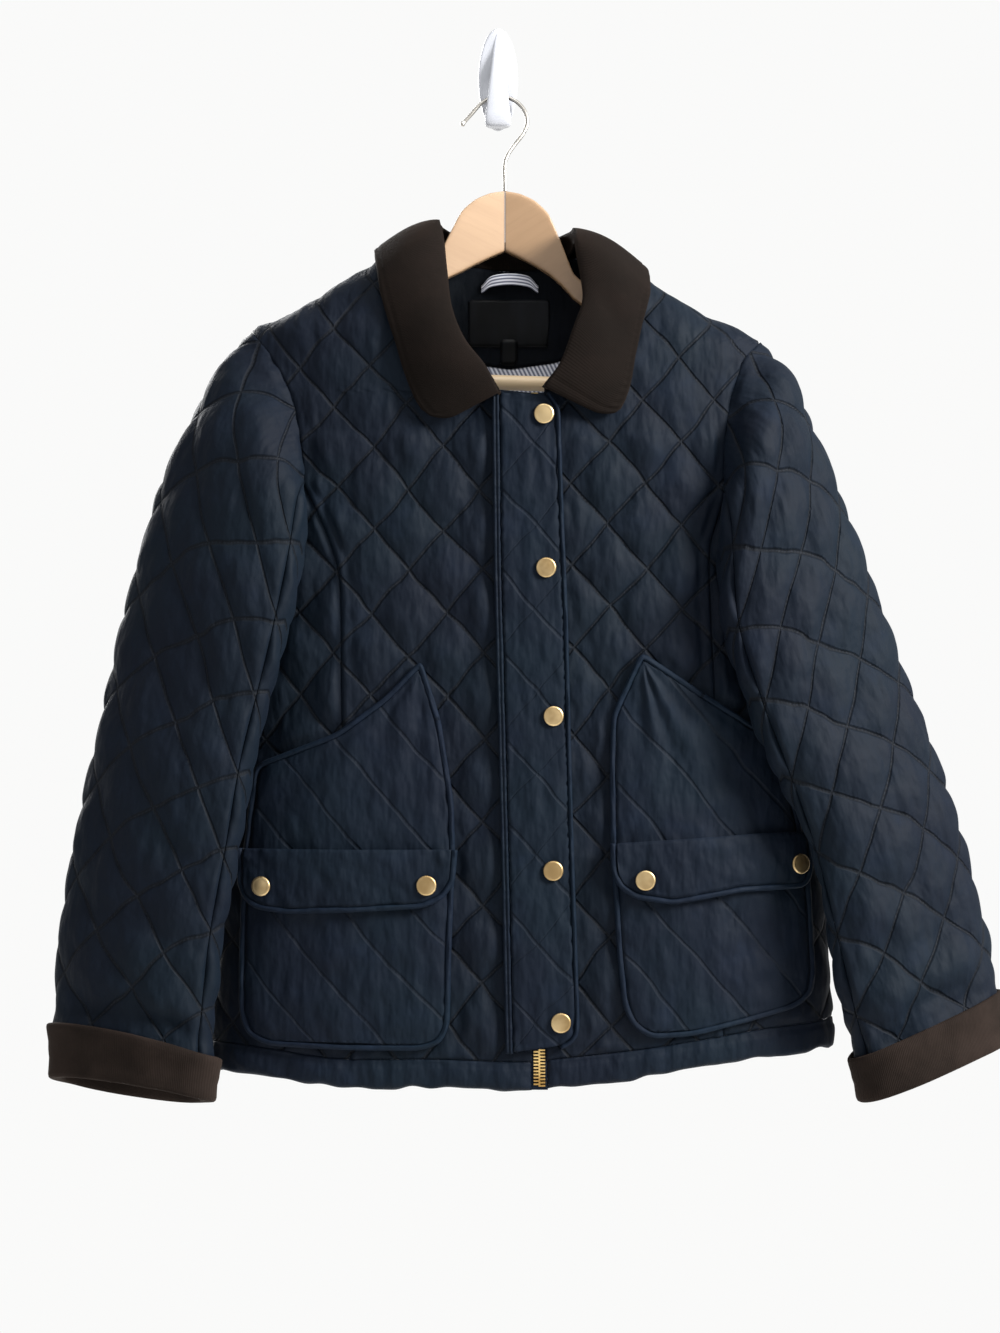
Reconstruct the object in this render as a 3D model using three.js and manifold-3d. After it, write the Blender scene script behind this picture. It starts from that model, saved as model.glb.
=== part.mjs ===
// A quilted jacket on a wooden hanger that hangs from a small wall hook, in millimetres, +Z up.
// The origin is the centre of the hook's flat back face, the wall is the plane y = 0, +X is to the
// right as the jacket is looked at, and the jacket lies on the -Y side.
import * as THREE from 'three';
import { mergeVertices } from 'three/addons/utils/BufferGeometryUtils.js';
import Module from 'manifold-3d';

const wasm = await Module();
wasm.setup();

// Driving sizes
const clothThickness = 2.5;
const quiltPuff = 3;
const seamGap = 0.3;
const diamondWidth = 57;
const diamondHeight = 64;
const seamPlane = -52;
const sectionPower = 2.5;
const layInner = clothThickness + quiltPuff + seamGap;
const pocketOuter = layInner + clothThickness;
const flapInner = pocketOuter + quiltPuff + 3 * seamGap;
const flapOuter = flapInner + clothThickness;
const placketOuter = layInner + clothThickness;
const bindingWidth = 3.6;
const bindingRise = 1.2;
const edgeGap = 0.9;
const welt = { width: 6, rise: 3 };
const hemHeight = 23;
const hemPuckers = { width: 19, rise: 1.3, cell: 12, crest: 1.2, edge: 0.2 };
const cuff = { height: 38, thickness: 3.4, columns: 22, gap: 0.7, overhang: 5, sleeveLength: 540 };
const collarThickness = 3.4;
const snap = { radius: 7.8, rim: 1.6, dome: 2.6, sides: 9, seat: 0.65 };
const wire = { radius: 1.65, sides: 8, steps: 26 };
const hanger = { joint: 5.6, thickness: 12, nearY: -21, farY: -52, span: 188 };
const bar = { radius: 6, y: -46, z: -253, half: 157.2, tilt: 0.03 };
const hookPlate = { width: 32, height: 83, thickness: 4, bevel: 1.2, saddleWidth: 14, tongueWidth: 21 };

// Colours, with how rough and how metallic each finish is
const finishes = {
  navy: { color: 0x1b2430, roughness: 0.8, metalness: 0 },
  binding: { color: 0x222c3a, roughness: 0.7, metalness: 0 },
  corduroy: { color: 0x2e211b, roughness: 0.95, metalness: 0 },
  lining: { color: 0xb9bec8, roughness: 0.8, metalness: 0 },
  label: { color: 0x0c0d10, roughness: 0.45, metalness: 0 },
  brass: { color: 0xb8935a, roughness: 0.35, metalness: 1 },
  steel: { color: 0xa9a9a6, roughness: 0.3, metalness: 1 },
  wood: { color: 0xdcbd95, roughness: 0.55, metalness: 0 },
  plastic: { color: 0xf2f3f7, roughness: 0.3, metalness: 0 },
};

// The body's cross-sections: the left and right edge and how deep the front and back are
const bodySections = [
  { z: -118, left: -32, right: 44, front: 24, back: 36 },
  { z: -137, left: -56, right: 68, front: 30, back: 39 },
  { z: -158, left: -93.5, right: 97, front: 38, back: 41 },
  { z: -176, left: -121, right: 122, front: 43, back: 42 },
  { z: -203, left: -170, right: 166, front: 48, back: 41 },
  { z: -213, left: -193, right: 188, front: 50, back: 41 },
  { z: -222, left: -201, right: 206, front: 51, back: 42 },
  { z: -245, left: -205, right: 213, front: 53, back: 42 },
  { z: -300, left: -206, right: 216, front: 56, back: 42 },
  { z: -412, left: -206, right: 220, front: 58, back: 42 },
  { z: -560, left: -212, right: 240, front: 57, back: 42 },
  { z: -650, left: -218, right: 255, front: 56, back: 42 },
  { z: -740, left: -223, right: 261, front: 56, back: 41 },
  { z: -840, left: -228, right: 264, front: 56, back: 41 },
];

// Long soft folds of the body: how far the wall moves out, along a line from top to bottom
const bodyFolds = [
  { side: 'front', x: -118, z: -560, lean: 0.05, length: 300, width: 34, rise: 4 },
  { side: 'front', x: -30, z: -520, lean: -0.03, length: 380, width: 30, rise: -2.5 },
  { side: 'front', x: 78, z: -500, lean: 0.02, length: 300, width: 26, rise: -3 },
  { side: 'front', x: 150, z: -640, lean: -0.06, length: 260, width: 36, rise: 3.5 },
  { side: 'back', x: -110, z: -600, lean: 0.05, length: 380, width: 40, rise: 4 },
  { side: 'back', x: -40, z: -560, lean: -0.02, length: 420, width: 34, rise: -3 },
  { side: 'back', x: 60, z: -580, lean: 0.04, length: 400, width: 36, rise: 3.5 },
  { side: 'back', x: 150, z: -560, lean: -0.04, length: 320, width: 34, rise: -2.5 },
];

// Seam lines seen from the front, each as points x, z from top to bottom
const zipLine = [{ z: -264, x: 30 }, { z: -804, x: 32 }];
const armholes = {
  left: {
    tip: { x: -193, z: -213 },
    fold: { x: -151.5, z: -334 },
    underarm: { x: -205, z: -411 },
    front: [
      { z: -213, x: -193 }, { z: -234, x: -177 }, { z: -254, x: -166 }, { z: -270, x: -159.5 },
      { z: -299, x: -154 }, { z: -334, x: -151.5 }, { z: -365, x: -159 }, { z: -392, x: -178 },
      { z: -411, x: -205 },
    ],
    back: [
      { z: -213, x: -193 }, { z: -240, x: -174 }, { z: -290, x: -160 }, { z: -340, x: -157 },
      { z: -380, x: -172 }, { z: -411, x: -205 },
    ],
  },
  right: {
    tip: { x: 205, z: -221.5 },
    fold: { x: 177, z: -341 },
    underarm: { x: 219, z: -417 },
    front: [
      { z: -221.5, x: 205 }, { z: -238, x: 191 }, { z: -261, x: 183 }, { z: -294, x: 177.5 },
      { z: -341, x: 177 }, { z: -370, x: 183 }, { z: -396, x: 199 }, { z: -417, x: 219 },
    ],
    back: [
      { z: -221.5, x: 205 }, { z: -247, x: 189 }, { z: -295, x: 177 }, { z: -345, x: 175 },
      { z: -386, x: 189 }, { z: -417, x: 219 },
    ],
  },
};
const princessLines = {
  left: [
    { z: -334, x: -151.5 }, { z: -369, x: -134 }, { z: -400, x: -123.5 }, { z: -426, x: -121 },
    { z: -507, x: -120 }, { z: -840, x: -112 },
  ],
  right: [
    { z: -341, x: 177 }, { z: -356, x: 172 }, { z: -385, x: 164 }, { z: -446, x: 165 },
    { z: -488, x: 167 }, { z: -840, x: 176 },
  ],
};
const neckline = {
  left: [
    { z: -100, x: -55 }, { z: -137, x: -54 }, { z: -165, x: -52 }, { z: -184, x: -48 },
    { z: -204, x: -44 }, { z: -230, x: -33 }, { z: -250, x: -13 }, { z: -264, x: 3 },
  ],
  right: [
    { z: -100, x: 58 }, { z: -142, x: 62 }, { z: -165, x: 71 }, { z: -190, x: 75 },
    { z: -214, x: 68 }, { z: -245, x: 54 }, { z: -262, x: 37 },
  ],
  back: [
    { z: -100, x: -52 }, { z: -140, x: -50 }, { z: -152, x: -30 }, { z: -157, x: 5 },
    { z: -155, x: 38 }, { z: -146, x: 58 }, { z: -100, x: 60 },
  ],
};
const hemLine = {
  front: [
    { x: -300, z: -793 }, { x: -192, z: -794 }, { x: -125, z: -802 }, { x: -55, z: -802 },
    { x: 23, z: -804 }, { x: 42, z: -802 }, { x: 107, z: -795 }, { x: 160, z: -787 },
    { x: 209, z: -780 }, { x: 340, z: -770 },
  ],
  back: [
    { x: -300, z: -793 }, { x: -150, z: -801 }, { x: 10, z: -803 }, { x: 160, z: -789 },
    { x: 340, z: -770 },
  ],
};

// Sleeve rings: the outer and inner edge seen from the front, with their depths, half the
// thickness front to back, and how far the ring's front is tipped up (in degrees)
const sleeveRings = {
  left: [
    { outX: -214, outZ: -242, outY: -55, inX: -152, inZ: -352, inY: -106, half: 34, tip: 0 },
    { outX: -258, outZ: -329, outY: -60, inX: -155, inZ: -392, inY: -117, half: 28, tip: 0 },
    { outX: -285, outZ: -416, outY: -64, inX: -164, inZ: -440, inY: -124, half: 24, tip: 2 },
    { outX: -299, outZ: -480, outY: -66, inX: -176, inZ: -492, inY: -126, half: 23, tip: 4 },
    { outX: -312, outZ: -543, outY: -68, inX: -190, inZ: -548, inY: -127, half: 23, tip: 6 },
    { outX: -328, outZ: -612, outY: -70, inX: -202, inZ: -616, inY: -127, half: 22, tip: 8 },
    { outX: -338, outZ: -677, outY: -72, inX: -214, inZ: -680, inY: -125, half: 22, tip: 12 },
    { outX: -343, outZ: -734, outY: -74, inX: -222, inZ: -740, inY: -121, half: 23, tip: 16 },
    { outX: -341, outZ: -794, outY: -76, inX: -229, inZ: -803, inY: -116, half: 24, tip: 22 },
  ],
  right: [
    { outX: 224, outZ: -249, outY: -55, inX: 177, inZ: -358, inY: -106, half: 34, tip: 0 },
    { outX: 256, outZ: -324, outY: -60, inX: 176, inZ: -398, inY: -118, half: 28, tip: 0 },
    { outX: 289, outZ: -408, outY: -64, inX: 178, inZ: -446, inY: -125, half: 24, tip: 2 },
    { outX: 314, outZ: -478, outY: -66, inX: 194, inZ: -500, inY: -127, half: 23, tip: 3 },
    { outX: 336, outZ: -540, outY: -68, inX: 214, inZ: -556, inY: -128, half: 23, tip: 4 },
    { outX: 356, outZ: -600, outY: -70, inX: 234, inZ: -618, inY: -127, half: 22, tip: 5 },
    { outX: 372, outZ: -660, outY: -72, inX: 252, inZ: -680, inY: -124, half: 22, tip: 5 },
    { outX: 382, outZ: -712, outY: -74, inX: 268, inZ: -738, inY: -120, half: 23, tip: 4 },
    { outX: 388, outZ: -765, outY: -76, inX: 287, inZ: -803, inY: -114, half: 24, tip: 2 },
  ],
};
const sleeveLattice = { columns: 10, upperColumns: 6, rows: 16, start: -0.13, cell: 28 };
// Elbow and cuff folds of the sleeves: place along and around, size and depth
const sleeveFolds = {
  left: [
    { row: 6.5, around: 0.3, rows: 1.1, width: 0.16, rise: -4 },
    { row: 9, around: 0.2, rows: 0.9, width: 0.15, rise: 3 },
    { row: 13.4, around: 0.26, rows: 0.7, width: 0.2, rise: 3.5 },
    { row: 8, around: 0.75, rows: 1.2, width: 0.14, rise: 3 },
  ],
  right: [
    { row: 7, around: 0.25, rows: 1, width: 0.16, rise: -3.5 },
    { row: 10.5, around: 0.3, rows: 1, width: 0.15, rise: 3 },
    { row: 14, around: 0.24, rows: 0.6, width: 0.22, rise: 5 },
    { row: 9, around: 0.75, rows: 1.2, width: 0.14, rise: 3 },
  ],
};

// The collar's stations from the left front point, round the back, to the right front point:
// the roll line, the outer edge, how far the edge lies off the wall's base, and the seam below
const collarStations = [
  { rollX: 1, rollY: -121, rollZ: -266, edgeX: -46, edgeZ: -290, face: 'front', lift: 1 },
  { rollX: -10, rollY: -120, rollZ: -247, edgeX: -60, edgeZ: -276, face: 'front', lift: 4 },
  { rollX: -27, rollY: -117, rollZ: -226, edgeX: -70, edgeZ: -254, face: 'front', lift: 6 },
  { rollX: -38, rollY: -108, rollZ: -200, edgeX: -80, edgeZ: -222, face: 'front', lift: 7 },
  { rollX: -42, rollY: -92, rollZ: -172, edgeX: -90, edgeZ: -190, face: 'front', lift: 8 },
  { rollX: -45, rollY: -70, rollZ: -143, edgeX: -94, edgeZ: -168, face: 'front', lift: 8 },
  { rollX: -47, rollY: -46, rollZ: -125, edgeX: -97, edgeY: -44, edgeZ: -149, lift: 5 },
  { rollX: -42, rollY: -20, rollZ: -126, edgeX: -88, edgeZ: -178, face: 'back', lift: 2 },
  { rollX: -22, rollY: -7.5, rollZ: -131, edgeX: -48, edgeZ: -197, face: 'back', lift: 0 },
  { rollX: 6, rollY: -6, rollZ: -133, edgeX: 6, edgeZ: -203, face: 'back', lift: 0 },
  { rollX: 34, rollY: -7.5, rollZ: -133, edgeX: 62, edgeZ: -200, face: 'back', lift: 0 },
  { rollX: 54, rollY: -20, rollZ: -130, edgeX: 104, edgeZ: -188, face: 'back', lift: 2 },
  { rollX: 60, rollY: -46, rollZ: -131, edgeX: 116, edgeY: -44, edgeZ: -163, lift: 5 },
  { rollX: 62, rollY: -72, rollZ: -146, edgeX: 118, edgeZ: -186, face: 'front', lift: 8 },
  { rollX: 66, rollY: -94, rollZ: -172, edgeX: 112, edgeZ: -208, face: 'front', lift: 8 },
  { rollX: 67, rollY: -107, rollZ: -194, edgeX: 106, edgeZ: -234, face: 'front', lift: 7 },
  { rollX: 60, rollY: -116, rollZ: -214, edgeX: 101, edgeZ: -260, face: 'front', lift: 6 },
  { rollX: 49, rollY: -120, rollZ: -243, edgeX: 95, edgeZ: -276, face: 'front', lift: 4 },
  { rollX: 35, rollY: -121, rollZ: -262, edgeX: 87, edgeZ: -286, face: 'front', lift: 1 },
];
const collarColumns = 26;

// Outlines of what is sewn on the fronts
const placket = {
  left: [
    { z: -264, x: 1.5 }, { z: -400, x: 3 }, { z: -514, x: 6 }, { z: -633, x: 9 }, { z: -774, x: 12 },
  ],
  right: [
    { z: -275, x: 48 }, { z: -340, x: 50 }, { z: -440, x: 54 }, { z: -600, x: 58 }, { z: -752, x: 63 },
  ],
  topRight: { x: 40, z: -264 },
  bottom: [{ x: 62, z: -760 }, { x: 57, z: -767 }, { x: 49, z: -771 }, { x: 12, z: -774 }],
};
const pockets = {
  left: {
    outline: [
      { x: -59, z: -470 }, { x: -88, z: -500 }, { x: -125, z: -527 }, { x: -190, z: -552 },
      { x: -199, z: -620 }, { x: -202, z: -700 }, { x: -202, z: -745 }, { x: -196, z: -762 },
      { x: -180, z: -770 }, { x: -120, z: -772 }, { x: -60, z: -772 }, { x: -44, z: -767 },
      { x: -37, z: -752 }, { x: -36, z: -700 }, { x: -33, z: -620 }, { x: -34, z: -580 },
      { x: -44, z: -517 },
    ],
  },
  right: {
    outline: [
      { x: 110, z: -464 }, { x: 87, z: -514 }, { x: 86, z: -560 }, { x: 87, z: -620 },
      { x: 92, z: -700 }, { x: 96, z: -738 }, { x: 104, z: -754 }, { x: 118, z: -763 },
      { x: 150, z: -761 }, { x: 190, z: -752 }, { x: 228, z: -742 }, { x: 240, z: -732 },
      { x: 243, z: -715 }, { x: 238, z: -640 }, { x: 226, z: -570 }, { x: 208, z: -528 },
      { x: 160, z: -497 },
    ],
  },
};
const flaps = {
  left: [
    { x: -203, z: -617 }, { x: -203, z: -645 }, { x: -198, z: -657 }, { x: -188, z: -664 },
    { x: -165, z: -667 }, { x: -110, z: -665 }, { x: -58, z: -662 }, { x: -42, z: -655 },
    { x: -33, z: -642 }, { x: -31, z: -617 },
  ],
  right: [
    { x: 86, z: -612 }, { x: 87, z: -634 }, { x: 93, z: -647 }, { x: 106, z: -655 },
    { x: 135, z: -659 }, { x: 188, z: -650 }, { x: 238, z: -648 }, { x: 243, z: -643 },
    { x: 246, z: -634 }, { x: 246, z: -604 }, { x: 200, z: -605 },
  ],
};
const snapPlaces = [
  { name: 'snap_placket_1', x: 35.3, z: -282 },
  { name: 'snap_placket_2', x: 36.8, z: -400 },
  { name: 'snap_placket_3', x: 42.2, z: -514 },
  { name: 'snap_placket_4', x: 42.2, z: -633 },
  { name: 'snap_placket_5', x: 48.3, z: -750 },
  { name: 'snap_flap_left_1', x: -178, z: -646, flap: true },
  { name: 'snap_flap_left_2', x: -55, z: -644, flap: true },
  { name: 'snap_flap_right_1', x: 113.5, z: -640, flap: true },
  { name: 'snap_flap_right_2', x: 228, z: -630, flap: true },
];

// What shows inside the neck
const facing = {
  inner: -1.3,
  outline: [
    { x: -44, z: -162 }, { x: -26, z: -163 }, { x: 5, z: -164 }, { x: 36, z: -162 }, { x: 52, z: -160 },
    { x: 60, z: -200 }, { x: 42, z: -228 }, { x: 10, z: -236 }, { x: -22, z: -230 }, { x: -46, z: -205 },
  ],
};
const liningStrip = [
  { x: -50, z: -206 }, { x: -22, z: -231 }, { x: 10, z: -237 }, { x: 42, z: -229 }, { x: 64, z: -206 },
  { x: 66, z: -278 }, { x: -52, z: -278 },
];
const labelPatch = { left: -24, right: 42, top: -180, bottom: -218, offset: -1.6, thickness: 0.5 };
const sizeTab = { left: 1.5, right: 16, top: -212, bottom: -233, offset: -2.4, thickness: 0.5 };
const loop = { left: -13, right: 32, z: -166, width: 9, thickness: 1.1, bow: 6 };

// The half outline of the hanger, by the distance from its middle joint
const hangerEdge = [
  { out: 0, top: -94.4, bottom: -142.7, drop: 0 }, { out: 12, top: -96.5, bottom: -148, drop: 0.5 },
  { out: 24, top: -102, bottom: -154, drop: 1 }, { out: 35, top: -112, bottom: -160, drop: 2 },
  { out: 45, top: -131, bottom: -165, drop: 6 }, { out: 55, top: -151, bottom: -171, drop: 11 },
  { out: 68, top: -160, bottom: -179, drop: 13 }, { out: 100, top: -177, bottom: -200, drop: 15 },
  { out: 140, top: -199, bottom: -223, drop: 14 }, { out: 157.5, top: -210, bottom: -240, drop: 12 },
  { out: 157.8, top: -210.2, bottom: -258, drop: 12 }, { out: 172, top: -221, bottom: -259, drop: 11 },
  { out: 178, top: -231, bottom: -250, drop: 11 },
];
const wireRoute = [
  { x: 5.6, y: -20.5, z: -94 }, { x: 5.6, y: -19.5, z: -71 }, { x: 8, y: -18.4, z: -64 },
  { x: 14, y: -16.4, z: -55 }, { x: 20.2, y: -14.6, z: -46.5 }, { x: 23.6, y: -12.6, z: -37 },
  { x: 21, y: -10.6, z: -26.5 }, { x: 13.8, y: -9, z: -18.8 }, { x: 4.8, y: -8.2, z: -15.4 },
  { x: -4.9, y: -8.4, z: -16.2 }, { x: -14, y: -9.6, z: -21.5 }, { x: -22, y: -11, z: -30.5 },
  { x: -30, y: -12, z: -39.5 },
];

// The wall hook's saddle under the wire and the tongue in front of it, seen from the side
const hookSaddle = [{ y: -1, z: -19.2 }, { y: -1, z: -38 }, { y: -13, z: -38 }, { y: -13, z: -19.2 }];
const hookTongue = [
  { y: -11.4, z: -3 }, { y: -10.6, z: -40 }, { y: -13.5, z: -40.5 }, { y: -16, z: -34 },
  { y: -16.6, z: -20 }, { y: -15.2, z: -7 }, { y: -13, z: -2 },
];

// Reads every column of a table at one value of its key column, smoothly between the rows
function readTable(rows, key, value) {
  const rising = rows[rows.length - 1][key] > rows[0][key];
  const along = (row) => (rising ? row[key] : -row[key]);
  const target = rising ? value : -value;
  if (target <= along(rows[0])) return { ...rows[0] };
  if (target >= along(rows[rows.length - 1])) return { ...rows[rows.length - 1] };
  const i = rows.findIndex((row, k) => k > 0 && along(row) >= target) - 1;
  const [before, low, high, after] = [rows[Math.max(i - 1, 0)], rows[i], rows[i + 1],
    rows[Math.min(i + 2, rows.length - 1)]];
  const span = along(high) - along(low);
  const t = (target - along(low)) / span;
  const read = {};
  for (const name of Object.keys(low)) {
    if (typeof low[name] !== 'number') continue;
    const slopeLow = ((high[name] - before[name]) / (along(high) - along(before))) * span;
    const slopeHigh = ((after[name] - low[name]) / (along(after) - along(low))) * span;
    read[name] = hermite(low[name], high[name], slopeLow, slopeHigh, t);
  }
  return read;
}

function hermite(low, high, slopeLow, slopeHigh, t) {
  const t2 = t * t;
  const t3 = t2 * t;
  return (2 * t3 - 3 * t2 + 1) * low + (t3 - 2 * t2 + t) * slopeLow
    + (3 * t2 - 2 * t3) * high + (t3 - t2) * slopeHigh;
}

const mix = (a, b, t) => a + (b - a) * t;
const signedPower = (value, power) => Math.sign(value) * Math.abs(value) ** power;
const bell = (value) => Math.exp(-value * value);

// One half of a body section, as points with their length along the cloth
const sectionSteps = 140;
const sectionCache = new Map();
function halfSection(side, z) {
  const key = `${side} ${z.toFixed(2)}`;
  if (sectionCache.has(key)) return sectionCache.get(key);
  const row = readTable(bodySections, 'z', z);
  const centre = (row.left + row.right) / 2;
  const half = (row.right - row.left) / 2;
  const reach = side === 'front' ? -row.front : row.back;
  const points = [];
  for (let i = 0; i <= sectionSteps; i += 1) {
    const angle = Math.PI * (1 - i / sectionSteps);
    const x = centre + half * signedPower(Math.cos(angle), 2 / sectionPower);
    const y = seamPlane + reach * signedPower(Math.sin(angle), 2 / sectionPower);
    const last = points[i - 1];
    points.push({ x, y, length: last ? last.length + Math.hypot(x - last.x, y - last.y) : 0 });
  }
  const start = side === 'front' ? readTable(zipLine, 'z', z).x : centre;
  const k = points.findIndex((point) => point.x >= start);
  const part = (start - points[k - 1].x) / (points[k].x - points[k - 1].x);
  const section = { points, row, start: mix(points[k - 1].length, points[k].length, part) };
  sectionCache.set(key, section);
  return section;
}

// The point of the body's inner face at s along the cloth from its start line; past a side
// seam the cloth runs straight on, and is cut off at the seam later
function bodyBase(side, s, z) {
  const { points, start } = halfSection(side, z);
  const target = s + start;
  const onward = side === 'front' ? 1 : -1;
  const end = points[points.length - 1];
  if (target <= 0) return new THREE.Vector3(points[0].x, points[0].y - onward * target, z);
  if (target >= end.length) {
    return new THREE.Vector3(end.x, end.y + onward * (target - end.length), z);
  }
  let low = 0;
  let high = points.length - 1;
  while (high - low > 1) {
    const middle = (low + high) >> 1;
    if (points[middle].length > target) high = middle;
    else low = middle;
  }
  const t = (target - points[low].length) / (points[high].length - points[low].length);
  const [from, to] = [points[low], points[high]];
  return new THREE.Vector3(mix(from.x, to.x, t), mix(from.y, to.y, t), z);
}

function bodyFoldRise(side, point) {
  let rise = 0;
  for (const fold of bodyFolds) {
    if (fold.side !== side) continue;
    const along = (point.z - fold.z) / fold.length;
    const across = (point.x - fold.x - fold.lean * (point.z - fold.z)) / fold.width;
    rise += fold.rise * bell(across) * bell(along * 2);
  }
  return rise;
}

// The body's inner face with its folds
function bodyFace(side, s, z) {
  const point = bodyBase(side, s, z);
  point.y += (side === 'front' ? -1 : 1) * bodyFoldRise(side, point);
  return point;
}

// The depth of the body's inner face at a place seen from the front
function depthAt(side, x, z) {
  const row = readTable(bodySections, 'z', z);
  const centre = (row.left + row.right) / 2;
  const across = Math.min(1, Math.abs((x - centre) / ((row.right - row.left) / 2)));
  const reach = side === 'front' ? -row.front : row.back;
  const share = (1 - across ** sectionPower) ** (1 / sectionPower);
  const point = new THREE.Vector3(x, seamPlane + reach * share, z);
  point.y += (side === 'front' ? -1 : 1) * bodyFoldRise(side, point);
  return point.y;
}

function solidFrom(positions, triangles) {
  const mesh = new wasm.Mesh({
    numProp: 3,
    vertProperties: new Float32Array(positions),
    triVerts: new Uint32Array(triangles),
  });
  return new wasm.Manifold(mesh);
}

function solidOfGeometry(geometry) {
  const plain = geometry.clone();
  plain.deleteAttribute('normal');
  plain.deleteAttribute('uv');
  const merged = mergeVertices(plain, 1e-4);
  return solidFrom(merged.attributes.position.array, merged.index.array);
}

function geometryOf(solid) {
  const { vertProperties, triVerts, numProp } = solid.getMesh();
  const positions = new Float32Array((vertProperties.length / numProp) * 3);
  for (let i = 0; i < positions.length / 3; i += 1) {
    positions.set(vertProperties.slice(i * numProp, i * numProp + 3), i * 3);
  }
  const geometry = new THREE.BufferGeometry();
  geometry.setAttribute('position', new THREE.BufferAttribute(positions, 3));
  geometry.setIndex(new THREE.BufferAttribute(new Uint32Array(triVerts), 1));
  geometry.computeVertexNormals();
  return geometry;
}

const root = new THREE.Group();
function addPart(name, geometry, finish) {
  const mesh = new THREE.Mesh(geometry, new THREE.MeshStandardMaterial(finishes[finish]));
  mesh.name = name;
  root.add(mesh);
  return mesh;
}

// The largest of the bodies that a cut leaves, without the slivers at its edges
function largest(solid) {
  const biggest = (bodies) => bodies.reduce(
    (best, next) => (next.volume() > best.volume() ? next : best));
  const sliver = 4e-3;
  const geometry = geometryOf(biggest(solid.decompose()));
  geometry.deleteAttribute('normal');
  const merged = mergeVertices(geometry, sliver);
  const triangles = [];
  const index = merged.index.array;
  for (let i = 0; i < index.length; i += 3) {
    const [a, b, c] = [index[i], index[i + 1], index[i + 2]];
    if (a !== b && b !== c && c !== a) triangles.push(a, b, c);
  }
  return biggest(solidFrom(merged.attributes.position.array, triangles).decompose());
}

// The unit normal of a surface of two parameters
function normalOf(surface, u, v) {
  const step = 0.05;
  const across = surface(u + step, v).sub(surface(u - step, v));
  const along = surface(u, v + step).sub(surface(u, v - step));
  return across.cross(along).normalize();
}

// A wall of cloth between two offsets of a surface, over a grid of whole columns and rows.
// Its outer face is raised by puff at the grid's points; with split, each cell also has its
// middle point, on the stitch line, so that the diamonds show as pillows over a plain inside.
function clothWall({ surface, columns, rows, inner, outer, puff, split, ring, flip }) {
  const positions = [];
  const triangles = [];
  const facing = flip ? -1 : 1;
  const across = ring ? columns : columns + 1;
  const place = (u, v, offset) => {
    const point = surface(u, v).addScaledVector(normalOf(surface, u, v), offset * facing);
    positions.push(point.x, point.y, point.z);
    return positions.length / 3 - 1;
  };
  const sheets = [outer, inner].map((offset, sheet) => {
    const corners = [];
    for (let j = 0; j <= rows; j += 1) {
      for (let i = 0; i < across; i += 1) {
        const raised = sheet === 0 && puff ? puff(i, j) : 0;
        corners.push(place(i, j, offset + raised));
      }
    }
    return (i, j) => corners[j * across + (i % across)];
  });
  sheets.forEach((corner, sheet) => {
    const forward = (sheet === 0) !== Boolean(flip);
    const add = (a, b, c) => triangles.push(...(forward ? [a, b, c] : [a, c, b]));
    const middles = sheet === 0 && split;
    for (let j = 0; j < rows; j += 1) {
      for (let i = 0; i < columns; i += 1) {
        const cell = [corner(i, j), corner(i + 1, j), corner(i + 1, j + 1), corner(i, j + 1)];
        if (middles) {
          const middle = place(i + 0.5, j + 0.5, outer);
          for (let k = 0; k < 4; k += 1) add(cell[k], cell[(k + 1) % 4], middle);
        } else {
          add(cell[0], cell[1], cell[2]);
          add(cell[0], cell[2], cell[3]);
        }
      }
    }
  });
  const [top, bottom] = sheets;
  const rim = (a, b) => {
    const quad = [top(...b), top(...a), bottom(...a), bottom(...b)];
    const order = flip ? [0, 2, 1, 0, 3, 2] : [0, 1, 2, 0, 2, 3];
    triangles.push(...order.map((k) => quad[k]));
  };
  for (let i = 0; i < columns; i += 1) {
    rim([i, 0], [i + 1, 0]);
    rim([i + 1, rows], [i, rows]);
  }
  for (let j = 0; j < rows && !ring; j += 1) {
    rim([columns, j], [columns, j + 1]);
    rim([0, j + 1], [0, j]);
  }
  return solidFrom(positions, triangles);
}

// A piece of the body's wall on the quilting grid, between two heights and two lengths
function bodyWall({ side, from, to, low, high, phase, inner, outer, quilted, mirror }) {
  const cellWidth = diamondWidth / 2;
  const cellHeight = diamondHeight / 2;
  const firstColumn = Math.floor((from - phase.s) / cellWidth);
  const firstRow = Math.floor((low - phase.z) / cellHeight);
  const columns = Math.ceil((to - phase.s) / cellWidth) - firstColumn;
  const rows = Math.ceil((high - phase.z) / cellHeight) - firstRow;
  const crest = (i, j) => (firstColumn + firstRow + i + j + (mirror ? 1 : 0)) % 2 !== 0;
  return clothWall({
    surface: (u, v) => bodyFace(
      side, phase.s + (firstColumn + u) * cellWidth, phase.z + (firstRow + v) * cellHeight),
    columns,
    rows,
    inner,
    outer,
    puff: (i, j) => (quilted && crest(i, j) ? quiltPuff : 0),
    split: quilted,
    flip: side === 'back',
  });
}

// A block with an outline seen from the front, between two depths, that pieces are cut with
function cutter(outline, near, far) {
  const shape = new THREE.Shape(outline.map((point) => new THREE.Vector2(point.x, point.z)));
  const block = new THREE.ExtrudeGeometry(shape, { depth: near - far, bevelEnabled: false, steps: 1 });
  block.rotateX(Math.PI / 2);
  block.translate(0, near, 0);
  return solidOfGeometry(block);
}
const cutterDepth = 130;
const frontCutter = (outline) => cutter(outline, seamPlane - seamGap / 2, seamPlane - cutterDepth);
const backCutter = (outline) => cutter(outline, seamPlane + cutterDepth, seamPlane + seamGap / 2);

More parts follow.
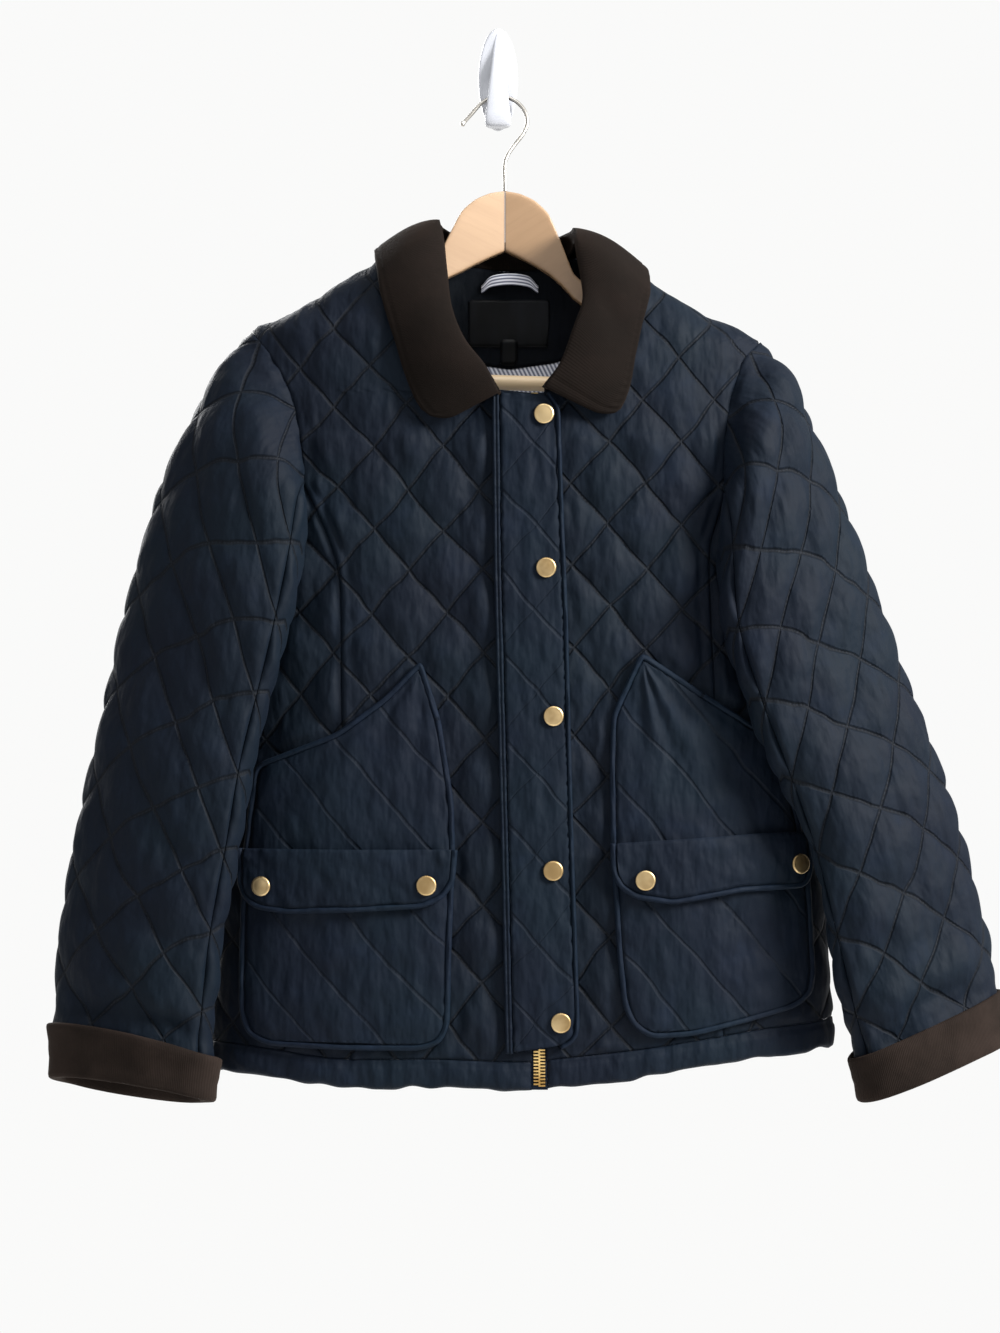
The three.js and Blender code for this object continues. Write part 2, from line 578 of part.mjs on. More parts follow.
const shifted = (line, dx, dz = 0) => line.map((point) => ({ x: point.x + dx, z: point.z + dz }));
const hemSpan = { from: -300, to: 340, step: 16 };
function hemSeam(side) {
  const seam = [];
  for (let { from: x } = hemSpan; x <= hemSpan.to; x += hemSpan.step) {
    seam.push({ x, z: readTable(hemLine[side], 'x', x).z + hemHeight });
  }
  return seam;
}

// Evenly spaced points of a smooth line given by a table
function drawn(line, steps) {
  const points = line.map((point) => new THREE.Vector3(point.x, 0, point.z));
  const curve = new THREE.CatmullRomCurve3(points, false, 'centripetal');
  return curve.getPoints(steps).map((point) => ({ x: point.x, z: point.z }));
}

// The line that runs inside an outline at an even distance
function inset(outline, distance) {
  const area = outline.reduce((sum, point, i) => {
    const next = outline[(i + 1) % outline.length];
    return sum + point.x * next.z - next.x * point.z;
  }, 0);
  const turn = Math.sign(area);
  return outline.map((point, i) => {
    const before = outline[(i + outline.length - 1) % outline.length];
    const after = outline[(i + 1) % outline.length];
    const first = new THREE.Vector2(point.x - before.x, point.z - before.z).normalize();
    const second = new THREE.Vector2(after.x - point.x, after.z - point.z).normalize();
    const out = new THREE.Vector2(-(first.y + second.y), first.x + second.x).normalize();
    const reach = distance / Math.max(0.5, Math.sqrt((1 + first.dot(second)) / 2));
    return { x: point.x + out.x * reach * turn, z: point.z + out.y * reach * turn };
  });
}

// Sleeves: meridians run from the armhole seam through the rings to the cuff
const arcSteps = 240;
const arcShare = 0.36;
const arcAngles = (() => {
  const lengths = [0];
  for (let i = 1; i <= arcSteps; i += 1) {
    const a = (2 * Math.PI * (i - 0.5)) / arcSteps;
    lengths.push(lengths[i - 1] + Math.hypot(Math.sin(a), arcShare * Math.cos(a)));
  }
  return lengths.map((length) => length / lengths[arcSteps]);
})();
function evenAngle(fraction) {
  const whole = Math.floor(fraction);
  const part = fraction - whole;
  let i = arcAngles.findIndex((share) => share >= part);
  i = Math.max(i, 1);
  const t = (part - arcAngles[i - 1]) / (arcAngles[i] - arcAngles[i - 1]);
  return 2 * Math.PI * (whole + (i - 1 + t) / arcSteps);
}

function armholePoint(arm, angle) {
  const hole = armholes[arm];
  const turn = ((angle / (2 * Math.PI)) % 1 + 1) % 1;
  let z;
  let side = 'front';
  if (turn <= 0.5) z = mix(hole.tip.z, hole.fold.z, (1 - Math.cos(turn * 2 * Math.PI)) / 2);
  else if (turn <= 0.75) z = mix(hole.fold.z, hole.underarm.z, Math.sin((turn - 0.5) * 2 * Math.PI));
  else {
    side = 'back';
    z = mix(hole.underarm.z, hole.tip.z, (1 - Math.cos((turn - 0.75) * 4 * Math.PI)) / 2);
  }
  const x = readTable(hole[side], 'z', z).x;
  return new THREE.Vector3(x + (arm === 'left' ? -seamGap : seamGap), depthAt(side, x, z), z);
}

function ringPoint(ring, angle) {
  const outer = new THREE.Vector3(ring.outX, ring.outY, ring.outZ);
  const inner = new THREE.Vector3(ring.inX, ring.inY, ring.inZ);
  const half = outer.clone().sub(inner).multiplyScalar(0.5);
  const middle = outer.add(inner).multiplyScalar(0.5);
  const tip = THREE.MathUtils.degToRad(ring.tip);
  const front = new THREE.Vector3(0, -Math.cos(tip), Math.sin(tip));
  front.addScaledVector(half, -front.dot(half) / half.lengthSq()).normalize();
  const squareness = 0.9;
  return middle.addScaledVector(half, signedPower(Math.cos(angle), squareness))
    .addScaledVector(front, ring.half * signedPower(Math.sin(angle), squareness));
}

const meridianCache = new Map();
function meridian(arm, fraction) {
  const key = `${arm} ${fraction.toFixed(5)}`;
  if (meridianCache.has(key)) return meridianCache.get(key);
  const angle = evenAngle(fraction);
  const points = [armholePoint(arm, angle), ...sleeveRings[arm].map((ring) => ringPoint(ring, angle))];
  const curve = new THREE.CatmullRomCurve3(points, false, 'centripetal');
  curve.arcLengthDivisions = 60;
  meridianCache.set(key, curve);
  return curve;
}

// The sleeve's inner face: around by columns of the quilting, along by its rows. A left
// sleeve turns the other way round, so that both have the same face out.
function sleeveFace(arm) {
  const { columns, rows, start } = sleeveLattice;
  return (u, v) => {
    const fraction = start + u / columns;
    const along = Math.min(Math.max(v / rows, 0), 1);
    const curve = meridian(arm, fraction);
    const point = curve.getPointAt(along);
    const beyond = v / rows - along;
    if (beyond !== 0) {
      point.addScaledVector(curve.getTangentAt(along), beyond * curve.getLength());
    }
    return point;
  };
}

function sleeveFoldRise(arm, u, v) {
  const { columns, start } = sleeveLattice;
  let rise = 0;
  for (const fold of sleeveFolds[arm]) {
    let around = start + u / columns - fold.around;
    around -= Math.round(around);
    rise += fold.rise * bell((v - fold.row) / fold.rows) * bell(around / fold.width);
  }
  return rise;
}

function foldedSleeve(arm) {
  const face = sleeveFace(arm);
  return (u, v) => {
    const rise = sleeveFoldRise(arm, u, v);
    const point = face(u, v);
    if (Math.abs(rise) < 0.05) return point;
    return point.addScaledVector(normalOf(face, u, v), arm === 'left' ? -rise : rise);
  };
}

// One of a sleeve's two pieces, or with grow the space that it needs with a gap all round
function sleevePiece(arm, part, grow = 0) {
  const face = foldedSleeve(arm);
  const { rows, upperColumns } = sleeveLattice;
  const firstColumn = part === 'upper' ? 0 : upperColumns;
  const columns = part === 'upper' ? upperColumns : sleeveLattice.columns - upperColumns;
  const edge = (seamGap - 2 * grow) / sleeveLattice.cell;
  const end = grow / sleeveLattice.cell;
  return clothWall({
    surface: (u, v) => face(
      firstColumn + mix(edge, columns - edge, u / columns), mix(-end, rows + end, v / rows)),
    columns,
    rows,
    inner: -grow,
    outer: clothThickness + grow,
    puff: (i, j) => {
      const inside = j > 0 && j < rows && i > 0 && i < columns;
      return inside && (firstColumn + i + j) % 2 !== 0 ? quiltPuff : 0;
    },
    split: true,
    flip: arm === 'left',
  });
}

// The space a sleeve takes, closed at both ends, which is cut from what it passes
function sleeveSpace(arm) {
  const face = foldedSleeve(arm);
  const { columns, rows } = sleeveLattice;
  const flip = arm === 'left';
  const positions = [];
  const triangles = [];
  const add = (a, b, c) => triangles.push(...(flip ? [a, c, b] : [a, b, c]));
  for (let j = 0; j <= rows; j += 1) {
    for (let i = 0; i < columns; i += 1) {
      const reach = clothThickness + quiltPuff + seamGap * 3;
      const point = face(i, j).addScaledVector(normalOf(face, i, j), flip ? -reach : reach);
      positions.push(point.x, point.y, point.z);
    }
  }
  for (let j = 0; j < rows; j += 1) {
    for (let i = 0; i < columns; i += 1) {
      const next = (i + 1) % columns;
      add(j * columns + i, j * columns + next, (j + 1) * columns + next);
      add(j * columns + i, (j + 1) * columns + next, (j + 1) * columns + i);
    }
  }
  for (const row of [0, rows]) {
    const ring = Array.from({ length: columns }, (unused, i) => (
      new THREE.Vector3().fromArray(positions, (row * columns + i) * 3)));
    const centre = new THREE.Vector3();
    for (const point of ring) centre.addScaledVector(point, 1 / columns);
    positions.push(centre.x, centre.y, centre.z);
    const middle = positions.length / 3 - 1;
    for (let i = 0; i < columns; i += 1) {
      const [a, b] = [row * columns + i, row * columns + ((i + 1) % columns)];
      if (row === 0) add(b, a, middle);
      else add(a, b, middle);
    }
  }
  return solidFrom(positions, triangles);
}


// The collar's fall, from the roll line to the outer edge
const collarRolls = collarStations.map((row) => new THREE.Vector3(row.rollX, row.rollY, row.rollZ));
const collarEdges = collarStations.map((row) => {
  if (row.face === undefined) return new THREE.Vector3(row.edgeX, row.edgeY, row.edgeZ);
  const out = row.face === 'front' ? -1 : 1;
  const y = depthAt(row.face, row.edgeX, row.edgeZ) + out * (layInner + 0.8);
  return new THREE.Vector3(row.edgeX, y, row.edgeZ);
});
const rollCurve = new THREE.CatmullRomCurve3(collarRolls, false, 'centripetal');
const edgeCurve = new THREE.CatmullRomCurve3(collarEdges, false, 'centripetal');

const collarRows = 3;
function collarSurface() {
  const lifts = collarStations.map((row, k) => ({ k, lift: row.lift }));
  const last = collarStations.length - 1;
  const surface = (u, v) => {
    const t = Math.min(Math.max(u / collarColumns, 0), 1);
    const across = v / collarRows;
    const roll = rollCurve.getPoint(t);
    const edge = edgeCurve.getPoint(t);
    const point = roll.clone().lerp(edge, across);
    const bulge = Math.sin(Math.PI * Math.min(Math.max(across, 0), 1) ** 0.7);
    const lift = readTable(lifts, 'k', t * last).lift * bulge;
    const alongEdge = edgeCurve.getTangent(t).add(rollCurve.getTangent(t));
    const out = alongEdge.cross(edge.clone().sub(roll)).normalize();
    return point.addScaledVector(out, lift);
  };
  const endTrim = 0.06;
  return (u, v) => surface(Math.min(Math.max(u, endTrim), collarColumns - endTrim), v);
}

function collarWall(inner, outer) {
  return clothWall({ surface: collarSurface(), columns: collarColumns, rows: collarRows, inner, outer });
}

// What the body's pieces keep clear of: the sleeves with their puffs, and the collar's fall
const collarPassage = 12;
const takenSpaces = [
  sleeveSpace('left'), sleeveSpace('right'), collarWall(-seamGap, collarThickness + collarPassage),
];
for (const arm of ['left', 'right']) {
  for (const part of ['upper', 'under']) {
    takenSpaces.push(sleevePiece(arm, part, seamGap), sleevePiece(arm, part));
  }
}
const clearOfSleeves = (solid) => largest(
  takenSpaces.reduce((left, space) => left.subtract(space), solid));

// Front and back panels, cut from quilted walls along their seams
const leftPhase = { s: -71 - diamondWidth / 2, z: -307 };
const rightPhase = { s: 55 + diamondWidth / 2, z: -303 };
const backPhase = { s: 0, z: -320 };
const wallReach = { side: 330, centre: 20, low: -800, high: -100 };
const quiltedWall = {
  inner: 0, outer: clothThickness, quilted: true, low: wallReach.low, high: wallReach.high,
};
const frontWalls = {
  left: bodyWall({
    ...quiltedWall, side: 'front', from: -wallReach.side, to: wallReach.centre, phase: leftPhase,
  }),
  right: bodyWall({
    ...quiltedWall, side: 'front', from: -wallReach.centre, to: wallReach.side, phase: rightPhase,
  }),
};
const zipHalfWidth = 5.5;
const zipTopZ = zipLine[0].z;
const zipEndZ = -797;
const princessEnd = -770;
function frontPanels() {
  const gap = seamGap / 2;
  const seam = hemSeam('front');
  const seamBetween = (low, high) => seam.filter((point) => point.x > low && point.x < high);
  const seamAt = (x) => ({ x, z: readTable(seam, 'x', x).z + gap });
  for (const arm of ['left', 'right']) {
    const out = arm === 'left' ? -1 : 1;
    const zipTop = { x: zipLine[0].x + out * zipHalfWidth, z: zipTopZ };
    const zipFoot = seamAt(zipLine[1].x + out * zipHalfWidth);
    const princess = drawn(princessLines[arm], 14);
    const princessFoot = readTable(princessLines[arm], 'z', princessEnd - 5).x;
    const hole = drawn(armholes[arm].front, 22);
    const foldRow = hole.findIndex((point) => point.z <= armholes[arm].fold.z);
    const upperHole = shifted(hole.slice(0, foldRow + 1), -out * gap);
    const lowerHole = shifted(hole.slice(foldRow), out * gap);
    const onFront = princess.filter((point) => point.z > princessEnd);
    const neck = drawn(neckline[arm], 12);
    const ends = [zipFoot.x, princessFoot].sort((a, b) => a - b);
    const hem = shifted(seamBetween(ends[0] + 1, ends[1] - 1), 0, gap);
    if (arm === 'left') hem.reverse();
    const main = [
      zipTop, zipFoot, ...hem, seamAt(princessFoot - out * gap),
      ...shifted(onFront, -out * gap).reverse(),
      ...upperHole.slice().reverse(),
      { x: armholes[arm].tip.x, z: wallReach.high },
      ...neck,
    ];
    const cut = (outline) => geometryOf(clearOfSleeves(frontWalls[arm].intersect(frontCutter(outline))));
    addPart(`front_${arm}`, cut(main), 'navy');
    const sideSeam = arm === 'left'
      ? seamBetween(-wallReach.side, princessFoot - 1).reverse()
      : seamBetween(princessFoot + 1, hemSpan.to + 1);
    const sideHem = shifted(sideSeam, 0, gap);
    const side = [
      ...shifted(onFront, out * gap), seamAt(princessFoot + out * gap), ...sideHem,
      { x: out * wallReach.side, z: armholes[arm].underarm.z },
      ...lowerHole.reverse(),
    ];
    addPart(`front_side_${arm}`, cut(side), 'navy');
  }
}

function backPanel() {
  const wall = bodyWall({
    ...quiltedWall, side: 'back', from: -wallReach.side, to: wallReach.side, phase: backPhase,
  });
  const seam = hemSeam('back').map((point) => ({ x: point.x, z: point.z + seamGap / 2 }));
  const outline = [
    ...seam,
    { x: wallReach.side, z: armholes.right.underarm.z },
    ...drawn(armholes.right.back, 18).reverse(),
    { x: armholes.right.tip.x, z: wallReach.high },
    ...drawn(neckline.back, 18).reverse(),
    { x: armholes.left.tip.x, z: wallReach.high },
    ...drawn(armholes.left.back, 18),
    { x: -wallReach.side, z: armholes.left.underarm.z },
  ];
  addPart('back', geometryOf(clearOfSleeves(wall.intersect(backCutter(outline)))), 'navy');
}

// The hem band, whose outer face has small upright puckers
function hemBand(name, side, fromShare, toShare) {
  const seam = hemSeam(side);
  const lengthAt = (z, share) => {
    const section = halfSection(side, z);
    const whole = section.points[section.points.length - 1].length;
    return share * whole - section.start;
  };
  const middleZ = -790;
  const length = lengthAt(middleZ, toShare) - lengthAt(middleZ, fromShare);
  const columns = Math.round(length / hemPuckers.cell);
  const surface = (u, v) => {
    const share = mix(fromShare, toShare, u / columns);
    const guess = bodyBase(side, lengthAt(middleZ, share), middleZ);
    const low = readTable(hemLine[side], 'x', guess.x).z;
    const high = readTable(seam, 'x', guess.x).z - seamGap;
    const z = mix(low, high, v / 2);
    return bodyFace(side, lengthAt(z, share), z);
  };
  const turn = (hemPuckers.cell * 2 * Math.PI) / hemPuckers.width;
  const wave = (i) => Math.sin(i * turn + 1.7 * Math.sin(i * 0.9));
  const solid = clothWall({
    surface,
    columns,
    rows: 2,
    inner: 0,
    outer: clothThickness + hemPuckers.rise,
    puff: (i, j) => (j === 1 ? hemPuckers.crest : hemPuckers.edge)
      + hemPuckers.rise * wave(i) * (j === 0 ? 0.6 : 1),
    flip: side === 'back',
  });
  addPart(name, geometryOf(solid), 'navy');
}

function hemBands() {
  const section = halfSection('front', -790);
  const whole = section.points[section.points.length - 1].length;
  const seamTrim = 0.2 / whole;
  const notch = { left: 23, right: 41 };
  const shareAt = (x) => {
    const k = section.points.findIndex((point) => point.x >= x);
    const [low, high] = [section.points[k - 1], section.points[k]];
    return mix(low.length, high.length, (x - low.x) / (high.x - low.x)) / whole;
  };
  hemBand('hem_band_left', 'front', seamTrim, shareAt(notch.left));
  hemBand('hem_band_right', 'front', shareAt(notch.right), 1 - seamTrim);
  hemBand('hem_band_back', 'back', seamTrim, 1 - seamTrim);
}

// What lies on the fronts: cut from walls that are the fronts' own points, moved out
function laidPiece(name, outline, options, finish) {
  const xs = outline.map((point) => point.x);
  const zs = outline.map((point) => point.z);
  const margin = 45;
  const wall = bodyWall({
    side: 'front',
    from: Math.min(...xs) - zipLine[0].x - margin,
    to: Math.max(...xs) - zipLine[0].x + margin,
    low: Math.min(...zs) - 8,
    high: Math.max(...zs) + 8,
    ...options,
  });
  const piece = clearOfSleeves(wall.intersect(frontCutter(outline)));
  addPart(name, geometryOf(piece), finish);
}

// Points added to a line so that none are further apart than a step
function fine(line, step, closed) {
  const points = [];
  const count = closed ? line.length : line.length - 1;
  for (let i = 0; i < count; i += 1) {
    const [a, b] = [line[i], line[(i + 1) % line.length]];
    const parts = Math.max(1, Math.ceil(Math.hypot(b.x - a.x, b.z - a.z) / step));
    for (let k = 0; k < parts; k += 1) {
      points.push({ x: mix(a.x, b.x, k / parts), z: mix(a.z, b.z, k / parts) });
    }
  }
  if (!closed) points.push(line[line.length - 1]);
  return points;
}

// The outward normal of the front's base
function frontNormal(x, z, step) {
  const depth = (dx, dz) => depthAt('front', x + dx, z + dz);
  const slopeX = (depth(step, 0) - depth(-step, 0)) / (2 * step);
  const slopeZ = (depth(0, step) - depth(0, -step)) / (2 * step);
  return new THREE.Vector3(slopeX, -1, slopeZ).normalize();
}

// The point of the front's base that is seen at x, z once it is moved out
function frontUnder(x, z, offset) {
  let [baseX, baseZ] = [x, z];
  for (let turn = 0; turn < 3; turn += 1) {
    const out = frontNormal(baseX, baseZ, 2);
    baseX = x - out.x * offset;
    baseZ = z - out.z * offset;
  }
  return new THREE.Vector3(baseX, depthAt('front', baseX, baseZ), baseZ);
}

// A wall on the front between two lines of as many points, such as a bound edge. The first
// line is on the left of the second as the lines run.
function stripPiece(name, first, second, options, finish) {
  const { inner, outer, rows = 1, ring = false } = options;
  const count = first.length;
  const pick = (line, u) => {
    const place = ring ? (u + count) % count : Math.min(Math.max(u, 0), count - 1);
    const i = Math.min(Math.floor(place), ring ? count - 1 : count - 2);
    const [a, b] = [line[i], line[(i + 1) % count]];
    return { x: mix(a.x, b.x, place - i), z: mix(a.z, b.z, place - i) };
  };
  const surface = (u, v) => {
    const [a, b] = [pick(first, u), pick(second, u)];
    return frontUnder(mix(a.x, b.x, v / rows), mix(a.z, b.z, v / rows), (inner + outer) / 2);
  };
  const middle = count / 2;
  const flip = normalOf(surface, middle, rows / 2).y > 0;
  const columns = ring ? count : count - 1;
  const solid = clothWall({ surface, columns, rows, inner, outer, ring, flip });
  addPart(name, geometryOf(clearOfSleeves(solid)), finish);
}

function placketPieces() {
  const [rows, step] = [2, 44];
  const right = [
    placket.topRight, ...fine(drawn(placket.right, 8), step), ...placket.bottom.slice(0, -1),
  ];
  const moved = right.map((point, i) => {
    const before = right[Math.max(i - 1, 0)];
    const after = right[Math.min(i + 1, right.length - 1)];
    const run = Math.hypot(after.x - before.x, after.z - before.z);
    return {
      x: point.x + ((after.z - before.z) / run) * bindingWidth,
      z: point.z - ((after.x - before.x) / run) * bindingWidth,
    };
  });
  moved[0] = { x: right[0].x - 1, z: right[0].z };
  stripPiece('placket_binding', right, moved, {
    inner: layInner, outer: placketOuter + bindingRise,
  }, 'binding');
  const corner = placket.right[placket.right.length - 1].z - 3;
  const bodyRight = moved.map((point) => ({
    x: point.x - seamGap, z: point.z + (point.z < corner ? seamGap : 0),
  }));
  const bodyLeft = bodyRight.map((point) => ({ x: readTable(placket.left, 'z', point.z).x, z: point.z }));
  stripPiece('placket', bodyRight, bodyLeft, { inner: layInner, outer: placketOuter, rows }, 'navy');
  const weltLine = shifted(fine(drawn(placket.left, 6), step), -seamGap);
  stripPiece('placket_welt', weltLine, shifted(weltLine, -welt.width), {
    inner: layInner, outer: layInner + welt.rise,
  }, 'navy');
}

function pocketPieces() {
  for (const arm of ['left', 'right']) {
    const phase = arm === 'left' ? leftPhase : rightPhase;
    const outline = pockets[arm].outline;
    const body = inset(outline, bindingWidth + edgeGap);
    const wall = { phase, inner: layInner, outer: pocketOuter, quilted: true, mirror: true };
    laidPiece(`pocket_${arm}`, body, wall, 'navy');
    const edge = fine(outline, 24, true);
    stripPiece(`pocket_binding_${arm}`, edge, inset(edge, bindingWidth), {
      inner: layInner, outer: pocketOuter + bindingRise, ring: true,
    }, 'binding');
    flapPieces(arm, phase);
  }
}

// A flap with a bound lower edge; its top edge is sewn down plain
function flapPieces(arm, phase) {
  const outline = flaps[arm];
  const whole = fine(outline, 24, true);
  const topEdge = Math.max(outline[0].z, outline[outline.length - 1].z) - 9;
  const body = inset(whole, bindingWidth + 2 * edgeGap).map((point, i) => (
    whole[i].z > topEdge ? { x: point.x, z: whole[i].z } : point));
  const last = outline.length - 1;
  laidPiece(`flap_${arm}`, body, { phase, inner: flapInner, outer: flapOuter }, 'navy');
  const lower = fine(outline.slice(0, arm === 'left' ? outline.length : last), 24);
  const lowerIn = inset(lower, bindingWidth);
  for (const k of [0, lower.length - 1]) {
    const sideways = Math.sign(lowerIn[Math.min(k + 1, lower.length - 2)].x - lower[k].x);
    lowerIn[k] = { x: lower[k].x + sideways * bindingWidth, z: lower[k].z };
  }
  stripPiece(`flap_binding_${arm}`, lower, lowerIn, {
    inner: flapInner, outer: flapOuter + bindingRise,
  }, 'binding');
}

// Brass snap caps: a domed disc, set flat on the cloth
function snapPieces() {
  const profile = [
    { out: 0, up: 0 }, { out: snap.radius, up: 0 }, { out: snap.radius, up: snap.rim * 0.6 },
    { out: snap.radius - 0.9, up: snap.rim }, { out: snap.radius * 0.55, up: snap.dome },
    { out: 0, up: snap.dome + 0.2 },
  ].map(({ out, up }) => new THREE.Vector2(out, up));
  for (const place of snapPlaces) {
    const geometry = new THREE.LatheGeometry(profile, snap.sides);
    const base = (place.flap ? flapOuter : placketOuter) + snap.seat;
    const out = frontNormal(place.x, place.z, snap.radius / 2);
    const mesh = addPart(place.name, geometry, 'brass');
    mesh.quaternion.setFromUnitVectors(new THREE.Vector3(0, 1, 0), out);
    mesh.position.set(place.x, depthAt('front', place.x, place.z), place.z).addScaledVector(out, base);
  }
}

// Corduroy cuffs: thick turned-back rings round the sleeve ends
function cuffPiece(arm) {
  const face = foldedSleeve(arm);
  const { columns, rows } = sleeveLattice;
  const outer = layInner + cuff.thickness;
  const profile = [
    { down: 0, off: layInner + cuff.gap }, { down: 0, off: outer - 0.8 }, { down: 1.6, off: outer },
    { down: cuff.height - 3, off: outer + 1.2 }, { down: cuff.height, off: outer - 1 },
    { down: cuff.height, off: layInner + cuff.gap },
  ];
  const positions = [];
  const triangles = [];
  const flip = arm === 'left';
  const rowStep = rows / cuff.sleeveLength;
  const topRow = rows - (cuff.height - cuff.overhang) * rowStep;
  for (let i = 0; i < cuff.columns; i += 1) {
    const u = (i * columns) / cuff.columns;
    for (const { down, off } of profile) {
      const v = topRow + down * rowStep;
      const normal = normalOf(face, u, Math.min(v, rows - 0.1));
      const point = face(u, v).addScaledVector(normal, flip ? -off : off);
      positions.push(point.x, point.y, point.z);
    }
  }
  const count = profile.length;
  for (let i = 0; i < cuff.columns; i += 1) {
    const next = (i + 1) % cuff.columns;
    for (let k = 0; k < count; k += 1) {
      const k2 = (k + 1) % count;
      const [a, b, c, d] = [i * count + k, next * count + k, next * count + k2, i * count + k2];
      const quad = flip ? [a, c, b, a, d, c] : [a, b, c, a, c, d];
      triangles.push(...quad);
    }
  }
  addPart(`cuff_${arm}`, geometryOf(solidFrom(positions, triangles)), 'corduroy');
}

// A flat patch inside the neck, on the back's inner face
function innerPatch(name, outline, inner, outer, finish) {
  const xs = outline.map((point) => point.x);
  const zs = outline.map((point) => point.z);
  const wall = bodyWall({
    side: 'back', from: Math.min(...xs) - 30, to: Math.max(...xs) + 12, low: Math.min(...zs) - 4,
    high: Math.max(...zs) + 4, phase: backPhase, inner, outer,
  });
  addPart(name, geometryOf(largest(wall.intersect(backCutter(outline)))), finish);
}
const rectangle = ({ left, right, top, bottom }) => [
  { x: left, z: top }, { x: right, z: top }, { x: right, z: bottom }, { x: left, z: bottom },
];

function neckPieces() {
  innerPatch('neck_facing', facing.outline, facing.inner, -seamGap, 'navy');
  innerPatch('lining_strip', liningStrip, facing.inner, -seamGap, 'lining');
  for (const [name, patch] of [['neck_label', labelPatch], ['size_tab', sizeTab]]) {
    innerPatch(name, rectangle(patch), patch.offset - patch.thickness, patch.offset, 'label');
  }
  const width = loop.right - loop.left;
  const bowed = (t) => loop.bow * Math.sin(Math.PI * t) ** 0.8;
  const surface = (u, v) => {
    const t = Math.min(Math.max(u / 10, 0), 1);
    const x = loop.left + width * (u / 10);
    const z = loop.z - 1.5 + 3 * Math.sin(Math.PI * t) + loop.width * (v - 0.5);
    return new THREE.Vector3(x, depthAt('back', x, z) - 2.9 - bowed(t), z);
  };
  const strap = clothWall({ surface, columns: 10, rows: 1, inner: 0, outer: loop.thickness });
  addPart('hanging_loop', geometryOf(strap), 'lining');
}

// The closed zip behind the placket, which shows in the notch of the hem
function zipPiece() {
  const half = zipHalfWidth - seamGap;
  const line = fine([zipLine[0], { z: zipEndZ, x: zipLine[1].x }], 90);
  stripPiece('zip', shifted(line, half), shifted(line, -half), { inner: 0.4, outer: 3 }, 'brass');
}

// The hanger: two arms that meet in a joint and sweep forward, a bar, and a bent wire hook
function hangerPieces() {
  const sweep = (out) => mix(hanger.nearY, hanger.farY, Math.min(out / hanger.span, 1));
  for (const arm of ['left', 'right']) {
    const out = arm === 'left' ? -1 : 1;
    const drop = (row) => (arm === 'right' ? row.drop : 0);
    const joint = (row) => hanger.joint + out * Math.max(row.out, seamGap / 2);
    const upper = hangerEdge.map((row) => new THREE.Vector2(joint(row), row.top - drop(row)));
    const lower = hangerEdge.map((row) => new THREE.Vector2(joint(row), row.bottom - drop(row)));
    const shape = new THREE.Shape([...upper, ...lower.reverse()]);
    const bevel = 1.5;
    const board = new THREE.ExtrudeGeometry(shape, {
      depth: hanger.thickness - 2 * bevel,
      bevelThickness: bevel,
      bevelSize: 0.01,
      bevelSegments: 1,
      steps: 1,
    });
    board.rotateX(Math.PI / 2);
    board.translate(0, hanger.thickness / 2 - bevel, 0);
    const place = board.attributes.position;
    for (let i = 0; i < place.count; i += 1) {
      place.setY(i, place.getY(i) + sweep(Math.abs(place.getX(i) - hanger.joint)));
    }
    addPart(`hanger_arm_${arm}`, geometryOf(solidOfGeometry(board)), 'wood');
  }
  const rod = new THREE.CylinderGeometry(bar.radius, bar.radius, 2 * bar.half, 12);
  rod.rotateZ(Math.PI / 2);
  const rodMesh = addPart('hanger_bar', rod, 'wood');
  rodMesh.position.set(hanger.joint, bar.y, bar.z);
  rodMesh.rotation.y = bar.tilt;
  const places = wireRoute.map((point) => new THREE.Vector3(point.x, point.y, point.z));
  const route = new THREE.CatmullRomCurve3(places, false, 'centripetal');
  const corners = Array.from({ length: wire.sides }, (unused, k) => {
    const angle = (k * 2 * Math.PI) / wire.sides;
    return new THREE.Vector2(wire.radius * Math.cos(angle), wire.radius * Math.sin(angle));
  });
  const round = new THREE.Shape(corners);
  const bent = new THREE.ExtrudeGeometry(round, { extrudePath: route, steps: wire.steps });
  addPart('hanger_wire', bent, 'steel');
}

// The wall hook: an oval plate with a saddle and a front tongue, flat on the wall
function wallHook() {
  const outline = new THREE.Shape();
  outline.absellipse(0, 0, hookPlate.width / 2, hookPlate.height / 2, 0, Math.PI * 2);
  const { bevel } = hookPlate;
  const plate = new THREE.ExtrudeGeometry(outline, {
    depth: hookPlate.thickness - bevel,
    bevelThickness: bevel,
    bevelSize: bevel,
    bevelOffset: -bevel,
    bevelSegments: 1,
    curveSegments: 12,
  });
  plate.rotateX(Math.PI / 2);
  let solid = solidOfGeometry(plate);
  const under = solid.boundingBox().max[1];
  solid = solid.translate([0, -under, 0]);
  for (const [profile, width] of [
    [hookSaddle, hookPlate.saddleWidth], [hookTongue, hookPlate.tongueWidth],
  ]) {
    const shapeOf = new THREE.Shape(profile.map(({ y, z }) => new THREE.Vector2(y, z)));
    const block = new THREE.ExtrudeGeometry(shapeOf, { depth: width, bevelEnabled: false });
    block.translate(0, 0, -width / 2);
    block.applyMatrix4(new THREE.Matrix4().makeBasis(
      new THREE.Vector3(0, 1, 0), new THREE.Vector3(0, 0, 1), new THREE.Vector3(1, 0, 0)));
    solid = solid.add(solidOfGeometry(block));
  }
  addPart('wall_hook', geometryOf(solid), 'plastic');
}

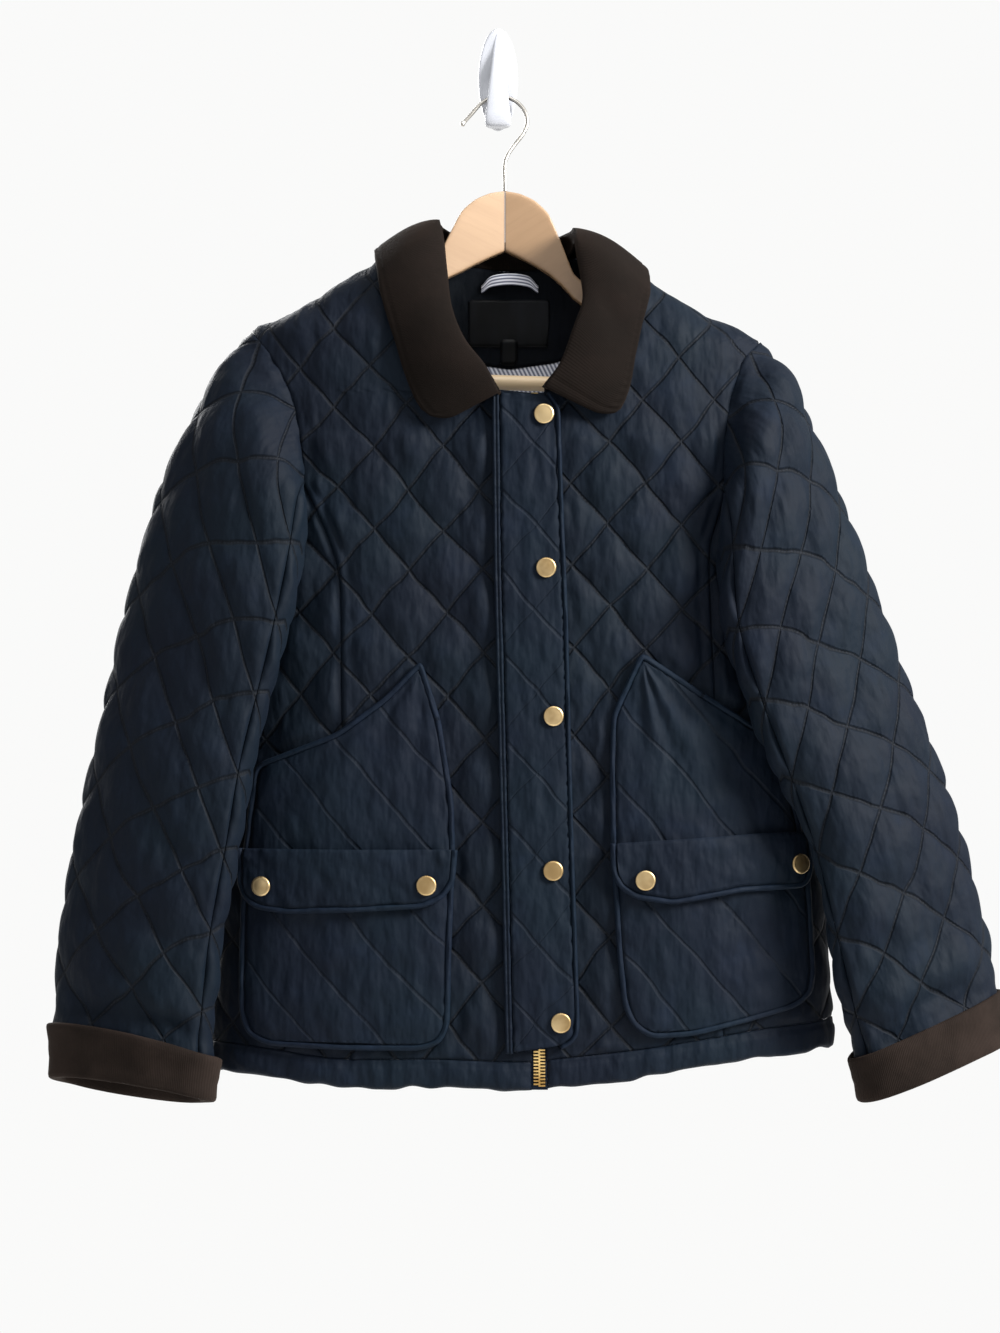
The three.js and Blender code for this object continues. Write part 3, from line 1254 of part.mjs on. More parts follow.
frontPanels();
backPanel();
hemBands();
placketPieces();
pocketPieces();
snapPieces();
for (const arm of ['left', 'right']) {
  const under = sleevePiece(arm, 'under');
  const upper = largest(sleevePiece(arm, 'upper').subtract(sleevePiece(arm, 'under', seamGap / 2)));
  addPart(`sleeve_upper_${arm}`, geometryOf(upper), 'navy');
  addPart(`sleeve_under_${arm}`, geometryOf(under), 'navy');
  cuffPiece(arm);
}
addPart('collar', geometryOf(collarWall(0, collarThickness)), 'corduroy');
neckPieces();
zipPiece();
hangerPieces();
wallHook();

export default root;
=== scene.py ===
"""Looks of the quilted jacket on its wooden hanger and wall hook.

Sizes are in millimetres until a mesh is made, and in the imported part's frame: the origin is the
centre of the wall hook's back, the wall is y = 0, the jacket lies on the -Y side, +Z is up.
"""

import logging
from dataclasses import dataclass, field
from enum import Enum
from typing import Any, Callable, Optional, Sequence, Union

import bpy
import numpy as np
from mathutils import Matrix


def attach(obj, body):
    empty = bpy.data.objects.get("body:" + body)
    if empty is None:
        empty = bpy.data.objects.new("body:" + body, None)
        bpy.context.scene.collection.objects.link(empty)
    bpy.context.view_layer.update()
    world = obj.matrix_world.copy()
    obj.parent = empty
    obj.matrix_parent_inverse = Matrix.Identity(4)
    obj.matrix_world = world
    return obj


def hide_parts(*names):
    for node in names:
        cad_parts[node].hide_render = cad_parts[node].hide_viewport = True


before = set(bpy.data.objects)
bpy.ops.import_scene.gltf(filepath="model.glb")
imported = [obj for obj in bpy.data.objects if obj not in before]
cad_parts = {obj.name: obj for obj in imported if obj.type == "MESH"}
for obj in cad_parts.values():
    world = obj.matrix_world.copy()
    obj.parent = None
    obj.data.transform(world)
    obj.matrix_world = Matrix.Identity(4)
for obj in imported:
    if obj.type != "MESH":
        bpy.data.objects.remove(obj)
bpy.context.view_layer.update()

log = logging.getLogger("quilted jacket")
Array = np.ndarray
MM = 0.001
CLOTH = 2.5
LAY_INNER = 5.8
POCKET_OUTER = 8.3
FLAP_INNER = 12.2
FLAP_OUTER = 14.7
BINDING_WIDTH = 3.6
# Widths that the cloth record states: a tape laid flat, the welt's face, the cuff, the loop, the zip
TAPE_FLAT = 10.2
WELT_FACE = 7.2
CUFF_DEPTH = 62.0
LOOP_SIZE = (50.0, 10.5)
ZIP_TAPE_SIZE = (532.0, 13.0)
# How much wider a binding's arched face is than the strip
ARCH_SHARE = 1.5
SEAM_PLANE = -52.0
SECTION_POWER = 2.5
SEAM_GAP = 0.3


class Side(Enum):
    """The two halves of the body; the value is the way out along Y."""

    FRONT = -1
    BACK = 1


class Arm(Enum):
    """The two arms as they are seen; the value is the way out along X."""

    LEFT = -1
    RIGHT = 1


# Arrays of numbers


def smooth(value: Array, low: float, high: float) -> Array:
    """A soft step from 0 at low to 1 at high: 3t^2 - 2t^3.

    Args:
        value: what is stepped.
        low: where the step starts.
        high: where it ends.

    Returns:
        The step, as an array.
    """
    t = np.clip((value - low) / (high - low), 0.0, 1.0)
    return t * t * (3.0 - 2.0 * t)


def bell(value: Array) -> Array:
    """The bell curve exp(-v^2)."""
    return np.exp(-value * value)


def signed_power(value: Array, power: float) -> Array:
    """The power of a number's size, with its sign."""
    return np.sign(value) * np.abs(value) ** power


def unit(vectors: Array) -> Array:
    """Vectors of length one."""
    return vectors / np.maximum(np.linalg.norm(vectors, axis=-1, keepdims=True), 1e-9)


def noise(x: Array, y: Array, seed: int) -> Array:
    """Smooth noise between -1 and 1: seeded values at whole places, eased in between.

    Args:
        x: places along the first way.
        y: places along the second way.
        seed: which pattern.

    Returns:
        The noise at each place.
    """
    table = np.random.default_rng(seed).uniform(-1.0, 1.0, (64, 64))
    ix, iy = np.floor(x).astype(int), np.floor(y).astype(int)
    fx, fy = x - ix, y - iy
    fx, fy = fx * fx * (3 - 2 * fx), fy * fy * (3 - 2 * fy)

    def at(dx: int, dy: int) -> Array:
        """The seeded value at a corner of the cell."""
        return table[(ix + dx) % 64, (iy + dy) % 64]

    low = at(0, 0) * (1 - fx) + at(1, 0) * fx
    high = at(0, 1) * (1 - fx) + at(1, 1) * fx
    return low * (1 - fy) + high * fy


def catmull(points: Array, steps: int) -> Array:
    """A centripetal Catmull-Rom curve through points.

    Each stretch between two points is a cubic whose end slopes come from its neighbours, with
    the square roots of the distances as their spacing.

    Args:
        points: array of points, first axis along the curve.
        steps: how many steps each stretch gets.

    Returns:
        The points of the curve, first axis along it.
    """
    first = 2 * points[0] - points[1]
    last = 2 * points[-1] - points[-2]
    p = np.concatenate([first[None], points, last[None]])
    gap = np.sqrt(np.linalg.norm(np.diff(p, axis=0), axis=-1, keepdims=True)) + 1e-6
    p0, p1, p2, p3 = p[:-3], p[1:-2], p[2:-1], p[3:]
    d0, d1, d2 = gap[:-2], gap[1:-1], gap[2:]
    t1 = ((p1 - p0) / d0 - (p2 - p0) / (d0 + d1) + (p2 - p1) / d1) * d1
    t2 = ((p2 - p1) / d1 - (p3 - p1) / (d1 + d2) + (p3 - p2) / d2) * d1
    c2 = -3 * p1 + 3 * p2 - 2 * t1 - t2
    c3 = 2 * p1 - 2 * p2 + t1 + t2
    t = np.linspace(0, 1, steps, endpoint=False).reshape((1, steps) + (1,) * (p1.ndim - 1))
    curve = p1[:, None] + t1[:, None] * t + c2[:, None] * t**2 + c3[:, None] * t**3
    curve = curve.reshape((-1,) + points.shape[1:])
    return np.concatenate([curve, points[-1:]])


def evenly(curve: Array, shares: Array) -> Array:
    """Points of curves at shares of their length.

    Args:
        curve: points, first axis along the curve, last axis x, y, z, any axes between.
        shares: numbers from 0 to 1.

    Returns:
        The points at the shares, first axis along.
    """
    step = np.linalg.norm(np.diff(curve, axis=0), axis=-1)
    length = np.concatenate([np.zeros((1,) + step.shape[1:]), np.cumsum(step, axis=0)])
    target = shares.reshape((-1,) + (1,) * (step.ndim - 1)) * length[-1]
    index = (length[None] <= target[:, None]).sum(axis=1) - 1
    index = np.clip(index, 0, len(curve) - 2)
    low = np.take_along_axis(length, index, 0)
    high = np.take_along_axis(length, index + 1, 0)
    t = ((target - low) / np.maximum(high - low, 1e-9))[..., None]
    a = np.take_along_axis(curve, index[..., None], 0)
    b = np.take_along_axis(curve, index[..., None] + 1, 0)
    return a + (b - a) * t


def grid_normals(points: Array, closed: bool = False) -> Array:
    """Unit normals of a grid of points: the cross product of its slopes along both ways.

    Args:
        points: rows by columns by 3.
        closed: whether the columns go all the way round.

    Returns:
        The normals, rows by columns by 3.
    """
    if closed:
        along = np.roll(points, -1, axis=1) - np.roll(points, 1, axis=1)
    else:
        along = np.gradient(points, axis=1)
    down = np.gradient(points, axis=0)
    return unit(np.cross(along, down))


@dataclass(frozen=True)
class Table:
    """A short table with named columns, read smoothly between its rows.

    Attributes:
        names: the key column's name and the others', split by spaces.
        rows: the rows in the order of the key column, rising or falling.
    """

    names: str
    rows: Sequence[Sequence[float]]

    def read(self, name: str, value: Union[Array, float]) -> Array:
        """A column at any values of the key: cubic pieces with slopes from the neighbours.

        Args:
            name: the column.
            value: values of the key column.

        Returns:
            The column's values there, held at its ends.
        """
        data = np.array(self.rows, float)
        data = data[np.argsort(data[:, 0], kind="stable")]
        keys, column = data[:, 0], data[:, self.names.split().index(name)]
        value = np.asarray(value, float)
        last = len(keys) - 1
        low = np.clip(np.searchsorted(keys, value, side="right") - 1, 0, last - 1)
        high = low + 1
        before, after = np.maximum(low - 1, 0), np.minimum(high + 1, last)
        span = keys[high] - keys[low]
        t = np.clip((value - keys[low]) / span, 0.0, 1.0)
        slope_low = (column[high] - column[before]) / (keys[high] - keys[before]) * span
        slope_high = (column[after] - column[low]) / (keys[after] - keys[low]) * span
        t2, t3 = t * t, t * t * t
        return (
            (2 * t3 - 3 * t2 + 1) * column[low]
            + (t3 - 2 * t2 + t) * slope_low
            + (3 * t2 - 2 * t3) * column[high]
            + (t3 - t2) * slope_high
        )


# Making meshes


@dataclass
class Sheets:
    """Two sheets of points that a closed wall is made between.

    Attributes:
        outer: the outer sheet, rows by columns by 3.
        inner: the inner sheet, of the same shape.
        uv: cloth coordinates of each point in millimetres.
        lattice: coordinates of each point in the quilting, whole numbers on the stitch lines.
        closed: whether the columns go all the way round.
    """

    outer: Array
    inner: Array
    uv: Array
    lattice: Optional[Array] = None
    closed: bool = False


def grid_faces(rows: int, columns: int, closed: bool, start: int = 0) -> Array:
    """The quads of a grid of points.

    Args:
        rows: rows of points.
        columns: columns of points.
        closed: whether the last column joins the first.
        start: number of the grid's first point.

    Returns:
        Four point numbers a face.
    """
    j, i = np.meshgrid(np.arange(rows - 1), np.arange(columns if closed else columns - 1), indexing="ij")
    nxt = (i + 1) % columns
    quads = np.stack([j * columns + i, j * columns + nxt, (j + 1) * columns + nxt, (j + 1) * columns + i], -1)
    return quads.reshape(-1, 4) + start


def mesh_object(name: str, points: Array, faces: list[Array], sharp: int = 0) -> bpy.types.Object:
    """Makes an object from points in millimetres and faces.

    Args:
        name: the object's name.
        points: points by 3.
        faces: arrays of faces, each with a fixed number of corners.
        sharp: how many faces at the end are shaded flat.

    Returns:
        The object, linked to the scene.
    """
    mesh = bpy.data.meshes.new(name)
    mesh.from_pydata((points * MM).tolist(), [], [face for part in faces for face in part.tolist()])
    flags = np.ones(len(mesh.polygons), bool)
    if sharp:
        flags[-sharp:] = False
    mesh.polygons.foreach_set("use_smooth", flags)
    mesh.validate()
    mesh.update()
    made = bpy.data.objects.new(name, mesh)
    bpy.context.scene.collection.objects.link(made)
    return made


def set_uv(made: bpy.types.Object, layer: str, values: Array) -> None:
    """Stores two numbers a point as a UV map.

    Args:
        made: the object.
        layer: the map's name.
        values: points by 2.
    """
    corners = np.empty(len(made.data.loops), np.int64)
    made.data.loops.foreach_get("vertex_index", corners)
    target = made.data.uv_layers.new(name=layer)
    target.data.foreach_set("uv", values[corners].astype(np.float32).ravel())


def wall(name: str, sheets: Sheets) -> bpy.types.Object:
    """A closed wall between two sheets, with rims round its edges.

    Args:
        name: the object's name.
        sheets: the outer and inner sheet.

    Returns:
        The object; faces of the inner sheet have material slot 1.
    """
    rows, columns = sheets.outer.shape[:2]
    count = rows * columns
    points = np.concatenate([sheets.outer.reshape(-1, 3), sheets.inner.reshape(-1, 3)])
    outer = grid_faces(rows, columns, sheets.closed)
    inner = outer[:, ::-1] + count

    def rim(edge: Array) -> Array:
        """Quads from the outer edge's points to the inner edge's."""
        return np.stack([edge[1:], edge[:-1], edge[:-1] + count, edge[1:] + count], -1)

    index = np.arange(count).reshape(rows, columns)
    if sheets.closed:
        index = np.concatenate([index, index[:, :1]], axis=1)
        rims = [rim(index[0]), rim(index[-1][::-1])]
    else:
        rims = [rim(index[0]), rim(index[-1][::-1]), rim(index[::-1, 0]), rim(index[:, -1])]
    rim_faces = np.concatenate(rims)
    corner = points[outer]
    face_normal = np.cross(corner[:, 2] - corner[:, 0], corner[:, 3] - corner[:, 1])
    away = points[outer].mean(1) - points[outer + count].mean(1)
    if (face_normal * away).sum() < 0:
        outer, inner, rim_faces = outer[:, ::-1], inner[:, ::-1], rim_faces[:, ::-1]
    made = mesh_object(name, points, [outer, inner, rim_faces], sharp=len(rim_faces))
    slots = np.zeros(len(made.data.polygons), np.int32)
    slots[len(outer) : 2 * len(outer)] = 1
    made.data.polygons.foreach_set("material_index", slots)
    uv = sheets.uv.reshape(-1, 2) * MM
    set_uv(made, "cloth", np.concatenate([uv, uv]))
    if sheets.lattice is not None:
        lattice = sheets.lattice.reshape(-1, 2)
        set_uv(made, "lattice", np.concatenate([lattice, lattice]))
    return made


def loft(name: str, points: Array, uv: Optional[Array] = None) -> bpy.types.Object:
    """A closed skin over rings of points, with a fan over each end.

    Args:
        name: the object's name.
        points: rings by points round a ring by 3.
        uv: cloth coordinates in millimetres, or nothing.

    Returns:
        The object.
    """
    first_ring = points[:1] + (points[1:2] - points[:1]) * 0.02
    last_ring = points[-1:] + (points[-2:-1] - points[-1:]) * 0.02
    points = np.concatenate([points[:1], first_ring, points[1:-1], last_ring, points[-1:]])
    rings, count = points.shape[:2]
    flat = points.reshape(-1, 3)
    caps = np.stack([points[0].mean(0), points[-1].mean(0)])
    flat = np.concatenate([flat, caps])
    skin = grid_faces(rings, count, True)
    i = np.arange(count)
    nxt = (i + 1) % count
    first = np.stack([nxt, i, np.full(count, rings * count)], -1)
    top = (rings - 1) * count
    last = np.stack([top + i, top + nxt, np.full(count, rings * count + 1)], -1)
    centre = points.mean(1, keepdims=True)
    corner = flat[skin]
    face_normal = np.cross(corner[:, 2] - corner[:, 0], corner[:, 3] - corner[:, 1])
    away = corner.mean(1) - np.repeat(centre[:-1, 0], count, axis=0)
    if (face_normal * away).sum() < 0:
        skin, first, last = skin[:, ::-1], first[:, ::-1], last[:, ::-1]
    made = mesh_object(name, flat, [skin, first, last], sharp=2 * count)
    if uv is not None:
        full = np.concatenate([uv.reshape(-1, 2), uv[0].mean(0)[None], uv[-1].mean(0)[None]]) * MM
        set_uv(made, "cloth", full)
    return made


def ring_skin(name: str, points: Array, uv: Array) -> bpy.types.Object:
    """A skin that is closed both ways, such as a turned-back cuff.

    Args:
        name: the object's name.
        points: profile points by points round by 3.
        uv: cloth coordinates in millimetres.

    Returns:
        The object.
    """
    rows, columns = points.shape[:2]
    around = np.concatenate([points, points[:1]])
    faces = grid_faces(rows + 1, columns, True) % (rows * columns)
    corner = points.reshape(-1, 3)[faces]
    volume = (np.cross(corner[:, 0], corner[:, 1]) * corner[:, 2]).sum()
    volume += (np.cross(corner[:, 0], corner[:, 2]) * corner[:, 3]).sum()
    if volume < 0:
        faces = faces[:, ::-1]
    made = mesh_object(name, around[:-1].reshape(-1, 3), [faces])
    set_uv(made, "cloth", uv.reshape(-1, 2) * MM)
    return made


# Shader expressions


class Value:
    """A shader socket that takes part in Python sums."""

    def __init__(self, tree: "Tree", socket: bpy.types.NodeSocket) -> None:
        """Keeps the socket and the tree that it is in."""
        self.tree = tree
        self.socket = socket

    def _math(self, operation: str, *others: Any) -> "Value":
        """One Math node.

        Args:
            operation: the node's operation.
            *others: further inputs after this one.

        Returns:
            The node's result.
        """
        return self.tree.math(operation, self, *others)

    def __add__(self, other: Any) -> "Value":
        """Sum."""
        return self._math("ADD", other)

    __radd__ = __add__

    def __sub__(self, other: Any) -> "Value":
        """Difference."""
        return self._math("SUBTRACT", other)

    def __rsub__(self, other: Any) -> "Value":
        """Difference from a number."""
        return self.tree.math("SUBTRACT", other, self)

    def __mul__(self, other: Any) -> "Value":
        """Product."""
        return self._math("MULTIPLY", other)

    __rmul__ = __mul__

    def __truediv__(self, other: Any) -> "Value":
        """Quotient."""
        return self._math("DIVIDE", other)

    def __rtruediv__(self, other: Any) -> "Value":
        """A number divided by this."""
        return self.tree.math("DIVIDE", other, self)

    def __pow__(self, other: Any) -> "Value":
        """Power."""
        return self._math("POWER", other)

    def __neg__(self) -> "Value":
        """The opposite."""
        return self._math("MULTIPLY", -1.0)

    def __abs__(self) -> "Value":
        """Size without sign."""
        return self._math("ABSOLUTE")

    def sine(self) -> "Value":
        """The sine."""
        return self._math("SINE")

    def round(self) -> "Value":
        """The nearest whole number."""
        return self._math("ROUND")

    def low(self, other: Any) -> "Value":
        """The lower of two."""
        return self._math("MINIMUM", other)

    def high(self, other: Any) -> "Value":
        """The higher of two."""
        return self._math("MAXIMUM", other)

    def step(self, low: float, high: float) -> "Value":
        """A soft step from 0 at low to 1 at high."""
        return self.tree.add(
            "ShaderNodeMapRange",
            {"interpolation_type": "SMOOTHSTEP"},
            {"Value": self, "From Min": low, "From Max": high, "To Min": 0.0, "To Max": 1.0},
        )


class Tree:
    """A material's nodes, with one method that adds any of them."""

    def __init__(self, name: str) -> None:
        """Makes the material.

        Args:
            name: the material's name.
        """
        self.material = bpy.data.materials.new(name)
        self.material.use_nodes = True
        self.nodes = self.material.node_tree.nodes
        self.links = self.material.node_tree.links
        self.nodes.clear()
        self.output = self.nodes.new("ShaderNodeOutputMaterial")

    def add(
        self, kind: str, settings: Optional[dict] = None, inputs: Optional[dict] = None, out: Any = 0
    ) -> Value:
        """Adds a node.

        Args:
            kind: the node's type.
            settings: the node's own settings; stops gives a ramp's places and colours.
            inputs: values or links by socket name or number.
            out: the output that is returned, by name or number.

        Returns:
            The output as a value.
        """
        node = self.nodes.new(kind)
        for key, setting in (settings or {}).items():
            if key == "stops":
                ramp = node.color_ramp
                while len(ramp.elements) < len(setting):
                    ramp.elements.new(0.5)
                for element, (place, colour) in zip(ramp.elements, setting):
                    element.position = place
                    element.color = (*colour, 1.0)
            else:
                setattr(node, key, setting)
        for key, value in (inputs or {}).items():
            socket = node.inputs[key]
            if isinstance(value, Value):
                self.links.new(value.socket, socket)
            elif isinstance(value, tuple) and len(value) == 3 and socket.type == "RGBA":
                socket.default_value = (*value, 1.0)
            else:
                socket.default_value = value
        return Value(self, node.outputs[out])

    def math(self, operation: str, *values: Any) -> Value:
        """Adds a Math node.

        Args:
            operation: the operation.
            *values: its inputs in order.

        Returns:
            The result.
        """
        return self.add("ShaderNodeMath", {"operation": operation}, dict(enumerate(values)))

    def mix(self, share: Any, first: Any, second: Any) -> Value:
        """Mixes two colours.

        Args:
            share: how much of the second, 0 to 1.
            first: colour at 0.
            second: colour at 1.

        Returns:
            The colour.
        """
        return self.add(
            "ShaderNodeMix", {"data_type": "RGBA"}, {0: share, 6: first, 7: second}, out=2
        )

    def place(self) -> Value:
        """The Object coordinates."""
        return self.add("ShaderNodeTexCoord", out="Object")

    def map(self, name: str) -> tuple[Value, Value]:
        """The two numbers of a UV map.

        Args:
            name: the map's name.

        Returns:
            First and second number.
        """
        uv = self.add("ShaderNodeUVMap", {"uv_map": name})
        node = self.nodes.new("ShaderNodeSeparateXYZ")
        self.links.new(uv.socket, node.inputs[0])
        return Value(self, node.outputs[0]), Value(self, node.outputs[1])

    def vector(self, x: Any, y: Any, z: Any = 0.0) -> Value:
        """A vector of three numbers."""
        return self.add("ShaderNodeCombineXYZ", None, {0: x, 1: y, 2: z})

    def cloud(self, where: Value, scale: float, detail: float = 3.0, rough: float = 0.55) -> Value:
        """Noise between 0 and 1.

        Args:
            where: coordinates.
            scale: waves to a metre.
            detail: octaves.
            rough: how strong the finer octaves are.

        Returns:
            The noise.
        """
        return self.add(
            "ShaderNodeTexNoise",
            None,
            {"Vector": where, "Scale": scale, "Detail": detail, "Roughness": rough},
            out="Fac",
        )

    def stretch(self, where: Value, scale: tuple[float, float, float]) -> Value:
        """Coordinates stretched by a factor each way."""
        return self.add("ShaderNodeVectorMath", {"operation": "MULTIPLY"}, {0: where, 1: scale})

    def bump(self, height: Value, distance: float, strength: float = 1.0, under: Any = None) -> Value:
        """A bump.

        Args:
            height: the height, 0 to 1.
            distance: how high 1 is, in metres.
            strength: the node's strength.
            under: a bump below this one.

        Returns:
            The normal.
        """
        inputs = {"Height": height, "Distance": distance, "Strength": strength}
        if under is not None:
            inputs["Normal"] = under
        return self.add("ShaderNodeBump", None, inputs)

    def finish(self, settings: dict) -> bpy.types.Material:
        """Adds the surface shader and returns the material.

        Args:
            settings: values or links of the surface shader's sockets.

        Returns:
            The material.
        """
        shader = self.add("ShaderNodeBsdfPrincipled", None, settings)
        self.links.new(shader.socket, self.output.inputs["Surface"])
        return self.material


def colour(red: int, green: int, blue: int) -> tuple[float, float, float]:
    """A screen colour of 0 to 255 as linear light.

    Args:
        red: red.
        green: green.
        blue: blue.

    Returns:
        The three amounts of light.
    """
    share = np.array([red, green, blue]) / 255.0
    linear = np.where(share <= 0.04045, share / 12.92, ((share + 0.055) / 1.055) ** 2.4)
    return tuple(float(part) for part in linear)


@dataclass(frozen=True)
class NavyCloth:
    """Dark navy cotton with a soft sheen, quilted or plain.

    Attributes:
        name: the material's name.
        quilted: whether stitch lines follow the lattice map.
        puckers: how deep the fine crumples are, in millimetres.
        lines: how strongly the stitched grooves are darkened with painted shade, 0 to 1.
        lift: how much lighter than the quilting the cloth is.
        second: how strongly the second family of lines shows, 0 to 1.
        deep: depth of the stitched grooves in metres.
        pitch: distance between the lines in millimetres.
    """

    name: str
    quilted: bool = True
    puckers: float = 0.9
    lines: float = 0.75
    lift: float = 1.0
    second: float = 1.0
    deep: float = 0.0011
    pitch: float = 42.6

    def make(self) -> bpy.types.Material:
        """Builds the material: tint clouds, weave, crumples, and stitched grooves with thread and painted shade.

        Returns:
            The material.
        """
        tree = Tree(self.name)
        where = tree.place()
        across, along = tree.map("cloth")
        cloth = tree.vector(across, along)
        tint = tree.cloud(where, 9.0, 3.0)
        fade = tree.cloud(where, 34.0, 4.0)
        deep = tuple(part * self.lift for part in colour(2, 6, 15))
        teal = tuple(part * self.lift for part in colour(2, 9, 17))
        worn = tuple(part * self.lift for part in colour(8, 16, 28))
        base = tree.mix(tint.step(0.35, 0.68), deep, teal)
        base = tree.mix(fade.step(0.5, 0.78) * 0.35, base, worn)
        weave = (across * 7800.0).sine() * (along * 7800.0).sine() * 0.5 + 0.5
        base = tree.mix(weave * 0.16, base, worn)
        upright = tree.cloud(tree.stretch(cloth, (120.0, 44.0, 1.0)), 1.0, 1.6, 0.4)
        slanted = tree.cloud(tree.stretch(where, (80.0, 80.0, 56.0)), 1.0, 2.0, 0.45)
        height = upright * 0.55 + slanted * 0.45
        rough = 0.62 + 0.16 * fade
        normal = tree.bump(weave, 0.00012, 0.5)
        normal = tree.bump(height, self.puckers * MM * 5.0, 0.9, normal)
        if self.quilted:
            first, second = tree.map("lattice")
            off_first = abs(first - first.round()) * self.pitch
            off_second = abs(second - second.round()) * self.pitch
            nearest = off_first.low(off_second + (1.0 - self.second) * 2.0)
            groove = 1.0 - nearest.step(0.25, 1.9)
            thread = 1.0 - nearest.step(0.2, 0.55)
            dashes = ((first + second) * (self.pitch * 2.0)).sine().step(-0.2, 0.3)
            pull = tree.cloud(tree.stretch(cloth, (210.0, 70.0, 1.0)), 1.0, 2.0)
            gather = (1.0 - nearest.step(0.5, 9.0)) * pull
            # Painted shade: the stitched grooves are darkened towards near-black by the lines share.
            base = tree.mix(groove * self.lines, base, colour(3, 4, 6))
            base = tree.mix(thread * dashes * 0.4, base, colour(20, 25, 33))
            normal = tree.bump((1.0 - groove) + gather * 0.5, self.deep, 0.9, normal)
        return tree.finish(
            {
                "Base Color": base,
                "Roughness": rough,
                "Normal": normal,
                "Sheen Weight": 0.012,
                "Sheen Roughness": 0.4,
                "Sheen Tint": (*colour(120, 140, 170), 1.0),
                "Specular IOR Level": 0.07,
            }
        )


@dataclass(frozen=True)
class Corduroy:
    """Dark brown fine-wale corduroy.

    Attributes:
        name: the material's name.
        wale: width of a wale in millimetres.
        base: screen colour of the pile.
        light: screen colour where the pile is brushed or worn.
    """

    name: str
    wale: float = 1.3
    base: tuple[int, int, int] = (8, 6, 5)
    light: tuple[int, int, int] = (17, 12, 10)

    def make(self) -> bpy.types.Material:
        """Builds the material: round wales along the cloth, brushed clouds, soft fuzz.

        Returns:
            The material.
        """
        tree = Tree(self.name)
        where = tree.place()
        across, along = tree.map("cloth")
        wander = tree.cloud(where, 60.0, 2.0)
        turn = (across / (self.wale * MM) + wander * 0.35) * (2 * np.pi)
        ridge = turn.sine() * 0.5 + 0.5
        brushed = tree.cloud(where, 22.0, 4.0, 0.6)
        fuzz = tree.cloud(where, 900.0, 2.0, 0.7)
        base = tree.mix(brushed.step(0.32, 0.72) * 0.5, colour(*self.base), colour(*self.light))
        base = tree.mix((1.0 - ridge) * 0.3, base, colour(12, 8, 6))
        base = tree.mix(fuzz.step(0.55, 0.85) * 0.35, base, colour(*self.light))
        normal = tree.bump(ridge, 0.00022, 0.6)
        normal = tree.bump(fuzz, 0.0003, 0.5, normal)
        normal = tree.bump(brushed, 0.002, 0.6, normal)
        return tree.finish(
            {
                "Base Color": base,
                "Roughness": 0.92,
                "Normal": normal,
                "Sheen Weight": 0.03,
                "Sheen Roughness": 0.5,
                "Sheen Tint": (*colour(150, 120, 100), 1.0),
                "Specular IOR Level": 0.04,
            }
        )


@dataclass(frozen=True)
class Lining:
    """Smooth lining with fine stripes of blue-grey on white.

    Attributes:
        name: the material's name.
        pitch: distance between stripes in millimetres.
        slant: how much the stripes lean.
        dark: screen colour of the stripes.
    """

    name: str
    pitch: float = 3.4
    slant: float = 0.0
    dark: tuple[int, int, int] = (70, 76, 98)

    def make(self) -> bpy.types.Material:
        """Builds the material: a wide and a narrow stripe in each repeat.

        Returns:
            The material.
        """
        tree = Tree(self.name)
        across, along = tree.map("cloth")
        turn = (across + along * self.slant) / (self.pitch * MM) * (2 * np.pi)
        wide = turn.sine().step(-0.1, 0.35)
        narrow = (turn * 2.0 + 1.3).sine().step(0.6, 0.85) * 0.5
        soft = tree.cloud(tree.place(), 60.0, 3.0)
        base = tree.mix(wide.high(narrow), colour(206, 208, 216), colour(*self.dark))
        base = tree.mix(soft * 0.3, base, colour(150, 152, 162))
        return tree.finish(
            {
                "Base Color": base,
                "Roughness": 0.6,
                "Normal": tree.bump(soft, 0.0008, 0.5),
                "Sheen Weight": 0.1,
            }
        )


@dataclass(frozen=True)
class Satin:
    """Black satin of the bare labels, with soft sheen bands.

    Attributes:
        name: the material's name.
    """

    name: str

    def make(self) -> bpy.types.Material:
        """Builds the material: fine upright ribs and broad soft bands of painted sheen.

        Returns:
            The material.
        """
        tree = Tree(self.name)
        across, along = tree.map("cloth")
        bands = tree.cloud(tree.stretch(tree.vector(across, along), (60.0, 14.0, 1.0)), 1.0, 2.0)
        ribs = (across * 9000.0).sine() * 0.5 + 0.5
        # Painted sheen: where the broad bands rise the black is lightened towards grey; the same bands also vary
        # roughness and bump.
        base = tree.mix(bands.step(0.4, 0.75), colour(4, 5, 6), colour(11, 13, 17))
        base = tree.mix(ribs * 0.2, base, colour(15, 16, 20))
        return tree.finish(
            {
                "Base Color": base,
                "Roughness": 0.38 + 0.15 * bands,
                "Normal": tree.bump(bands, 0.0012, 0.7),
                "Specular IOR Level": 0.08,
            }
        )


@dataclass(frozen=True)
class Metal:
    """Brass or steel with fine wear.

    Attributes:
        name: the material's name.
        bright: screen colour where it is rubbed.
        dull: screen colour where it is darkened.
        rough: roughness.
    """

    name: str
    bright: tuple[int, int, int]
    dull: tuple[int, int, int]
    rough: float = 0.3

    def make(self) -> bpy.types.Material:
        """Builds the material: darkened clouds and small scratches.

        Returns:
            The material.
        """
        tree = Tree(self.name)
        where = tree.place()
        patina = tree.cloud(where, 45.0, 3.0, 0.5)
        scratch = tree.cloud(tree.stretch(where, (500.0, 500.0, 90.0)), 1.0, 2.0)
        base = tree.mix(patina.step(0.35, 0.7), colour(*self.bright), colour(*self.dull))
        return tree.finish(
            {
                "Base Color": base,
                "Metallic": 1.0,
                "Roughness": self.rough + 0.14 * patina + 0.08 * scratch,
                "Normal": tree.bump(scratch, 0.00002, 0.4),
            }
        )


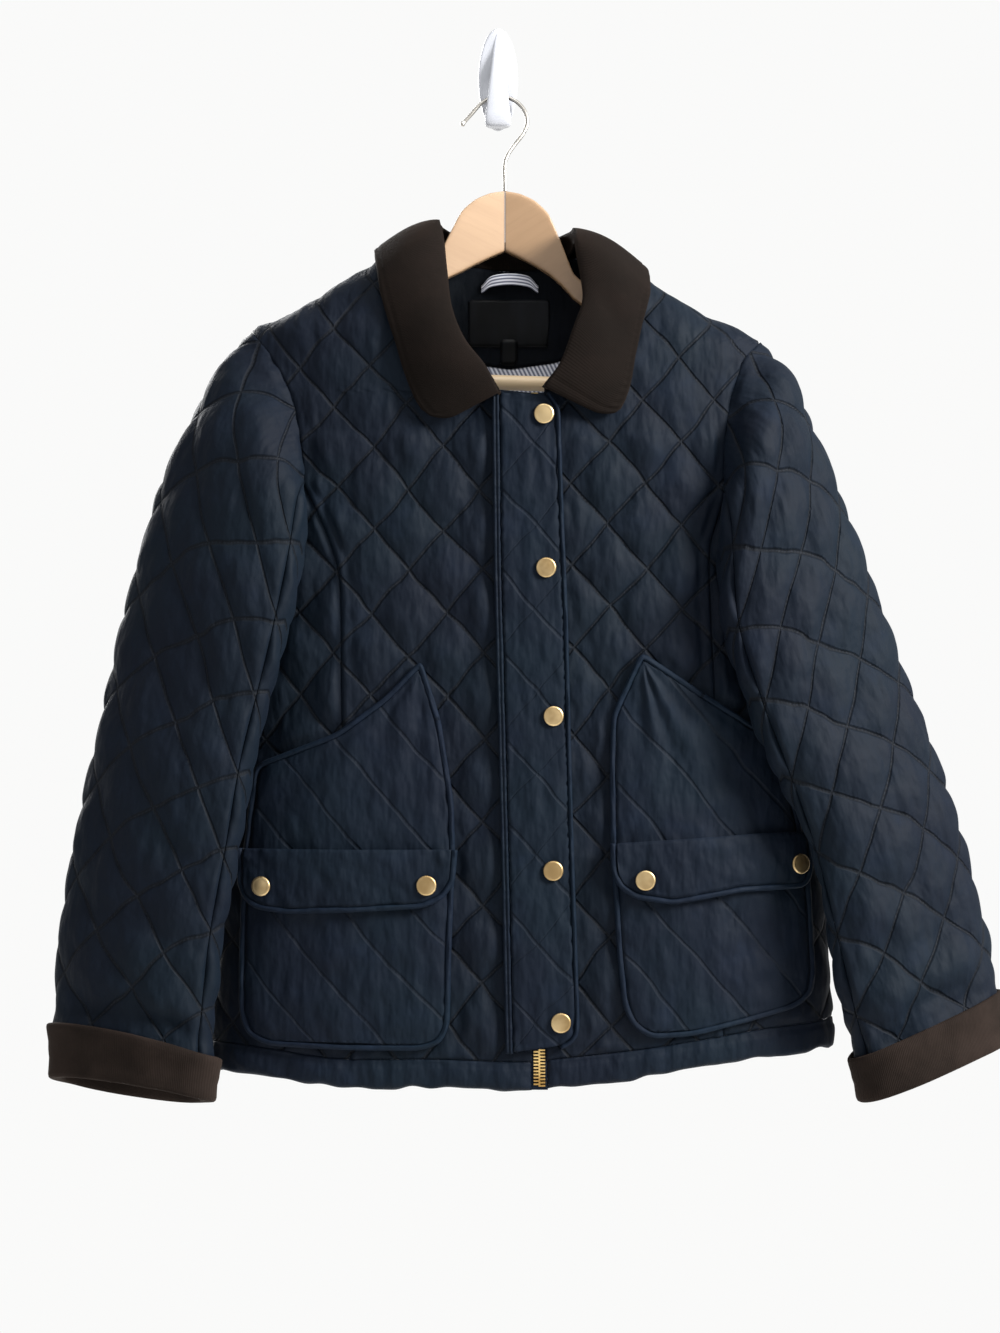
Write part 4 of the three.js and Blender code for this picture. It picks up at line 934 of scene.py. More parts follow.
@dataclass(frozen=True)
class Maple:
    """Light maple with fine long grain under thin varnish.

    Attributes:
        name: the material's name.
        light: screen colour between the grain lines.
        dark: screen colour of the grain.
        lean: slope of the grain across the arm.
        joint: x of a dark glue line, in metres.
    """

    name: str
    light: tuple[int, int, int]
    dark: tuple[int, int, int]
    lean: float = 0.6
    joint: float = 1.0

    def make(self) -> bpy.types.Material:
        """Builds the material: stretched grain, pores, broad tone bands and a faint knot.

        Returns:
            The material.
        """
        tree = Tree(self.name)
        where = tree.place()
        node = tree.nodes.new("ShaderNodeSeparateXYZ")
        tree.links.new(where.socket, node.inputs[0])
        x, y, z = (Value(tree, node.outputs[k]) for k in range(3))
        across = z + x * self.lean
        along = x - z * self.lean
        grain = tree.cloud(tree.vector(along * 14.0, y * 60.0, across * 260.0), 1.0, 5.0, 0.65)
        bands = tree.cloud(tree.vector(along * 5.0, y * 20.0, across * 38.0), 1.0, 2.0)
        pores = tree.cloud(tree.vector(along * 90.0, y * 900.0, across * 1500.0), 1.0, 2.0)
        base = tree.mix(bands.step(0.3, 0.75) * 0.45, colour(*self.light), colour(*self.dark))
        base = tree.mix(grain.step(0.42, 0.8) * 0.5, base, colour(*self.dark))
        base = tree.mix(pores.step(0.62, 0.85) * 0.35, base, colour(96, 70, 48))
        glue = 1.0 - abs(x - self.joint).step(0.0004, 0.0011)
        base = tree.mix(glue * 0.8, base, colour(52, 36, 26))
        return tree.finish(
            {
                "Base Color": base,
                "Roughness": 0.42 + 0.16 * grain,
                "Normal": tree.bump(grain * 0.6 + pores * 0.4, 0.00012, 0.6),
                "Coat Weight": 0.18,
                "Coat Roughness": 0.3,
            }
        )


@dataclass(frozen=True)
class WhitePlastic:
    """Gloss white moulded plastic.

    Attributes:
        name: the material's name.
    """

    name: str

    def make(self) -> bpy.types.Material:
        """Builds the material: faint ripples, and a cool grey-blue tint that is painted shade on the white plastic.

        Returns:
            The material.
        """
        tree = Tree(self.name)
        where = tree.place()
        ripple = tree.cloud(where, 120.0, 2.0)
        # Painted shade: the white plastic is coloured a cool grey-blue, as the white hook looks in its shading.
        base = tree.mix(tree.cloud(where, 30.0, 2.0), colour(136, 138, 144), colour(142, 144, 150))
        return tree.finish(
            {
                "Base Color": base,
                "Roughness": 0.22 + 0.08 * ripple,
                "Normal": tree.bump(ripple, 0.00003, 0.3),
                "Coat Weight": 0.3,
                "Coat Roughness": 0.1,
            }
        )


@dataclass(frozen=True)
class PaleFloor:
    """The plain pale floor.

    Attributes:
        name: the material's name.
    """

    name: str

    def make(self) -> bpy.types.Material:
        """Builds the material.

        Returns:
            The material.
        """
        tree = Tree(self.name)
        soft = tree.cloud(tree.place(), 3.0, 2.0)
        base = tree.mix(soft, colour(238, 237, 234), colour(246, 245, 243))
        return tree.finish({"Base Color": base, "Roughness": 0.85})


@dataclass
class Finishes:
    """Every material of the scene, made once."""

    quilt: bpy.types.Material = field(init=False)
    placket: bpy.types.Material = field(init=False)
    pocket: bpy.types.Material = field(init=False)
    plain: bpy.types.Material = field(init=False)
    binding: bpy.types.Material = field(init=False)
    facing: bpy.types.Material = field(init=False)
    corduroy: bpy.types.Material = field(init=False)
    cuff: bpy.types.Material = field(init=False)
    lining: bpy.types.Material = field(init=False)
    loop: bpy.types.Material = field(init=False)
    satin: bpy.types.Material = field(init=False)
    brass: bpy.types.Material = field(init=False)
    teeth: bpy.types.Material = field(init=False)
    steel: bpy.types.Material = field(init=False)
    maple_left: bpy.types.Material = field(init=False)
    maple_right: bpy.types.Material = field(init=False)
    bar: bpy.types.Material = field(init=False)
    plastic: bpy.types.Material = field(init=False)
    floor: bpy.types.Material = field(init=False)

    def __post_init__(self) -> None:
        """Makes them."""
        self.quilt = NavyCloth("quilted navy").make()
        self.placket = NavyCloth("placket navy", lines=0.2, second=0.6, deep=0.0006, lift=1.15).make()
        self.pocket = NavyCloth("pocket navy", lines=0.3, second=0.25, deep=0.0006, lift=1.15).make()
        self.plain = NavyCloth("plain navy", quilted=False, puckers=1.0, lift=1.15).make()
        # The binding tape is 1.45 times lighter than the quilting: partly the tape's slightly lighter tone, partly a
        # painted highlight along the raised bound edges.
        self.binding = NavyCloth("binding tape", quilted=False, puckers=0.5, lift=1.45).make()
        self.facing = NavyCloth("neck facing", quilted=False, puckers=0.5, lift=0.5).make()
        self.corduroy = Corduroy("collar corduroy").make()
        self.cuff = Corduroy("cuff corduroy", base=(17, 13, 11), light=(36, 29, 26)).make()
        self.lining = Lining("striped lining", slant=0.5).make()
        self.loop = Lining("striped loop", pitch=2.6, dark=(58, 62, 84)).make()
        self.satin = Satin("black satin").make()
        self.brass = Metal("antique brass", (166, 146, 110), (124, 103, 70), 0.3).make()
        self.teeth = Metal("zip brass", (214, 184, 122), (150, 116, 64), 0.24).make()
        self.steel = Metal("steel wire", (150, 147, 142), (118, 115, 110), 0.26).make()
        self.maple_left = Maple("maple light", (130, 107, 83), (116, 92, 68), 0.45, 0.0056).make()
        self.maple_right = Maple("maple dark", (119, 94, 68), (104, 80, 54), -0.6, 0.0056).make()
        # The bar's maple is made much lighter than the arms': painted light that makes up for the shade that falls
        # on the bar.
        self.bar = Maple("maple bar", (206, 182, 146), (186, 158, 120), 0.0).make()
        self.plastic = WhitePlastic("white plastic").make()
        self.floor = PaleFloor("pale floor").make()


@dataclass
class Workshop:
    """Takes each finished piece into the scene.

    Attributes:
        finishes: the materials.
    """

    finishes: Finishes

    def take(
        self,
        made: bpy.types.Object,
        node: str,
        slot: str,
        materials: Sequence[bpy.types.Material],
        flat: Optional[tuple[float, float]] = None,
        area: Optional[float] = None,
        held: str = "hung",
        rests_on: Sequence[str] = (),
    ) -> bpy.types.Object:
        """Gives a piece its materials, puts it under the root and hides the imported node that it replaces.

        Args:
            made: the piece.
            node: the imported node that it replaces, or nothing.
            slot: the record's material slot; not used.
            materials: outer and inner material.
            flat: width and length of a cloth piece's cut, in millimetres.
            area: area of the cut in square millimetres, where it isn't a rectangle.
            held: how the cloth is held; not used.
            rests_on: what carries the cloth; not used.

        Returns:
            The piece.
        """
        for material in materials:
            made.data.materials.append(material)
        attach(made, "root")
        if node:
            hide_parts(node)
        if flat is not None:
            size = (flat[0] * MM, flat[1] * MM)
            kept = None if area is None else min(area * MM * MM, size[0] * size[1])
        log.info("%s: %d faces", made.name, len(made.data.polygons))
        return made


def cut_size(base: Array) -> tuple[tuple[float, float], float]:
    """The flat size of a cloth piece: its longest row, its height square to the rows, and its area.

    Args:
        base: rows by columns by 3.

    Returns:
        Width and length, and the area.
    """
    across = np.gradient(base, axis=1)
    across = unit(across[:-1] + across[1:])
    steps = np.diff(base, axis=0)
    sideways = (steps * across).sum(-1)
    length = np.linalg.norm(steps - sideways[..., None] * across, axis=-1).sum(axis=0).max()
    width = np.linalg.norm(np.diff(base, axis=1), axis=-1).sum(axis=1).max()
    a, b, c, d = base[:-1, :-1], base[:-1, 1:], base[1:, 1:], base[1:, :-1]
    area = 0.5 * np.linalg.norm(np.cross(c - a, d - b), axis=-1).sum()
    return (float(width), float(length)), float(area)


# The body's form


@dataclass(frozen=True)
class Fold:
    """A long soft fold of the body: rise times a bell across and a bell along.

    Attributes:
        side: front or back.
        x: where its middle is.
        z: how high its middle is.
        lean: how much it leans.
        length: its length.
        width: its width.
        rise: how far it comes out.
    """

    side: Side
    x: float
    z: float
    lean: float
    length: float
    width: float
    rise: float


@dataclass
class Body:
    """The body's inner face: superellipse sections with long folds.

    Attributes:
        sections: left and right edge, and how deep front and back are, by height.
        zip_line: where the zip runs.
        folds: the long folds.
        steps: points of half a section.
    """

    sections: Table = Table(
        "z left right front back",
        (
            (-118, -32, 44, 24, 36),
            (-137, -56, 68, 30, 39),
            (-158, -93.5, 97, 38, 41),
            (-176, -121, 122, 43, 42),
            (-203, -170, 166, 48, 41),
            (-213, -193, 188, 50, 41),
            (-222, -201, 206, 51, 42),
            (-245, -205, 213, 53, 42),
            (-300, -206, 216, 56, 42),
            (-412, -206, 220, 58, 42),
            (-560, -212, 240, 57, 42),
            (-650, -218, 255, 56, 42),
            (-740, -223, 261, 56, 41),
            (-840, -228, 264, 56, 41),
        ),
    )
    zip_line: Table = Table("z x", ((-264, 30), (-804, 32)))
    folds: tuple[Fold, ...] = (
        Fold(Side.FRONT, -118, -560, 0.05, 300, 34, 4),
        Fold(Side.FRONT, -30, -520, -0.03, 380, 30, -2.5),
        Fold(Side.FRONT, 78, -500, 0.02, 300, 26, -3),
        Fold(Side.FRONT, 150, -640, -0.06, 260, 36, 3.5),
        Fold(Side.BACK, -110, -600, 0.05, 380, 40, 4),
        Fold(Side.BACK, -40, -560, -0.02, 420, 34, -3),
        Fold(Side.BACK, 60, -580, 0.04, 400, 36, 3.5),
        Fold(Side.BACK, 150, -560, -0.04, 320, 34, -2.5),
    )
    steps: int = 72

    def fold_rise(self, side: Side, x: Array, z: Array) -> Array:
        """How far the folds move the face out: the sum of their bells."""
        rise = np.zeros(np.broadcast(x, z).shape)
        for fold in self.folds:
            if fold.side is side:
                across = (x - fold.x - fold.lean * (z - fold.z)) / fold.width
                rise = rise + fold.rise * bell(across) * bell((z - fold.z) / fold.length * 2)
        return rise

    def depth(self, side: Side, x: Array, z: Array) -> Array:
        """The face's y at places seen from the front.

        The section is a superellipse: |x/half|^p + |y/reach|^p = 1, plus the folds.
        """
        left, right = self.sections.read("left", z), self.sections.read("right", z)
        reach = self.sections.read("front" if side is Side.FRONT else "back", z)
        across = np.clip(np.abs((x - (left + right) / 2) / ((right - left) / 2)), 0, 1)
        share = (1 - across**SECTION_POWER) ** (1 / SECTION_POWER)
        return SEAM_PLANE + side.value * (reach * share + self.fold_rise(side, x, z))

    def normal(self, side: Side, x: Array, z: Array, step: float = 2.0) -> Array:
        """The outward unit normal, from the depth's slopes."""
        slope_x = (self.depth(side, x + step, z) - self.depth(side, x - step, z)) / (2 * step)
        slope_z = (self.depth(side, x, z + step) - self.depth(side, x, z - step)) / (2 * step)
        out = np.stack([-slope_x, np.ones_like(slope_x), -slope_z], -1) * side.value
        return unit(out)

    def under(self, x: Array, z: Array, offset: float) -> tuple[Array, Array]:
        """The front's point and normal that are seen at x, z once moved out by offset.

        Args:
            x: places across.
            z: places up.
            offset: how far the piece lies above the face.

        Returns:
            The face's points and its normals there.
        """
        base_x, base_z = np.array(x, float), np.array(z, float)
        for _ in range(3):
            out = self.normal(Side.FRONT, base_x, base_z)
            base_x, base_z = x - out[..., 0] * offset, z - out[..., 2] * offset
        y = self.depth(Side.FRONT, base_x, base_z)
        return np.stack([base_x, y, base_z], -1), self.normal(Side.FRONT, base_x, base_z)

    def _half(self, side: Side, z: Array) -> tuple[Array, Array, Array, Array]:
        """Half sections at heights: x, y, length along, and the start line's length."""
        left, right = self.sections.read("left", z), self.sections.read("right", z)
        reach = self.sections.read("front" if side is Side.FRONT else "back", z)
        angle = np.pi * (1 - np.arange(self.steps + 1) / self.steps)
        x = ((left + right) / 2)[..., None] + ((right - left) / 2)[..., None] * signed_power(
            np.cos(angle), 2 / SECTION_POWER
        )
        rise = np.abs(np.sin(angle)) ** (2 / SECTION_POWER)
        y = SEAM_PLANE + side.value * reach[..., None] * rise
        step = np.hypot(np.diff(x, axis=-1), np.diff(y, axis=-1))
        length = np.concatenate([np.zeros(step.shape[:-1] + (1,)), np.cumsum(step, -1)], -1)
        start = self.zip_line.read("x", z) if side is Side.FRONT else (left + right) / 2
        return x, y, length, self._read(x, length, start)

    @staticmethod
    def _read(keys: Array, column: Array, value: Array) -> Array:
        """Reads a column where rising keys pass a value, on the last axis of both."""
        index = np.clip((keys < value[..., None]).sum(-1) - 1, 0, keys.shape[-1] - 2)[..., None]
        low, high = np.take_along_axis(keys, index, -1), np.take_along_axis(keys, index + 1, -1)
        t = np.clip((value[..., None] - low) / np.maximum(high - low, 1e-9), 0, 1)
        a, b = np.take_along_axis(column, index, -1), np.take_along_axis(column, index + 1, -1)
        return (a + (b - a) * t)[..., 0]

    def length_at(self, side: Side, x: Array, z: Array) -> Array:
        """Length along the cloth from the start line to x, at heights z."""
        xs, _, lengths, start = self._half(side, z)
        return self._read(xs, lengths, np.asarray(x, float) + 0 * z) - start

    def at(self, side: Side, s: Array, z: Array) -> Array:
        """The face's points at lengths s along the cloth, with the folds."""
        xs, ys, lengths, start = self._half(side, z)
        x = self._read(lengths, xs, s + start)
        y = self._read(lengths, ys, s + start)
        return np.stack([x, y + side.value * self.fold_rise(side, x, z), z + 0 * x], -1)

    def ends(self, side: Side, z: Array) -> tuple[Array, Array]:
        """Lengths from the start line to the left and right side seam."""
        _, _, lengths, start = self._half(side, z)
        return -start, lengths[..., -1] - start


@dataclass(frozen=True)
class Quilting:
    """The diamond lattice in cloth coordinates.

    Attributes:
        phase_s: a stitch crossing's length along the cloth.
        phase_z: its height.
        width: a diamond's width.
        height: a diamond's height.
    """

    phase_s: float
    phase_z: float
    width: float = 57.0
    height: float = 64.0

    def lattice(self, s: Array, z: Array) -> Array:
        """Two slanted coordinates, whole numbers on the stitch lines, which waver a little."""
        waver_s = 2.4 * noise(s / 38.0, z / 52.0, 151) + 1.0 * noise(s / 13.0, z / 17.0, 152)
        waver_z = 3.0 * noise(s / 50.0, z / 44.0, 153) + 1.2 * noise(s / 15.0, z / 12.0, 154)
        p = (s + waver_s - self.phase_s) / (self.width / 2)
        q = (z + waver_z - self.phase_z) / (self.height / 2)
        return np.stack([(p + q) / 2, (p - q) / 2], -1)


LEFT_QUILT = Quilting(-71, -307)
RIGHT_QUILT = Quilting(55, -303)
BACK_QUILT = Quilting(0, -320)


def pillows(lattice: Array, sharp: float = 0.62) -> Array:
    """Rounded pillows between the stitch lines: |sin(pi a) sin(pi b)| to a power."""
    both = np.abs(np.sin(np.pi * lattice[..., 0]) * np.sin(np.pi * lattice[..., 1]))
    return both**sharp


def crumples(s: Array, z: Array, seed: int, amount: float = 1.0) -> Array:
    """Small crumples of padded cloth: upright and slanted noise of a few sizes."""
    upright = noise(s / 6.0, z / 24.0, seed)
    slanted = noise((s + 0.55 * z) / 9.0, (z - 0.55 * s) / 26.0, seed + 1)
    other = noise((s - 0.6 * z) / 8.0, (z + 0.6 * s) / 24.0, seed + 2)
    broad = noise(s / 15.0, z / 34.0, seed + 3)
    return amount * (0.55 * upright + 0.4 * slanted + 0.36 * other + 0.4 * broad)


def soft_limit(height: Array, low: float, high: float) -> Array:
    """Heights eased into a range: they bend off within 1.2 mm of its upper end."""
    bend = high - 1.2
    eased = bend + 1.2 * np.tanh((height - bend) / 1.2)
    return np.maximum(np.where(height > bend, eased, height), low)


def quilt_relief(lattice: Array, s: Array, z: Array, seed: int, puff: Union[Array, float]) -> Array:
    """Height of quilted cloth: pillows, with puckers that are strongest near the stitching."""
    pillow = pillows(lattice)
    near = 1.0 - smooth(pillow, 0.3, 0.95)
    uneven = 1.0 + 0.22 * noise(s / 46.0, z / 46.0, seed + 9)
    return puff * pillow * uneven + crumples(s, z, seed, 1.0 + 0.5 * near) * (0.2 + pillow) - 1.4


def seam_profile(distance: Array) -> Array:
    """Share of relief near a topstitched seam: none at the seam, full past 12 mm."""
    return smooth(distance, 6.5, 13.0)


def welt(distance: Array, rise: float = 1.5) -> Array:
    """The raised allowance beside a seam: up to 6 mm wide, with a stitched groove past it."""
    return rise * smooth(distance, 0.2, 1.6) * (1.0 - smooth(distance, 5.4, 7.4))


POCKET_TOPS = {
    Arm.LEFT: Table("x z", ((-203, -553), (-125, -527), (-88, -500), (-59, -470), (-33, -470))),
    Arm.RIGHT: Table("x z", ((86, -464), (110, -464), (160, -497), (208, -528), (243, -590))),
}
POCKET_SIDES = {
    Arm.LEFT: Table("z x", ((-470, -59), (-517, -44), (-580, -34), (-770, -33))),
    Arm.RIGHT: Table("z x", ((-464, 110), (-514, 87), (-560, 86), (-770, 92))),
}
COLLAR_EDGES = {
    Arm.LEFT: Table("z x", ((-290, -46), (-276, -60), (-254, -70), (-222, -80), (-190, -90), (-149, -97))),
    Arm.RIGHT: Table("z x", ((-286, 87), (-276, 95), (-260, 101), (-234, 106), (-208, 112), (-163, 118))),
}
PLACKET_SIDES = Table("z left right", ((-264, -6, 50), (-514, -1, 57), (-774, 5, 64)))


def room(side: Side, x: Array, z: Array) -> Array:
    """How free the face is, 0 to 1: none under the collar, placket, pockets and sleeves.

    Args:
        side: front or back.
        x: places across.
        z: places up.

    Returns:
        The share, eased over some millimetres from each piece's edge.
    """
    free = smooth(x + 186.0, 0.0, 26.0) * smooth(206.0 - x, 0.0, 26.0)
    if side is Side.BACK:
        return free * smooth(-206.0 - z, 2.0, 12.0)
    sides = np.maximum(PLACKET_SIDES.read("left", z) - x, x - PLACKET_SIDES.read("right", z))
    free = free * smooth(sides, 2.0, 9.0)
    for arm in Arm:
        top = z - POCKET_TOPS[arm].read("z", x)
        flank = (POCKET_SIDES[arm].read("x", z) - x) * arm.value
        free = free * smooth(np.maximum(top, flank), 2.0, 9.0)
        collar = (x - COLLAR_EDGES[arm].read("x", z)) * arm.value
        free = free * smooth(np.maximum(collar, -291.0 - z), 2.0, 9.0)
    return free


HEM = {
    Side.FRONT: Table(
        "x z",
        (
            (-300, -793), (-192, -794), (-125, -802), (-55, -802), (23, -804), (42, -802),
            (107, -795), (160, -787), (209, -780), (340, -770),
        ),
    ),
    Side.BACK: Table("x z", ((-300, -793), (-150, -801), (10, -803), (160, -789), (340, -770))),
}
HEM_HEIGHT = 23.0

ARMHOLES = {
    Arm.LEFT: {
        "tip": -213.0, "fold": -334.0, "underarm": -411.0,
        Side.FRONT: Table(
            "z x",
            (
                (-213, -193), (-234, -177), (-254, -166), (-270, -159.5), (-299, -154),
                (-334, -151.5), (-365, -159), (-392, -178), (-411, -205),
            ),
        ),
        Side.BACK: Table(
            "z x", ((-213, -193), (-240, -174), (-290, -160), (-340, -157), (-380, -172), (-411, -205))
        ),
    },
    Arm.RIGHT: {
        "tip": -221.5, "fold": -341.0, "underarm": -417.0,
        Side.FRONT: Table(
            "z x",
            (
                (-221.5, 205), (-238, 191), (-261, 183), (-294, 177.5), (-341, 177), (-370, 183),
                (-396, 199), (-417, 219),
            ),
        ),
        Side.BACK: Table(
            "z x", ((-221.5, 205), (-247, 189), (-295, 177), (-345, 175), (-386, 189), (-417, 219))
        ),
    },
}
PRINCESS = {
    Arm.LEFT: Table(
        "z x", ((-334, -151.5), (-369, -134), (-400, -123.5), (-426, -121), (-507, -120), (-840, -112))
    ),
    Arm.RIGHT: Table(
        "z x", ((-341, 177), (-356, 172), (-385, 164), (-446, 165), (-488, 167), (-840, 176))
    ),
}
NECKLINE = {
    Arm.LEFT: Table(
        "z x",
        (
            (-100, -55), (-137, -54), (-165, -52), (-184, -48), (-204, -44), (-230, -33),
            (-250, -13), (-264, 3),
        ),
    ),
    Arm.RIGHT: Table(
        "z x", ((-100, 58), (-142, 62), (-165, 71), (-190, 75), (-214, 68), (-245, 54), (-262, 37))
    ),
}


@dataclass
class Panels:
    """The quilted fronts, side fronts and back.

    Attributes:
        body: the body's form.
        shop: takes the pieces in.
        step: distance between points in millimetres.
        zip_half: half the zip's opening.
    """

    body: Body
    shop: Workshop
    step: float = 2.5
    zip_half: float = 5.5

    def _wall(
        self, side: Side, s: Array, z: Array, quilting: Quilting, share: Array, extra: Array, seed: int
    ) -> tuple[Sheets, Array]:
        """A quilted wall over a grid of lengths and heights.

        Args:
            side: front or back.
            s: lengths along the cloth, rows by columns.
            z: heights.
            quilting: the lattice.
            share: how much of the relief shows at each point.
            extra: what is added to the outer face.
            seed: which crumples.

        Returns:
            The sheets, and the inner face that the cut is measured on.
        """
        base = self.body.at(side, s, z)
        # The mean normal comes from the same face, read at a small distance along each way
        step = 1.5
        across = self.body.at(side, s + step, z) - self.body.at(side, s - step, z)
        up = self.body.at(side, s, z + step) - self.body.at(side, s, z - step)
        out = unit(np.cross(across, up))
        out = out * np.where((out[..., 1] * side.value).mean() < 0, -1.0, 1.0)
        lattice = quilting.lattice(s, z)
        free = room(side, base[..., 0], base[..., 2])
        height = CLOTH + share * quilt_relief(lattice, s, z, seed, 3.6 + 2.4 * free) + extra
        outer = base + out * soft_limit(height, 0.9, LAY_INNER - 0.1 + 3.4 * free)[..., None]
        uv = np.stack([s, z], -1)
        return Sheets(outer, base, uv, lattice), base

    def front(self, arm: Arm) -> None:
        """The main front: from the zip to the armhole and princess seam, cut at the neckline."""
        body, left = self.body, arm is Arm.LEFT
        quilting = LEFT_QUILT if left else RIGHT_QUILT
        top = -147.5 if left else -147.0
        hole, neck, princess = ARMHOLES[arm], NECKLINE[arm], PRINCESS[arm]
        rows, columns = int(650 / self.step), int(165 / self.step)
        u = np.linspace(0, 1, columns)[None, :]
        v = np.linspace(0, 1, rows)[:, None]
        zip_x = 31.0 + arm.value * self.zip_half
        foot = zip_x + u * (princess.read("x", -780.0) - zip_x)
        low = HEM[Side.FRONT].read("x z".split()[1], foot) + HEM_HEIGHT + SEAM_GAP / 2
        z = top + v * (low - top)
        gap = SEAM_GAP / 2
        sides = body.ends(Side.FRONT, z)
        edge = sides[0] + gap if left else sides[1] - gap
        arm_x = np.where(z > hole["fold"], hole[Side.FRONT].read("x", z), princess.read("x", z))
        arm_s = body.length_at(Side.FRONT, arm_x - arm.value * gap, z)
        outside = np.where(z > hole["tip"], edge, arm_s)
        centre_x = np.where(
            z > -264.0, neck.read("x", z), body.zip_line.read("x", z) + arm.value * self.zip_half
        )
        inside = body.length_at(Side.FRONT, centre_x, z)
        inside = np.minimum(inside, outside - 1.0) if not left else np.maximum(inside, outside + 1.0)
        s = inside + (outside - inside) * u
        from_seam = np.abs(outside - s) + np.where(z > hole["tip"], 4.0, 0.0)
        from_zip = np.abs(s - inside) + 6.0
        from_hem = np.abs(z - low) + 3.0
        share = seam_profile(from_seam) * smooth(from_zip, 3, 9) * smooth(from_hem, 3, 9)
        extra = np.where(z < hole["fold"] + 6, welt(from_seam), 0.6 * welt(from_seam))
        extra = extra * smooth(hole["tip"] - z, 6.0, 40.0)
        sheets, base = self._wall(Side.FRONT, s, z, quilting, share, extra, 11 + arm.value)
        made = wall(f"front_{arm.name.lower()}_quilted", sheets)
        flat, area = cut_size(base)
        finishes = self.shop.finishes
        self.shop.take(
            made, f"front_{arm.name.lower()}", "navy", (finishes.quilt, finishes.lining),
            flat, area, rests_on=("hanger_arm_left", "hanger_arm_right"),
        )

    def side_front(self, arm: Arm) -> None:
        """The side front: from the princess seam round to the side seam."""
        body, left = self.body, arm is Arm.LEFT
        quilting = LEFT_QUILT if left else RIGHT_QUILT
        hole, princess = ARMHOLES[arm], PRINCESS[arm]
        top = hole["fold"] - 1.0
        rows, columns = int(440 / self.step), int(130 / self.step)
        u = np.linspace(0, 1, columns)[None, :]
        v = np.linspace(0, 1, rows)[:, None]
        foot = princess.read("x", -780.0) + u * arm.value * 108
        low = HEM[Side.FRONT].read("z", foot) + HEM_HEIGHT + SEAM_GAP / 2
        z = top + v * (low - top)
        gap = SEAM_GAP / 2
        sides = body.ends(Side.FRONT, z)
        edge = sides[0] + 1.0 if left else sides[1] - 1.0
        arm_x = hole[Side.FRONT].read("x", z) + arm.value * gap
        arm_s = body.length_at(Side.FRONT, arm_x, z)
        outside = np.where(z > hole["underarm"], arm_s, edge)
        inside = body.length_at(Side.FRONT, princess.read("x", z) + arm.value * gap, z)
        inside = np.minimum(inside, outside - 0.6) if not left else np.maximum(inside, outside + 0.6)
        s = inside + (outside - inside) * u
        from_princess, from_side = np.abs(s - inside), np.abs(outside - s)
        from_hem = np.abs(z - low) + 3.0
        share = smooth(from_princess, 1.0, 7.0) * smooth(from_side, 1.0, 7.0) * smooth(from_hem, 3, 9)
        sheets, base = self._wall(Side.FRONT, s, z, quilting, share, 0 * s, 21 + arm.value)
        made = wall(f"front_side_{arm.name.lower()}_quilted", sheets)
        flat, area = cut_size(base)
        finishes = self.shop.finishes
        self.shop.take(
            made, f"front_side_{arm.name.lower()}", "navy", (finishes.quilt, finishes.lining),
            flat, area, rests_on=(f"front_{arm.name.lower()}_quilted",),
        )

    def back(self) -> None:
        """The back: its top edge follows the shoulders and neckline, its sides the armholes."""
        body = self.body
        top_edge = Table(
            "x z",
            (
                (-193, -213), (-170, -203), (-121, -176), (-93.5, -158), (-62, -146),
                (-50, -145), (-30, -152), (5, -157), (38, -155), (56, -149), (70, -149),
                (97, -159), (122, -176), (166, -203), (188, -213), (205, -221.5),
            ),
        )
        rows, columns = int(640 / self.step / 1.05), int(500 / self.step / 1.05)
        u = np.linspace(0, 1, columns)[None, :]
        v = np.linspace(0, 1, rows)[:, None]
        top_x = -193 + u * (205 + 193)
        top_z = top_edge.read("z", top_x)
        low = HEM[Side.BACK].read("z", -215 + u * 470) + HEM_HEIGHT + SEAM_GAP / 2
        z = top_z + v * (low - top_z)
        ends = []
        for arm, start, foot in ((Arm.LEFT, -213.0, low[0, 0]), (Arm.RIGHT, -221.5, low[0, -1])):
            height = start + v * (foot - start)
            hole = ARMHOLES[arm]
            sides = body.ends(Side.BACK, height)
            edge = sides[0] + 1.0 if arm is Arm.LEFT else sides[1] - 1.0
            hole_x = hole[Side.BACK].read("x", height)
            ends.append(np.where(height > hole["underarm"], body.length_at(Side.BACK, hole_x, height), edge))
        s = ends[0] + (ends[1] - ends[0]) * u
        wanted = body.length_at(Side.BACK, top_x, top_z)
        s = s + (1 - smooth(v, 0.0, 0.22)) * (wanted - s[:1])
        from_top = np.abs(top_z - z) + 3.0
        from_side = np.minimum(np.abs(s - ends[0]), np.abs(ends[1] - s))
        from_hem = np.abs(z - low) + 3.0
        share = smooth(from_top, 3, 10) * smooth(from_side, 1, 8) * smooth(from_hem, 3, 9)
        sheets, base = self._wall(Side.BACK, s, z, BACK_QUILT, share, 0 * s, 31)
        made = wall("back_quilted", sheets)
        flat, area = cut_size(base)
        finishes = self.shop.finishes
        self.shop.take(
            made, "back", "navy", (finishes.quilt, finishes.lining), flat, area,
            rests_on=("hanger_arm_left", "hanger_arm_right"),
        )

    HEM_CARRIERS = {
        "hem_band_left": "front_left_quilted",
        "hem_band_right": "front_right_quilted",
        "hem_band_back": "back_quilted",
    }

